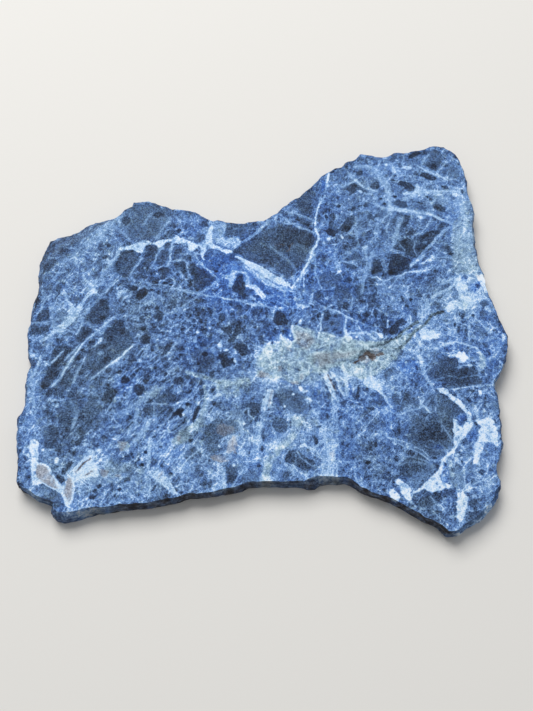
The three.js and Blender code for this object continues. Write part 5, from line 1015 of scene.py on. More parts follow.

# Thin glazes over everything: x, y, half length, half width, angle, how much lighter or darker.
# Those laid along the lower right rim, near (54, -49), lighten the broken edge there: painted light
# on an edge that faces away from the lamp.
GLAZES = [
    (2, -6, 3.6, 2.2, 30, 0.12), (-1, -9, 2, 3, 0, 0.12), (2.5, -16, 2, 2, 0, 0.2),
    (10, -15.5, 4, 2, 30, 0.22), (12, -19, 1.4, 4, 0, 0.12), (5, -23, 1.6, 2.4, 0, 0.18),
    (7, -27, 5, 3, 0, 0.08), (-6, -28, 3, 3, 0, 0.12), (-6, -36, 1.4, 3, 0, 0.1),
    (-20, -38, 2.4, 1.4, 0, 0.12), (-17, -43.5, 5, 1.2, 10, 0.15), (-30, -46.5, 3, 0.9, 0, 0.12),
    (0.5, -41.2, 3, 1, 0, 0.18), (15.5, -40.5, 3, 1, 0, 0.18), (-46, -43, 1.4, 2.4, 0, 0.15),
    (-45, -49, 3.4, 1, 5, 0.18), (-50.5, -50, 2, 1, 0, 0.15), (-57, -29.5, 3, 1.8, 50, 0.15),
    (-55, -36, 3, 1.2, 0, 0.12), (-56, -44, 3, 1.2, -20, 0.1), (-44, -8, 3, 1.8, 20, 0.1),
    (-46, -17, 1.6, 1.8, 0, 0.1), (-38, 33, 1.4, 2.2, 0, 0.12), (-27, 31, 1.6, 2.6, 0, 0.14),
    (-43, 29, 4, 2, 20, 0.08), (-42.5, 21, 1.2, 2, 0, 0.08), (-48.5, 18, 1.2, 2, 0, 0.12),
    (-12.5, -4.5, 1.8, 1.6, 0, 0.14), (-4, 3, 1.6, 4, 0, 0.1), (8.5, 1.5, 1.4, 2.6, 0, 0.14),
    (17.5, -3.5, 3, 2, 0, 0.1), (25, -4.5, 3.4, 1.8, 0, 0.12), (40, -6.5, 5, 3, -30, 0.25),
    (42.5, -10, 1.8, 3, 0, 0.12), (52, -8.5, 2.4, 1.8, -20, 0.25), (59.6, 1.5, 1.2, 2.4, 0, 0.2),
    (61, -8, 1, 4, 0, 0.14), (55.5, 14.5, 3.4, 2.4, 0, 0.3), (54.5, 37, 2, 7, 0, 0.1),
    (52, 40, 2, 1, 0, 0.14), (55, 27, 1.4, 6, 0, 0.12), (45.5, 21.5, 3, 1.4, 45, 0.18),
    (39.5, 16.5, 1.4, 1.6, 0, 0.12), (46, 16.3, 1.8, 1.8, 0, 0.1), (35.5, 49, 2, 1.4, 0, 0.15),
    (30, 49.5, 3, 1, -10, 0.1), (46.5, 52, 2, 1.5, 0, 0.1), (33, 28, 1.2, 3.4, 0, 0.12),
    (32.5, 21.5, 1.2, 2.2, 0, 0.1), (31.5, 11.5, 3.4, 2, -50, 0.14), (37.5, 3, 1.4, 2, 0, 0.12),
    (31.5, -16, 2.6, 2, 30, 0.22), (28, -20, 3, 4, 60, 0.1), (22, -13, 4, 2.4, -20, 0.12),
    (34.5, -25.5, 2.2, 2, 0, 0.18), (29, -28, 1.6, 2, 0, 0.1), (30, -33, 1.4, 2, 0, 0.1),
    (46, -34, 1.4, 1.6, 0, 0.14), (52.5, -37, 1.8, 1.4, 0, 0.14), (36, -40, 3, 2, 0, 0.1),
    # On this line, the glaze at (54, -50) lightens the lower right broken edge: painted light.
    (33.5, -45, 3.6, 1.6, -10, 0.14), (45.5, -54, 2.4, 1.6, 0, 0.16), (54, -50, 2, 1, 45, 0.1),
    (55, -20, 3, 2, 0, 0.12), (58, -25, 1, 3, 0, 0.12), (57, -4, 1.6, 2.6, 0, 0.12),
    (47.5, -4, 5, 3, 0, 0.1), (20, 27.5, 1.6, 1.2, 0, 0.12), (-21.5, -27, 4.6, 4.6, 0, -0.22),
    (-32, -35.5, 4.2, 3.2, 0, -0.22), (-15.5, -9.5, 5, 2.4, -10, -0.24), (-18.5, 1.5, 2.2, 4, 0, -0.18),
    (-15, 7.5, 5, 2.4, 0, -0.14), (-20, 12, 4, 3, 0, -0.12), (-6, -17, 3.4, 2, 20, -0.12),
    (-28, 11, 3, 2.4, 40, -0.14), (-37, 3, 1.8, 3, 0, -0.13), (-38, 8, 2, 2, 0, -0.12),
    (-28, -3.5, 3, 1.4, 0, -0.12), (-28, 3, 1.2, 1.6, 0, -0.12), (-60, -14, 1.2, 8, 0, -0.14),
    (-54, -14, 3, 3, 0, -0.14), (-61, 8, 1, 8, 0, -0.12), (-61.5, -40, 1, 5, 0, -0.2),
    (-47, -33, 5, 2.6, 0, -0.1), (-40, -27, 5, 5, 0, -0.08), (-35, -45, 4, 1.4, -20, -0.14),
    (-9.5, -41, 3.6, 1.4, -10, -0.14), (-0.5, -35.5, 1.4, 1.6, 0, -0.06), (3, -39, 2, 1.2, 0, -0.1),
    (13, -34, 1.6, 2, 0, -0.16), (18, -36, 1.6, 2, 0, -0.12), (17, -27, 2.4, 6, 20, -0.12),
    (20.5, -20, 1.4, 3, 0, -0.12), (25.5, -36, 1.2, 2, 0, -0.1), (30, -41, 1.8, 2, 60, -0.1),
    (-9.5, 20.2, 2, 1, 0, -0.25), (-16, 23, 2, 1.4, 0, -0.14), (-17, 26, 1.6, 2.4, 0, -0.1),
    (-36, 24, 3, 1.4, 10, -0.14), (-24, 24.6, 1.8, 1.2, 0, -0.12), (-13, 15, 1.2, 2.4, 0, -0.1),
    (-6, 7.5, 1.4, 1.4, 0, -0.18), (0, 9, 2, 2, 0, -0.12), (8.5, 8.3, 2.8, 1.8, 30, -0.22),
    (12.5, 11, 1.6, 1.6, 0, -0.14), (8.5, 14, 0.8, 4, 15, -0.1), (20, 23.5, 3, 1.4, 0, -0.12),
    (25.5, 25, 1.4, 2, 0, -0.1), (13, 24, 1, 3, 0, -0.1), (16, 36, 3, 4, 30, -0.1),
    (24.5, 43.5, 1.4, 1.4, 0, -0.12), (37, 40, 2.4, 3, 0, -0.12), (42, 44.5, 1.6, 1.6, 0, -0.24),
    (38, 47, 3, 2, 0, -0.12), (49, 43.7, 2.6, 1.2, 0, -0.14), (52, 31.7, 1.4, 2, 0, -0.14),
    (29, 29.5, 1.6, 1.4, 0, -0.12), (43.5, 22.5, 3.6, 1, 50, -0.12), (33.5, 15, 3, 1.4, -15, -0.18),
    (46, 12, 3, 1, 0, -0.1), (42.5, 8, 2.4, 1.6, 0, -0.12), (51.5, 7, 1.6, 1.4, 0, -0.16),
    (48.5, 2.7, 1.6, 1.2, 0, -0.1), (31.8, 0.5, 1.4, 1.8, 0, -0.18), (40, -44.5, 2, 1.4, 0, -0.1),
    (51, -33, 3, 2, 0, -0.12), (53.5, -44, 2.4, 2, 30, -0.12), (53.5, -24, 1.6, 1.2, 0, -0.12),
    (-54.5, 23, 2, 1.2, 0, -0.14), (-56, 17, 2, 1.4, 0, -0.1), (-50, 29, 5, 1.4, 30, -0.08),
    (-43, 16, 4, 1.6, 45, -0.1), (-48, 9, 2, 2, 0, -0.1), (57, -12, 2.5, 5, 80, 0.08),
    (59.5, 1.5, 2, 2.5, 0, 0.12), (57, -18, 3, 3, 0, 0.08), (56.5, -33.5, 2.5, 2, 0, 0.1),
    (46, -40.5, 1.4, 1.8, 0, 0.14), (47, -52.5, 3.5, 2.5, 0, 0.08), (52, -37, 3, 4, 0, 0.05),
    (33, 9, 3, 2.5, 0, 0.1), (55, 13.5, 1.2, 1.4, 0, 0.14), (18.5, -12.5, 1.4, 2, 0, 0.1),
    (22, -10.6, 2, 1, 0, 0.06), (-8, -13, 2, 2, 0, 0.08), (-10, -19.5, 2.5, 2, 0, 0.12),
    (-2, -16.5, 3, 1.2, 0, 0.1), (13, -14, 1.6, 1.2, 0, 0.08), (11.5, -25, 4, 1.6, 80, 0.1),
    (10, -18, 3, 1.6, 90, 0.08), (4, -30, 4, 2, 0, 0.07), (0, -41, 3, 1.5, 0, 0.09),
    (9, -42, 2.5, 1, 0, 0.06), (-6.5, 4, 4.5, 1.6, -55, 0.09), (-4, -3.5, 1.5, 3, 0, 0.08),
    (-16, -5, 4, 3, 0, 0.06), (2, -1, 2, 1.4, 0, 0.07), (4, -5.6, 2, 1.2, 0, 0.06),
    (-1, -9, 1.2, 3, 0, 0.04), (8, 2.5, 1.6, 1.6, 0, 0.07), (9, 8, 3, 3, 0, 0.05),
    (-9.5, 17, 4, 1.4, 60, 0.06), (7, 14, 2.4, 1.2, 60, 0.08), (-29, -29, 5, 3, 70, 0.05),
    (-56, -35.5, 3, 2, 0, 0.1), (-40, -29, 2, 3, 0, 0.07), (-36, -34, 4, 4, 0, 0.06),
    (-22, -35, 4, 3, 0, 0.06), (-33, -42, 3, 2.5, 0, 0.07), (-24, -40, 5, 3, 0, 0.05),
    (-12, -35, 4, 3, 0, 0.06), (-46, -43, 3, 2, 0, 0.06), (-48, -48.5, 4, 1.6, 0, 0.1),
    (-59, -11, 1.5, 1.8, 0, 0.12), (-58, -6.5, 1.6, 2, 0, 0.08), (-52.5, -3.5, 3, 1.4, 55, 0.06),
    (-56, -28.5, 4, 2.5, 0, 0.05), (-44, -16, 3, 2, 0, 0.05), (-34, -9, 4, 2.4, 0, 0.05),
    (14, 40, 3, 2, 45, 0.07), (49, 38.5, 7, 2, -8, 0.07), (52, 36, 1.8, 2, 0, 0.07),
    (43, 31, 3, 2, 0, 0.06), (32, 22, 2, 3, 0, 0.08), (26, 21, 2, 3, 0, 0.05), (36, 51, 2, 2, 0, 0.06),
    (27, 44, 2, 2, 0, 0.05), (24, 36, 2, 2, 0, 0.05), (45, 14, 5, 2, 45, 0.06),
    (42, 3.5, 2.2, 2.2, 0, 0.06), (36, -7.5, 2.4, 1.6, 50, 0.09), (31, -11.5, 3, 2, 0, 0.05),
    (41, -17, 4.5, 2.4, 60, 0.07), (0, 28.5, 3.5, 1.6, 0, 0.07), (-4, 23, 3, 2, 45, 0.05),
    (51, 47.5, 3, 2, 30, 0.06), (-18, 12.5, 3, 2, 0, 0.06), (-23.5, 21, 2.4, 2, 0, 0.06),
    (-19, 33, 3, 1.4, -30, 0.07), (-57, 0, 4, 5, 0, -0.04), (-54.5, 24, 3, 3, 0, -0.05),
    (-44, -0.5, 2.4, 1.6, 30, -0.07), (-55, -21, 4, 2, 0, -0.06), (-35, -21, 5, 3, 0, -0.05),
    (-22.5, -17, 2, 2, 0, -0.06), (-38, -16, 3, 2, 0, -0.04), (29, 39, 3, 3, 0, -0.06),
    (24, 25, 3, 2, 0, -0.05), (47, 13.5, 2, 1.6, 0, -0.06), (55, 19, 1.6, 1.2, 0, -0.05),
    (51, -15, 4, 2, 0, -0.06), (31, -25, 1.4, 2.6, 0, -0.07), (25.5, -35.5, 3, 2.5, 0, -0.05),
    (29, -42.5, 1.4, 2, 0, -0.06), (48.5, -47, 1.2, 2, 0, -0.05), (42, -48.5, 2.4, 1.6, 0, -0.05),
    (33, -35.5, 3, 2, 0, -0.04), (12, -9, 1.6, 2, 0, -0.05), (28, 11, 3, 2, 0, -0.03),
    (38, 25, 1.4, 2.4, 0, -0.05), (27, 48, 3, 1.4, 0, -0.05), (33, 45, 2, 2, 0, -0.05),
    (-9, 8, 2, 1, -30, -0.06), (-48, -10, 3, 4, 0, -0.04), (9, -13, 4, 3, 0, 0.1),
    (22, -10.4, 3, 1.2, 0, 0.06), (17.5, -2, 2.5, 1.6, 0, 0.08), (26.5, -3.5, 2.5, 1.5, 0, 0.08),
    (31.5, -3.5, 2.5, 1.5, 0, 0.08), (2.5, -7, 1.6, 1.4, 0, 0.06), (6.5, -9.5, 2, 1.6, -30, 0.05),
    (35, -5, 3, 2, 0, 0.06), (-9.5, -17.5, 3, 3, 0, 0.12), (-8, -13, 1.4, 2, 0, 0.06),
    (-17, -13.5, 3, 1.4, 0, 0.07), (17, -17.5, 2, 1.6, 0, 0.08), (11, -20, 5, 1.6, 90, 0.05),
    (-3.4, -8.8, 1.6, 4, 0, -0.18), (4, 12.5, 3.6, 2.4, -35, 0.06), (-4, 17.5, 2, 2.4, 0, 0.08),
    (33, 8, 3, 2, 0, 0.05), (58, -5, 2, 2, 0, 0.1), (57.5, 2, 2.4, 2, 0, 0.07),
    (48, -25, 2.4, 1.4, 0, 0.06), (46, -41, 1, 2, 0, 0.1), (-4, -33.5, 1.6, 1.4, 0, 0.08),
    (-37, -40, 4, 2, 0, 0.07), (-53, -35, 3, 2, 0, 0.07), (-47, 8.5, 2, 2.2, 0, 0.08),
    (-55, 13, 2.5, 2, 0, 0.05), (-38, 15, 1.4, 3.5, 0, 0.06), (-23.5, 21, 2.5, 1.6, 30, 0.06),
    (-8.5, 6, 1.6, 2, 0, 0.08), (-54, -3, 2.6, 1.6, 55, 0.07), (-37, -3, 3, 1.6, 0, 0.05),
    (-23, 3.5, 1.4, 1.2, 0, 0.08), (-45, -49, 2, 1.2, 0, 0.1), (54, -35, 2.4, 1.6, 0, 0.05),
    # On this line, the glaze at (54, -49) lightens the lower right broken edge: painted light.
    (-20, 13, 2.6, 1.6, 0, 0.06), (54, -49, 4, 1.4, 45, 0.1), (58, -40, 1.6, 3, 0, 0.07),
    (-47, 20, 3, 3, 0, -0.06), (-49, 10, 3, 2, 0, -0.07), (-30, 11, 4, 3, 60, -0.07),
    (-36, 4, 4, 2, 30, -0.05), (-34, -19, 5, 3, 0, -0.05), (-43, -1, 2.6, 1.6, 0, -0.07),
    (-12, 27, 2, 1.6, 0, -0.06), (13, 31, 2, 4, 0, -0.05), (33, 15, 5, 1, 0, -0.06),
    (22, 26, 2, 3, 0, -0.05), (38, 46, 3, 1.6, 0, -0.06), (-34, -46, 6, 1.4, 0, -0.08),
    (-47, -44, 1.6, 3, 0, -0.06), (-51, -40, 3, 2, 0, -0.05), (-12, -39, 3, 1.6, 0, -0.07),
    (25.5, -34, 1.6, 3, 0, -0.05), (32.5, -18, 2, 1.4, 0, -0.08), (22, -14, 2.4, 1, -20, -0.06),
    (-24, -22, 3, 2, 0, -0.05), (-14, -22, 3, 2, 0, -0.05), (-33, -28, 2, 2, 0, -0.06),
    (7, -3, 4, 2, 0, -0.04), (27, 9.5, 2, 3, 0, -0.05), (48, 17, 1.6, 2.4, 0, -0.06),
    (-5, 8, 3, 1.6, -30, -0.06), (52, -14, 3, 2.4, 60, -0.04), (36.5, -3.2, 2.4, 1.4, 40, -0.14),
    (10, -4, 2, 2, 0, -0.1), (6, -12, 2.4, 2, 0, -0.06), (1, -9, 2, 2.4, 0, -0.03),
    # On this line, (55, -47.5) and (50.5, -51.5) lighten the lower right broken edge: painted light.
    (55, -47.5, 4, 1.6, 50, 0.14), (50.5, -51.5, 3, 1.4, 25, 0.12), (-28, -20, 14, 8, 35, -0.045),
    (-34, -33, 7, 4, 50, -0.04), (-25, -13, 4, 2.4, 0, -0.05), (-16, -19, 3, 2.4, 40, -0.07),
    (-13.5, -17, 1.6, 2, 0, -0.05), (-19, -26, 2.4, 2.4, 0, -0.06), (-30, -40, 3, 1.6, 0, -0.05),
    (-32, -45, 6, 1.6, 0, -0.04), (-50, -9.5, 3, 3, 0, -0.04), (42, -4, 4, 3, -20, 0.07),
    (53, -3, 4, 4, 0, 0.06), (57, -13, 5, 2.4, 75, 0.06), (43, -17.5, 2.4, 1.6, 0, 0.08),
    (40.5, -13, 2, 2.4, 0, 0.06), (6, 15, 3.4, 2.4, 50, 0.08), (-4.5, 20, 2.4, 2, 0, 0.06),
    (0, 26, 5, 4, 0, 0.03), (-4, -40, 6, 1.4, -35, 0.08), (2, -41, 3, 1.2, 0, 0.07),
    (7, -41.5, 2, 1, 0, 0.06), (12, -42.5, 3, 1, 0, 0.06), (-15, -36, 3, 2, 0, 0.05),
    (-16, -41, 3, 1.4, 0, 0.07), (5, -31, 3, 2.4, 0, 0.06), (11, -31, 2, 2, 0, 0.06),
    (14, -23, 3, 2, 70, 0.06), (8, -22, 4, 2, 30, 0.05), (26, -22, 3, 3, 0, 0.05),
    (28, -19.5, 2, 1.6, 0, 0.06), (-3, -22, 3, 1.2, 40, 0.05), (18, 0, 5, 2, 0, 0.05),
    (26, 0, 3, 2, 0, 0.05), (38, -1, 2.4, 2.4, 0, 0.08), (12, -1.6, 2, 1.4, 0, 0.07),
    (-17.5, -4, 2, 2, 0, 0.05), (-47, 18, 2, 1.6, 0, 0.05), (35, 36, 2, 2.4, -30, 0.06),
    (51.5, 35, 2.4, 1.4, 20, 0.08), (39.5, 42, 1.4, 1.2, 0, 0.06), (45, -53.5, 3, 2, 0, 0.08),
    (-47, -49.4, 4, 1, 0, 0.1), (58, -34, 1.6, 2.4, 0, 0.06), (58.5, -9, 3, 1.6, 70, 0.07),
    (-45, -14, 1.6, 5, 0, 0.05), (20, 12, 4, 3, 30, 0.04), (-11, 13, 2, 2, 0, 0.06),
    (-17.5, 13, 2, 1.6, 0, 0.05), (42, -33, 2.4, 3, 0, 0.04), (55, 13, 1.6, 1.2, 0, 0.06),
    (-46, 11, 8, 3, 0, -0.04), (-42, 17, 2.4, 3, 0, -0.05), (-22, 9.5, 4, 1, 0, -0.05),
    (-7, 7.5, 3, 1.2, -35, -0.07), (1, 3.5, 1.6, 1.4, 0, -0.06), (-9, -1, 4, 1.6, 65, -0.05),
    (-26, 0, 2.4, 2, 0, -0.05), (-18, 0, 3, 1.6, 0, -0.04), (45, 13, 5, 1.6, 45, -0.05),
    (42, 7, 3, 1.6, 70, -0.06), (31.5, 18.5, 1.6, 2, 0, -0.06), (38, 26, 3, 2, 60, -0.05),
    (23, 28, 2, 2, 0, -0.05), (22.5, 20, 1.6, 2.4, 0, -0.05), (12, -9.5, 2, 1.6, 0, -0.06),
    (3, -9, 1, 4, 0, -0.05), (16, -10, 1.2, 2, 0, -0.04), (25, -14, 2.4, 1, -20, -0.05),
    (32, -7.5, 1.2, 2, 0, -0.08), (45, -25, 1.4, 2, 0, -0.05), (28, -41, 1.6, 3, 0, -0.05),
    (42, -48.5, 3, 1.4, 0, -0.06), (36, -48, 3, 1.4, -20, -0.04), (25, -37, 2, 3, 0, -0.05),
    (27, -6.2, 2.4, 0.8, 0, 0.08), (22.4, -11.2, 2, 0.8, 0, 0.08), (8.5, -29, 2, 3, 60, -0.05),
    (10, -3, 1.5, 1.5, 0, -0.1), (9, -8, 1.5, 1.5, 0, 0.08), (23.6, -11, 1.5, 0.8, 0, 0.12),
    (33, -4, 1, 0.8, 0, 0.05), (14, -6, 2.5, 0.8, 10, 0.03), (27.5, -10.2, 1.6, 0.7, 10, 0.08),
]

# ---------------------------------------------------------------------------------------------
# Repeatable noise and distances, on arrays of points in millimetres.
# ---------------------------------------------------------------------------------------------

HASH_FACTORS = (374761393, 668265263, 974634777, 1274126177)
BITS_32 = 0xFFFFFFFF
BITS_16 = 0xFFFF
TINY = 1e-9
CORNERS = 1.5  # how round the ovals are: 2 is round, 1 is a lozenge


def scatter(column, row, seed):
    """A repeatable number from 0 to 1 for each whole-number place."""
    for_column, for_row, for_seed, for_mix = HASH_FACTORS
    mixed = (column * for_column + row * for_row + seed * for_seed) & BITS_32
    mixed = ((mixed ^ (mixed >> 13)) * for_mix) & BITS_32
    return ((mixed ^ (mixed >> 16)) & BITS_16) / BITS_16


def ripple(at, size, seed):
    """Smooth noise from -1 to 1 over the plane, with lumps of about `size`."""
    scaled = at / size
    cell = np.floor(scaled).astype(np.int64)
    ease = scaled - cell
    ease = ease * ease * (3 - 2 * ease)
    column, row = cell[:, 0], cell[:, 1]
    low = scatter(column, row, seed) * (1 - ease[:, 0]) + scatter(column + 1, row, seed) * ease[:, 0]
    high = (
        scatter(column, row + 1, seed) * (1 - ease[:, 0])
        + scatter(column + 1, row + 1, seed) * ease[:, 0]
    )
    return 2 * (low * (1 - ease[:, 1]) + high * ease[:, 1]) - 1


def wobbled(at, sizes, seed):
    """The points moved about by noise: sizes are (lump size, distance) pairs."""
    moved = at.copy()
    for number, (size, distance) in enumerate(sizes):
        moved[:, 0] += distance * ripple(at, size, seed + 2 * number)
        moved[:, 1] += distance * ripple(at, size, seed + 2 * number + 1)
    return moved


def smooth(value):
    """0 below 0, 1 above 1, and a smooth step between them."""
    value = np.clip(value, 0, 1)
    return value * value * (3 - 2 * value)


def from_path(at, path, closed=False):
    """How far each point is from a path."""
    ends = path[1:] + path[:1] if closed else path[1:]
    nearest = np.full(len(at), np.inf)
    for start, end in zip(path, ends):
        start = np.array(start, float)
        along = np.array(end, float) - start
        share = np.clip((at - start) @ along / max(along @ along, TINY), 0, 1)
        nearest = np.minimum(nearest, np.linalg.norm(at - start - share[:, None] * along, axis=1))
    return nearest


def along_path(at, path):
    """(how far each point is from a path, how far along it, how far to its side)"""
    nearest = np.full(len(at), np.inf)
    run = np.zeros(len(at))
    side = np.zeros(len(at))
    behind = 0.0
    for start, end in zip(path, path[1:]):
        start = np.array(start, float)
        step = np.array(end, float) - start
        length = np.hypot(*step)
        offset = at - start
        share = np.clip(offset @ step / length**2, 0, 1)
        distance = np.linalg.norm(offset - share[:, None] * step, axis=1)
        closer = distance < nearest
        nearest = np.where(closer, distance, nearest)
        run = np.where(closer, behind + share * length, run)
        side = np.where(closer, (offset[:, 1] * step[0] - offset[:, 0] * step[1]) / length, side)
        behind += length
    return nearest, run, side


def is_inside(at, outline):
    """Which points are inside a closed outline."""
    inside = np.zeros(len(at), bool)
    for (x, y), (next_x, next_y) in zip(outline, outline[1:] + outline[:1]):
        if y == next_y:
            continue
        spans = (y > at[:, 1]) != (next_y > at[:, 1])
        crossing = x + (at[:, 1] - y) * (next_x - x) / (next_y - y)
        inside ^= spans & (at[:, 0] < crossing)
    return inside


def depth_in(at, outline):
    """How deep each point is inside a closed outline, negative outside it."""
    distance = from_path(at, outline, closed=True)
    return np.where(is_inside(at, outline), distance, -distance)


def in_oval(at, x, y, half_length, half_width, angle):
    """How far along and across an oval each point is, from -1 to 1 inside it."""
    turn = math.radians(angle)
    offset = at - (x, y)
    along = offset @ (math.cos(turn), math.sin(turn)) / half_length
    across = offset @ (-math.sin(turn), math.cos(turn)) / half_width
    return along, across


def depth_in_oval(at, x, y, length, width, angle):
    """About how deep each point is inside an oval with slight corners."""
    along, across = in_oval(at, x, y, length / 2, width / 2, angle)
    reach = (np.abs(along) ** CORNERS + np.abs(across) ** CORNERS) ** (1 / CORNERS)
    return (1 - reach) * min(length, width) / 2


# ---------------------------------------------------------------------------------------------
# Painting. The points' places wander a little, so the markings' edges do too.
# ---------------------------------------------------------------------------------------------

OUTLINE_WANDER = ([(1.4, 0.22), (0.5, 0.12)], 7)  # (lump size, distance) pairs, seed
PATH_WANDER = ([(1.6, 0.14), (0.6, 0.08)], 31)
MARGIN = 1.0  # more than an edge wanders
SOFT = 0.15  # how far an edge fades
FIELD_SOFT = 4 * SOFT
WASH_REACH = 2.2  # how far out a soft oval is laid, in half lengths
WASH_FALL = 0.9  # how fast it fades
WASH_STRENGTH = 0.9
ZONE_TONE = 0.8  # how far a zone changes the tone, as a share of how far it tints
CLAST_COVER = 0.95
SPOT_TONE = 0.06
SPOT_COVER = 0.9
GLOW_TONE = 0.6  # of the faint glow beside a vein
GLOW_REACH = 0.6
GLOW_MARGIN = 3 * GLOW_REACH
GLOW_STRENGTH = 0.35
STRAND_SIZE = (2.4, 0.42)  # of the fine strands in a brushed band: length, width
STRAND_SEED = 53
STRANDS = (0.7, 0.8)  # how strongly they show, and how much they differ
BRUSH_BODY = (1.4, 2.0)  # a band's strength on its path, and how fast it fades to the sides

# How each kind of marking is worn away here and there: noise size, seed, mean and change.
WEAR = {
    "zone": (1.3, 35, 0.9, 0.5),
    "field": (1.1, 37, 0.75, 0.6),
    "vein": (1.3, 43, 0.9, 0.5),
    "patch": (0.7, 41, 0.9, 0.5),
    "pale spot": (0.7, 47, 0.9, 0.5),
    "tint": (0.9, 39, 0.9, 0.5),
}

# How far the nets and threads fade inside each kind of marking.
CALM = {"zone": 0.1, "field": 0.15, "dark": 0.8, "vein": 0.7, "pale": 0.6, "tint": 0.4}
CALMED = ("coarse", "fine", "micro", "thread")


class Canvas:
    """Layers of numbers at the mesh's points, painted one marking at a time."""

    def __init__(self, at):
        self.at = at
        self.rough = wobbled(at, *OUTLINE_WANDER)
        self.line = wobbled(at, *PATH_WANDER)
        self.layers = {name: np.full(len(at), value) for name, value in BASE.items()}

    def near(self, places, margin):
        """The numbers of the points within a margin of a path's box."""
        low = np.min(places, axis=0) - margin
        high = np.max(places, axis=0) + margin
        return np.nonzero(((self.at > low) & (self.at < high)).all(axis=1))[0]

    def oval(self, x, y, half_length, half_width, angle):
        """(numbers of points, how much of each a soft oval covers)"""
        where = self.near([(x, y)], WASH_REACH * max(half_length, half_width))
        along, across = in_oval(self.rough[where], x, y, half_length, half_width, angle)
        return where, np.exp(-WASH_FALL * (along**2 + across**2))

    def fill(self, outline, feather):
        """(numbers of points, how much of each an outline covers)"""
        where = self.near(outline, feather + MARGIN)
        return where, smooth(depth_in(self.rough[where], outline) / feather + 0.5)

    def spot(self, x, y, length, width, angle):
        """(numbers of points, how much of each a small oval covers)"""
        where = self.near([(x, y)], max(length, width) + MARGIN)
        depth = depth_in_oval(self.rough[where], x, y, length, width, angle)
        return where, smooth(depth / (2 * SOFT) + 0.5)

    def stroke(self, path, width):
        """(numbers of points, how much of each a stroke covers)"""
        where = self.near(path, width + MARGIN)
        distance = from_path(self.line[where], path)
        return where, smooth((width / 2 - distance) / SOFT + 0.5)

    def brush(self, path, width):
        """(numbers of points, how much of each a band of fine strands covers)"""
        where = self.near(path, width + MARGIN)
        distance, run, side = along_path(self.line[where], path)
        strands = ripple(np.column_stack([run, side]) / STRAND_SIZE, 1, STRAND_SEED)
        body = smooth(BRUSH_BODY[0] - BRUSH_BODY[1] * distance / width)
        return where, body * smooth(STRANDS[0] + STRANDS[1] * strands)

    def glow(self, path, width):
        """(numbers of points, how strong the glow beside a vein is)"""
        where = self.near(path, GLOW_MARGIN + width)
        beside = np.maximum(from_path(self.line[where], path) - width / 2, 0)
        return where, np.exp(-((beside / GLOW_REACH) ** 2))

    def worn(self, kind, where, cover):
        """A cover, weaker where that kind of marking is worn away."""
        size, seed, mean, change = WEAR[kind]
        return cover * smooth(mean + change * ripple(self.at[where], size, seed))

    def blend(self, layer, where, value, amount):
        """Carries a layer towards a value."""
        self.layers[layer][where] += (value - self.layers[layer][where]) * amount

    def tint(self, layer, where, tone, amount):
        """Carries a colour's layer towards 1, and the tone towards a value."""
        self.blend(layer, where, 1, amount)
        self.blend("tone", where, tone, amount)

    def calm(self, kind, where, cover):
        """Quietens the nets and threads inside a marking."""
        for layer in CALMED:
            self.blend(layer, where, 0, cover * CALM[kind])


def lay_washes(canvas):
    for layer, washes in WASHES.items():
        for *oval, value in washes:
            where, cover = canvas.oval(*oval)
            canvas.blend(layer, where, value, WASH_STRENGTH * cover)


def lay_zones(canvas):
    for layer, feather, strength, tone, outline in ZONES:
        where, cover = canvas.fill(outline, feather)
        amount = canvas.worn("zone", where, cover) * strength
        canvas.blend(layer, where, 1, amount)
        if tone is not None:
            canvas.blend("tone", where, tone, amount * ZONE_TONE)
            canvas.calm("zone", where, amount)


def lay_fields(canvas):
    for layer, strength, fields in FIELDS:
        for tone, outline in fields:
            where, cover = canvas.fill(outline, FIELD_SOFT)
            cover = canvas.worn("field", where, cover)
            canvas.tint(layer, where, tone, cover * strength)
            canvas.calm("field", where, cover)


def lay_dark_markings(canvas):
    for tone, outline in CLASTS:
        where, cover = canvas.fill(outline, 2 * SOFT)
        canvas.blend("tone", where, tone, cover * CLAST_COVER)
        canvas.calm("dark", where, cover)
    for spot in SPOTS:
        where, cover = canvas.spot(*spot)
        canvas.blend("tone", where, SPOT_TONE, cover * SPOT_COVER)
        canvas.calm("dark", where, cover)


def lay_veins(canvas):
    for tone, width, path in VEINS:
        where, glow = canvas.glow(path, width)
        canvas.blend("tone", where, GLOW_TONE, GLOW_STRENGTH * glow * tone)
        where, cover = canvas.stroke(path, width)
        canvas.blend("tone", where, tone, canvas.worn("vein", where, cover))
        canvas.calm("vein", where, cover)


def lay_pale_markings(canvas):
    for tone, width, path in BRUSHES:
        where, cover = canvas.brush(path, width)
        canvas.blend("tone", where, tone, cover)
        canvas.calm("pale", where, cover)
    for tone, outline in PATCHES:
        where, cover = canvas.fill(outline, 2 * SOFT)
        cover = canvas.worn("patch", where, cover)
        canvas.blend("tone", where, tone, cover)
        canvas.calm("pale", where, cover)
    for *spot, tone in PALE_SPOTS:
        where, cover = canvas.spot(*spot)
        canvas.blend("tone", where, tone, canvas.worn("pale spot", where, cover))
        canvas.calm("pale", where, cover)


def lay_tints(canvas):
    for layer, strength, tone, width, path in STROKES:
        where, cover = canvas.stroke(path, width)
        canvas.tint(layer, where, tone, cover * strength)
    for layer, strength, tone, outline in TINTS:
        where, cover = canvas.fill(outline, 2 * SOFT)
        cover = canvas.worn("tint", where, cover)
        canvas.tint(layer, where, tone, cover * strength)
        canvas.calm("tint", where, cover)


def lay_glazes(canvas):
    for *oval, change in GLAZES:
        where, cover = canvas.oval(*oval)
        canvas.layers["tone"][where] += change * cover


def paint(at):
    """All the markings at the given points: {layer: numbers}."""
    canvas = Canvas(at)
    lay_washes(canvas)
    lay_zones(canvas)
    lay_fields(canvas)
    lay_dark_markings(canvas)
    lay_veins(canvas)
    lay_pale_markings(canvas)
    lay_tints(canvas)
    lay_glazes(canvas)
    return canvas.layers


# ---------------------------------------------------------------------------------------------
# The mesh: the CAD slab's broken edge cut finer and roughened, and two sawn faces laid over
# lattices of points. Lengths are in millimetres of the row frame until the end.
# ---------------------------------------------------------------------------------------------

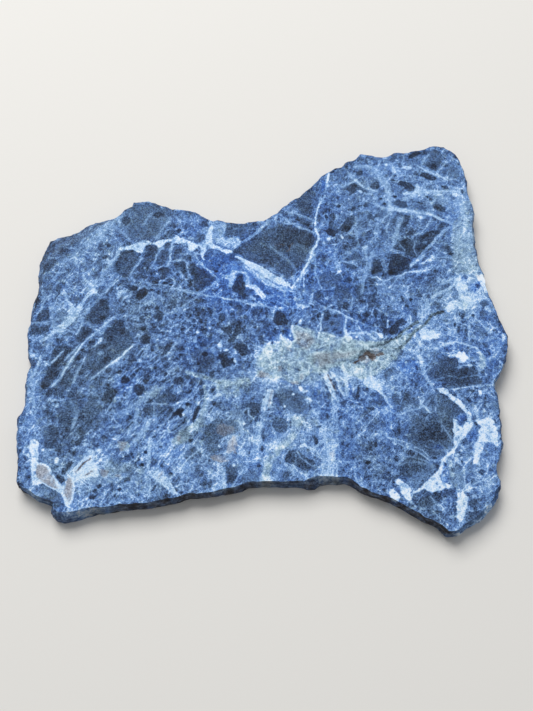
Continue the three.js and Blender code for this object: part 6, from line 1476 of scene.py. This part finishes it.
FINE_STEP = 0.2  # between points of the upper face, where the painting needs them
COARSEST = 4  # their widest spacing, in fine steps
PAINTED_FINELY = ("tone", "royal", "sage", "umber")
PAINT_TOLERANCE = 0.025  # how far the painting may be out between points
LOWER_STEP = 1.3  # between points of the lower face
RIM_CLEARANCE = 0.16  # between those points and the rim
SAME_PLACE = 0.002  # CAD corners closer than this are one
SAWN_TOLERANCE = 0.001
RIM_TOLERANCE = 0.01
CDT_TOLERANCE = 1e-6
PIT_CENTRE = (26.2, -8.3)  # in the drawing frame
PIT_REACH = 5.0  # how far its facets reach
SHARP_ANGLE = 38  # degrees between faces that meet in a sharp edge

# The broken edge: how it is cut and rounded off, and the lumps on it.
EDGE_CUTS = 2  # extra points on each side of a facet
EDGE_SMOOTHING = 2
SMOOTHING_FACTOR = 0.5
EDGE_LUMPS = [(2.6, 0.3, 11), (1.1, 0.2, 23), (0.5, 0.1, 37)]  # size, depth, seed
LUMPS_AT_TOP = 0.2  # their share at the upper rim
LUMPS_PER_MM = 2  # and how fast that grows below it

# The sawn faces' relief: depth, size, seed.
TOP_WAVES = (0.05, 7.0, 63)
PIT_LUMPS = (0.15, 0.6, 61)
PIT_LUMPS_PER_MM = 2  # how fast the lumps grow with the pit's depth

# How the markings drift from the upper face to the lower one: distance, size, seeds.
DRIFT = (1.2, 6, (71, 73))


def cad_mesh():
    """The CAD slab as one joined mesh."""
    mesh = bmesh.new()
    mesh.from_mesh(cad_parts[SLAB].data)
    bmesh.ops.scale(mesh, vec=(1 / MM, 1 / MM, 1 / MM), verts=mesh.verts)
    bmesh.ops.remove_doubles(mesh, verts=mesh.verts, dist=SAME_PLACE)
    return mesh


def is_sawn(face):
    heights = [vertex.co.z for vertex in face.verts]
    return max(heights) < SAWN_TOLERANCE or min(heights) > THICKNESS - SAWN_TOLERANCE


def is_pit(face):
    centre = face.calc_center_median()
    offset = (centre.x - PIT_CENTRE[0], centre.y - PIT_CENTRE[1] - DRAWING_TO_ROW[1])
    return math.hypot(*offset) < PIT_REACH


def roughen(mesh):
    """Rounds the facets off a little and adds broken lumps, but leaves the two rims alone."""
    free = [vertex for vertex in mesh.verts if not vertex.is_boundary]
    for _ in range(EDGE_SMOOTHING):
        bmesh.ops.smooth_vert(
            mesh,
            verts=free,
            factor=SMOOTHING_FACTOR,
            use_axis_x=True,
            use_axis_y=True,
            use_axis_z=True,
        )
    mesh.normal_update()
    for vertex in free:
        rise = sum(
            depth * noise.noise(vertex.co / size + Vector((seed, 0, 0)))
            for size, depth, seed in EDGE_LUMPS
        )
        from_top = THICKNESS - vertex.co.z
        calm = min(1, vertex.co.z, LUMPS_PER_MM * from_top + LUMPS_AT_TOP)
        vertex.co += vertex.normal * rise * calm


def edge_band(cad):
    """The broken edge alone."""
    band = cad.copy()
    flat = [face for face in band.faces if is_sawn(face) or is_pit(face)]
    bmesh.ops.delete(band, geom=flat, context="FACES")
    bmesh.ops.subdivide_edges(band, edges=band.edges, cuts=EDGE_CUTS, use_grid_fill=True)
    bmesh.ops.triangulate(band, faces=band.faces)
    roughen(band)
    band.verts.index_update()
    return band


def rim_of(band, height):
    """The closed edge loop at a height: (numbers of its vertices, pairs of places among them)"""
    pairs = [
        tuple(vertex.index for vertex in edge.verts)
        for edge in band.edges
        if edge.is_boundary
        and all(abs(vertex.co.z - height) < RIM_TOLERANCE for vertex in edge.verts)
    ]
    numbers = sorted({number for pair in pairs for number in pair})
    order = {number: place for place, number in enumerate(numbers)}
    return numbers, [(order[start], order[end]) for start, end in pairs]


def ordered(pairs):
    """The loop's places in order round it."""
    links = {}
    for start, end in pairs:
        links.setdefault(start, []).append(end)
        links.setdefault(end, []).append(start)
    loop = [0, links[0][0]]
    while len(loop) < len(links):
        before, here = loop[-2:]
        loop.append(next(place for place in links[here] if place != before))
    return loop


def lattice(rim, step):
    """(points of a square lattice over a rim's box, its rows and columns), fit to be thinned"""
    low, high = rim.min(axis=0), rim.max(axis=0)
    columns, rows = COARSEST * np.ceil((high - low) / (COARSEST * step)).astype(int) + 1
    x, y = np.meshgrid(low[0] + step * np.arange(columns), low[1] + step * np.arange(rows))
    return np.column_stack([x.ravel(), y.ravel()]), x.shape


def halved(grid):
    """A grid at half its spacing, with means halfway between its values."""
    rows = np.empty((2 * grid.shape[0] - 1, grid.shape[1]))
    rows[::2] = grid
    rows[1::2] = (grid[:-1] + grid[1:]) / 2
    both = np.empty((rows.shape[0], 2 * grid.shape[1] - 1))
    both[:, ::2] = rows
    both[:, 1::2] = (rows[:, :-1] + rows[:, 1:]) / 2
    return both


def needed(layers, shape):
    """Which lattice points the painting needs: the coarsest, and those that wider ones miss."""
    wanted = np.zeros(shape, bool)
    wanted[::COARSEST, ::COARSEST] = True
    for stride in (COARSEST, COARSEST // 2):
        half = stride // 2
        for name in PAINTED_FINELY:
            layer = layers[name].reshape(shape)
            missed = np.abs(layer[::half, ::half] - halved(layer[::stride, ::stride]))
            wanted[::half, ::half] |= missed > PAINT_TOLERANCE
    return wanted.ravel()


def clear_of(rim, at):
    """Which points are inside a rim, and clear of it."""
    inside = is_inside(at, [tuple(point) for point in rim])
    tree = KDTree(len(rim))
    for number, (x, y) in enumerate(rim):
        tree.insert((x, y, 0), number)
    tree.balance()
    for number in np.nonzero(inside)[0]:
        inside[number] = tree.find((at[number, 0], at[number, 1], 0))[2] > RIM_CLEARANCE
    return inside


def upper_points(rim):
    """Points inside the upper rim: close together where the painting needs it, else wider."""
    points, shape = lattice(rim, FINE_STEP)
    points = points[needed(paint(points - MARKS_TO_ROW), shape)]
    return points[clear_of(rim, points)]


def lower_points(rim):
    """Points inside the lower rim, evenly spread."""
    points, _ = lattice(rim, LOWER_STEP)
    return points[clear_of(rim, points)]


def bumps(at, depth, size, seed):
    """How deep the hollows of some relief are, from 0 to its depth."""
    return depth * (1 + ripple(at, size, seed)) / 2


def upper_heights(cad, at):
    """The upper face's heights: the CAD slab's pit, its lumps, and the face's faint waves."""
    heights = np.full(len(at), THICKNESS)
    tree = BVHTree.FromBMesh(cad)
    in_pit = np.linalg.norm(at - DRAWING_TO_ROW - PIT_CENTRE, axis=1) < PIT_REACH
    for number in np.nonzero(in_pit)[0]:
        hit = tree.ray_cast(Vector((*at[number], 2 * THICKNESS)), Vector((0, 0, -1)))[0]
        heights[number] = hit.z
    depth, size, seed = PIT_LUMPS
    share = np.minimum((THICKNESS - heights) * PIT_LUMPS_PER_MM, 1)
    heights -= bumps(at, share * depth, size, seed)
    heights -= bumps(at, *TOP_WAVES)
    return heights


def spread_face(rim, pairs, inner):
    """Triangles over a closed rim and the points inside it, counted through both in turn."""
    places = [Vector(point) for point in np.vstack([rim, inner])]
    _, _, faces, origins, _, _ = delaunay_2d_cdt(places, pairs, [], 1, CDT_TOLERANCE)
    return [[origins[corner][0] for corner in face] for face in faces]


def slab_mesh():
    """(points, triangles, how many of these are broken edge, painted layers)"""
    cad = cad_mesh()
    band = edge_band(cad)
    points = np.array([vertex.co for vertex in band.verts])
    faces = [[vertex.index for vertex in face.verts] for face in band.faces]
    edge_faces = len(faces)
    for height, inner_points, winding in ((THICKNESS, upper_points, 1), (0, lower_points, -1)):
        numbers, pairs = rim_of(band, height)
        rim = points[numbers][:, :2]
        inner = inner_points(rim[ordered(pairs)])
        numbering = np.concatenate([numbers, len(points) + np.arange(len(inner))])
        for face in spread_face(rim, pairs, inner):
            faces.append([int(numbering[corner]) for corner in face[::winding]])
        heights = upper_heights(cad, inner) if height else np.zeros(len(inner))
        points = np.vstack([points, np.column_stack([inner, heights])])
    return points, faces, edge_faces, paint(marks_under(points))


def marks_under(points):
    """Where in the drawing each point lies: the markings drift a little on the way down."""
    distance, size, seeds = DRIFT
    level = points[:, :2]
    depth = (THICKNESS - points[:, 2:3]) / THICKNESS
    drift = np.column_stack([ripple(level, size, seed) for seed in seeds])
    return level - MARKS_TO_ROW + distance * drift * depth


def make_slab():
    points, faces, edge_faces, layers = slab_mesh()
    mesh = bpy.data.meshes.new(STONE)
    mesh.from_pydata((points * MM).tolist(), [], faces)
    mesh.polygons.foreach_set("use_smooth", [True] * len(mesh.polygons))
    mesh.set_sharp_from_angle(angle=math.radians(SHARP_ANGLE))
    for name, numbers in layers.items():
        attribute = mesh.attributes.new(name, "FLOAT", "POINT")
        attribute.data.foreach_set("value", numbers.astype(np.float32))
    broken = mesh.attributes.new("broken", "FLOAT", "FACE")
    broken.data.foreach_set("value", [float(number < edge_faces) for number in range(len(faces))])
    piece = bpy.data.objects.new(STONE, mesh)
    bpy.context.scene.collection.objects.link(piece)
    return piece


# ---------------------------------------------------------------------------------------------
# The material. Sizes are in millimetres, and noise runs from 0 to 1 about a mean of MIDDLE.
# ---------------------------------------------------------------------------------------------

MIDDLE = 0.5
DETAIL = 3.0
RAGGED = {"detail": DETAIL, "roughness": 0.7}  # noise with much fine detail
WARP = (2.6, 0.6)  # how the nets and threads wander: size, distance

# The nets of fine veins: layer, cell size, line width, glow width, how much the lines and their
# glow lighten, and how much the cells differ.
NETS = [
    ("coarse", 4.6, 0.3, 1.3, 0.32, 0.14, 0.22),
    ("fine", 1.9, 0.28, 0.6, 0.34, 0.06, 0.32),
    ("micro", 0.85, 0.2, 0.3, 0.26, 0.03, 0.32),
]
NET_DIM = 0.27  # how much a net's cells are darkened, as a share of its lines and glow
NET_ROYAL = 0.55  # how much bluer a net's glow is
NET_PATCHES = (1.9, 0.42, 0.66)  # where its lines show: noise size in cells, and its range
STREAKS = [("slant", 52), ("upright", 88)]  # the turned nets: layer, angle
STREAK_LENGTH = 3.0  # how much longer than wide their cells are
STREAK_FINENESS = 1.6  # how much smaller

# The fine threads that cross the stone: angle, size, stretch, how much they lighten.
THREADS = [
    (52, 1.7, 5, 0.26),
    (48, 0.7, 5, 0.2),
    (-28, 1.8, 4, 0.22),
    (6, 2.0, 5, 0.2),
    (86, 1.5, 5, 0.2),
    (-55, 0.8, 3, 0.16),
]
THREAD_WIDTH = 0.05  # as a share of the noise that they follow
THREAD_PATCHES = (2.5, 0.42, 0.6)  # where they show: noise size in threads' sizes, and its range

MOTTLE = [(2.4, 0.16), (0.8, 0.26), (0.3, 1.1)]  # size, amount
MOTTLE_ROUGHNESS = 0.65

# Small changes of hue: noise that runs between grey-blue and royal blue, and a dust of sage.
HUE = (0.9, 1.3)  # size, amount
DUST = (1.3, 0.5, 0.75, 0.6)  # size, range of the noise, amount

# The dark colour on the broken edge, and how much of it shows: partly the stone's real dark rind,
# partly painted shade where the edge faces away from the lamp.
CRUST_AND_SHADE_NOISE = {"size": 1.6, "detail": 4.0, "roughness": 0.65}
CRUST_AND_SHADE_RANGE = (0.25, 0.75)
FRESH_SIZE = 3.4
FRESH = (0.42, 0.7, 0.97, 0.7)  # range of the noise, cover at its ends

# Relief in millimetres: fine grain, the saw's marks, and lumps on the broken edge.
GRAIN = (0.5, 0.05)  # size, depth
SAW_DEPTH = 0.01
SAW_ANGLE = -40
SAW_MARKS = {"Scale": 1 / 6.6, "Distortion": 0.6, "Detail Scale": 1.0}
LUMP_NOISE = {"size": 1.2, "detail": 4.0, "roughness": 0.7}
LUMP_DEPTH = 0.5
GLOSS_NOISE = {"size": 1.1, "detail": DETAIL}
ROUGHNESS = (0.3, 0.7, 0.62, 0.82)  # range of the noise, roughness at its ends
REFRACTION = 1.48
SPECULAR = 0.2

# Colours from dark to light: place, (red, green, blue).
BASE_STOPS = [
    (0.0, (18, 26, 39)),
    (0.1, (34, 50, 76)),
    (0.25, (65, 89, 125)),
    (0.4, (92, 126, 171)),
    (0.55, (120, 156, 201)),
    (0.7, (156, 190, 228)),
    (0.82, (190, 217, 243)),
    (0.92, (208, 226, 244)),
    (1.0, (228, 237, 247)),
]
ROYAL_STOPS = [
    (0.0, (24, 34, 62)),
    (0.2, (40, 68, 122)),
    (0.4, (62, 104, 182)),
    (0.6, (98, 148, 216)),
    (0.8, (174, 206, 242)),
    (1.0, (236, 242, 250)),
]
SAGE_STOPS = [
    (0.0, (28, 36, 46)),
    (0.12, (50, 62, 76)),
    (0.25, (77, 100, 117)),
    (0.5, (127, 154, 172)),
    (0.75, (175, 204, 218)),
    (1.0, (226, 234, 238)),
]
UMBER_STOPS = [
    (0.0, (50, 43, 42)),
    (0.25, (96, 89, 87)),
    (0.5, (138, 141, 151)),
    (0.75, (184, 189, 198)),
    (1.0, (228, 228, 228)),
]
# The dark broken edge's colours: the stone's real rind, and painted shade on the front edge.
CRUST_AND_SHADE_STOPS = [
    (0.0, (26, 24, 26)),
    (0.4, (46, 44, 46)),
    (0.7, (72, 74, 82)),
    (1.0, (104, 116, 136)),
]


def linear(red, green, blue):
    """A colour given as 0 to 255, as the linear colour that Blender takes."""
    levels = [value / 255 for value in (red, green, blue)]
    return [
        level / 12.92 if level < 0.04045 else ((level + 0.055) / 1.055) ** 2.4 for level in levels
    ] + [1.0]


class Shader:
    """Short names for the nodes that the stone is made of."""

    def __init__(self, tree):
        self.tree = tree

    def node(self, kind, sockets, output=0, **settings):
        made = self.tree.nodes.new("ShaderNode" + kind)
        for name, value in settings.items():
            setattr(made, name, value)
        for name, value in sockets.items():
            if isinstance(value, bpy.types.NodeSocket):
                self.tree.links.new(value, made.inputs[name])
            else:
                made.inputs[name].default_value = value
        return made.outputs[output] if output is not None else None

    def layer(self, name):
        return self.node("Attribute", {}, "Fac", attribute_name=name)

    def math(self, operation, first, second=0.0, clamp=False):
        return self.node("Math", {0: first, 1: second}, operation=operation, use_clamp=clamp)

    def add(self, first, second, clamp=False):
        return self.math("ADD", first, second, clamp)

    def subtract(self, first, second):
        return self.math("SUBTRACT", first, second)

    def multiply(self, first, second):
        return self.math("MULTIPLY", first, second)

    def ramp(self, value, low, high, start=0.0, end=1.0):
        """The value, carried from low..high to start..end by a smooth step."""
        sockets = {0: value, 1: low, 2: high, 3: start, 4: end}
        return self.node("MapRange", sockets, interpolation_type="SMOOTHSTEP")

    def mix(self, amount, first, second):
        """Two numbers mixed."""
        rest = self.multiply(self.subtract(1.0, amount), first)
        return self.add(rest, self.multiply(amount, second))

    def blend(self, amount, first, second):
        """Two colours mixed, through the Mix node's colour sockets."""
        return self.node("Mix", {0: amount, 6: first, 7: second}, 2, data_type="RGBA")

    def colours(self, value, stops):
        """A colour for the value, from (place, (red, green, blue)) stops."""
        made = self.tree.nodes.new("ShaderNodeValToRGB")
        elements = made.color_ramp.elements
        while len(elements) < len(stops):
            elements.new(0.5)
        for element, (place, colour) in zip(elements, stops):
            element.position = place
            element.color = linear(*colour)
        self.tree.links.new(value, made.inputs["Fac"])
        return made.outputs["Color"]

    def noise(self, place, size, detail=2.0, roughness=0.5, output="Fac"):
        sockets = {"Vector": place, "Scale": 1 / size, "Detail": detail, "Roughness": roughness}
        return self.node("TexNoise", sockets, output)

    def swing(self, place, size, amount, roughness):
        """Detailed noise that runs both ways from 0."""
        value = self.noise(place, size, DETAIL, roughness)
        return self.multiply(self.subtract(value, MIDDLE), amount)

    def turned(self, place, angle, stretch=1.0):
        """The place, stretched along an angle so that what is drawn there runs that way."""
        sockets = {
            "Vector": place,
            "Rotation": (0, 0, math.radians(angle)),
            "Scale": (stretch, 1.0, 1.0),
        }
        return self.node("Mapping", sockets, vector_type="TEXTURE")

    def net(self, place, size):
        """(how far a net's nearest line is, a number from -0.5 to 0.5 for each cell)"""
        sockets = {"Vector": place, "Scale": 1 / size}
        away = self.node("TexVoronoi", sockets, "Distance", feature="DISTANCE_TO_EDGE")
        cell = self.node("TexVoronoi", sockets, "Color", feature="F1")
        value = self.node("SeparateColor", {"Color": cell}, "Red")
        return self.multiply(away, size), self.subtract(value, MIDDLE)


def warped(shader, place):
    """The place, moved about by noise."""
    size, distance = WARP
    drift = shader.noise(place, size, DETAIL, output="Color")
    drift = shader.node("VectorMath", {0: drift, 1: (MIDDLE,) * 3}, operation="SUBTRACT")
    sockets = {0: drift, 1: (distance,) * 3, 2: place}
    return shader.node("VectorMath", sockets, operation="MULTIPLY_ADD")


def net_lift(shader, place, wandering, streaks, net):
    """(how much a net of veins lightens the tone, its glow)"""
    layer, size, line, glow, line_lift, glow_lift, vary = net
    away, cells = shader.net(wandering, size)
    for way, share in streaks:
        turned_away, turned_cells = shader.net(way, size / STREAK_FINENESS)
        away = shader.mix(share, away, turned_away)
        cells = shader.mix(share, cells, turned_cells)
    patch_size, low, high = NET_PATCHES
    patches = shader.ramp(shader.noise(place, size * patch_size), low, high)
    lines = shader.multiply(shader.ramp(away, 0.0, line, 1.0, 0.0), patches)
    halo = shader.ramp(away, 0.0, glow, 1.0, 0.0)
    lift = shader.multiply(lines, line_lift)
    lift = shader.add(lift, shader.multiply(halo, glow_lift))
    lift = shader.add(lift, shader.multiply(cells, vary))
    lift = shader.subtract(lift, NET_DIM * (line_lift + glow_lift))
    strength = shader.layer(layer)
    return shader.multiply(lift, strength), shader.multiply(halo, strength)


def thread_lift(shader, place, wandering, thread):
    """How much one run of fine threads lightens the tone."""
    angle, size, stretch, amount = thread
    wander = shader.noise(shader.turned(wandering, angle, stretch), size, detail=1.0)
    ridge = shader.math("ABSOLUTE", shader.subtract(wander, MIDDLE))
    lift = shader.ramp(ridge, 0.0, THREAD_WIDTH, amount, 0.0)
    patch_size, low, high = THREAD_PATCHES
    patches = shader.ramp(shader.noise(shader.turned(place, angle), patch_size * size), low, high)
    return shader.multiply(shader.multiply(lift, patches), shader.layer("thread"))


def veined_tone(shader, place):
    """(the painted tone with the nets, threads and mottling laid over it, the nets' glow)"""
    wandering = warped(shader, place)
    streaks = [
        (shader.turned(wandering, angle, STREAK_LENGTH), shader.layer(layer))
        for layer, angle in STREAKS
    ]
    tone = shader.layer("tone")
    glow = 0.0
    for net in NETS:
        lift, halo = net_lift(shader, place, wandering, streaks, net)
        tone = shader.add(tone, lift)
        glow = shader.math("MAXIMUM", glow, halo)
    for thread in THREADS:
        tone = shader.add(tone, thread_lift(shader, place, wandering, thread))
    for size, amount in MOTTLE:
        tone = shader.add(tone, shader.swing(place, size, amount, MOTTLE_ROUGHNESS))
    return shader.math("MAXIMUM", tone, 0.0), glow


def crust_and_shade_cover(shader, place, broken):
    """How much of the broken edge is painted dark: partly real rind, partly painted shade."""
    fresh = shader.ramp(shader.noise(place, FRESH_SIZE), *FRESH)
    return shader.multiply(shader.multiply(broken, fresh), shader.layer("crust_and_shade"))


def stone_colour(shader, place, broken):
    tone, glow = veined_tone(shader, place)
    royal = shader.add(shader.multiply(glow, NET_ROYAL), shader.layer("royal"))
    royal = shader.add(royal, shader.swing(place, *HUE, RAGGED["roughness"]), clamp=True)
    dust_size, low, high, amount = DUST
    dust = shader.ramp(shader.noise(place, dust_size, **RAGGED), low, high, 0.0, amount)
    sage = shader.add(shader.layer("sage"), dust, clamp=True)
    colour = shader.colours(tone, BASE_STOPS)
    for share, stops in (
        (royal, ROYAL_STOPS),
        (sage, SAGE_STOPS),
        (shader.layer("umber"), UMBER_STOPS),
    ):
        colour = shader.blend(share, colour, shader.colours(tone, stops))
    # The broken edge's dark colour: partly real rind, partly painted shade where it faces away from the
    # lamp.
    crust_and_shade = shader.ramp(shader.noise(place, **CRUST_AND_SHADE_NOISE), *CRUST_AND_SHADE_RANGE)
    cover = crust_and_shade_cover(shader, place, broken)
    return shader.blend(cover, colour, shader.colours(crust_and_shade, CRUST_AND_SHADE_STOPS))


def stone_relief(shader, place, broken):
    """The height of the fine relief, in millimetres."""
    grain_size, grain_depth = GRAIN
    grain = shader.noise(place, grain_size, **RAGGED)
    saw = shader.node("TexWave", {"Vector": shader.turned(place, SAW_ANGLE), **SAW_MARKS}, "Fac")
    lumps = shader.multiply(shader.noise(place, **LUMP_NOISE), broken)
    height = shader.add(shader.multiply(grain, grain_depth), shader.multiply(saw, SAW_DEPTH))
    return shader.add(height, shader.multiply(lumps, LUMP_DEPTH))


def stone_material():
    material = bpy.data.materials.new("sodalite_rough")
    material.use_nodes = True
    material.node_tree.nodes.clear()
    shader = Shader(material.node_tree)
    place = shader.node("TexCoord", {}, "Object")
    place = shader.node("VectorMath", {0: place, "Scale": 1 / MM}, operation="SCALE")
    broken = shader.layer("broken")
    height = stone_relief(shader, place, broken)
    sockets = {
        "Base Color": stone_colour(shader, place, broken),
        "Roughness": shader.ramp(shader.noise(place, **GLOSS_NOISE), *ROUGHNESS),
        "Normal": shader.node("Bump", {"Height": height, "Strength": 1.0, "Distance": MM}),
        "IOR": REFRACTION,
        "Specular IOR Level": SPECULAR,
    }
    shader.node("OutputMaterial", {"Surface": shader.node("BsdfPrincipled", sockets)}, None)
    return material


# ---------------------------------------------------------------------------------------------
# The studio.
# ---------------------------------------------------------------------------------------------

FLOOR_HALF = 2.0
FLOOR_DROP = 0.00002
FLOOR_COLOUR = (226, 223, 217)
FLOOR_ROUGHNESS = 0.8
WORLD_COLOUR = (232, 236, 242)
WORLD_STRENGTH = 0.4
KEY_PLACE = (-0.25, 0.62, 0.85)
KEY_SIZE = 0.7
KEY_POWER = 11.6
CAMERA_PLACE = (0.10, -103.23, 246.22)  # millimetres in the drawing frame
CAMERA_TILT = 21.5  # degrees from straight down
CAMERA_LENS = 50.63
CAMERA_SENSOR = 36  # along the picture's long side
CAMERA_CLIP = (0.01, 20)


def make_floor():
    mesh = bpy.data.meshes.new("floor")
    half = FLOOR_HALF
    corners = [(-half, -half), (half, -half), (half, half), (-half, half)]
    mesh.from_pydata([(x, y, -FLOOR_DROP) for x, y in corners], [], [(0, 1, 2, 3)])
    material = bpy.data.materials.new("floor")
    material.use_nodes = True
    surface = material.node_tree.nodes["Principled BSDF"]
    surface.inputs["Base Color"].default_value = linear(*FLOOR_COLOUR)
    surface.inputs["Roughness"].default_value = FLOOR_ROUGHNESS
    mesh.materials.append(material)
    floor = bpy.data.objects.new("floor", mesh)
    bpy.context.scene.collection.objects.link(floor)
    return floor


def make_lights():
    world = bpy.data.worlds.new("studio")
    world.use_nodes = True
    background = world.node_tree.nodes["Background"]
    background.inputs["Color"].default_value = linear(*WORLD_COLOUR)
    background.inputs["Strength"].default_value = WORLD_STRENGTH
    bpy.context.scene.world = world
    light = bpy.data.lights.new("key", "AREA")
    light.shape = "SQUARE"
    light.size = KEY_SIZE
    light.energy = KEY_POWER
    key = bpy.data.objects.new("key", light)
    key.location = KEY_PLACE
    key.rotation_euler = (-Vector(KEY_PLACE)).to_track_quat("-Z", "Y").to_euler()
    bpy.context.scene.collection.objects.link(key)


def make_camera():
    lens = bpy.data.cameras.new("camera")
    lens.sensor_width = CAMERA_SENSOR
    lens.lens = CAMERA_LENS
    lens.clip_start, lens.clip_end = CAMERA_CLIP
    camera = bpy.data.objects.new("camera", lens)
    x, y, z = CAMERA_PLACE
    camera.location = Vector((x + DRAWING_TO_ROW[0], y + DRAWING_TO_ROW[1], z)) * MM
    camera.rotation_euler = (math.radians(CAMERA_TILT), 0, 0)
    bpy.context.scene.collection.objects.link(camera)
    bpy.context.scene.camera = camera


make_camera()
make_lights()
make_floor()
stone = make_slab()
stone.data.materials.append(stone_material())
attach(stone, "root")
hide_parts(SLAB)
bpy.context.scene.view_settings.view_transform = "Standard"
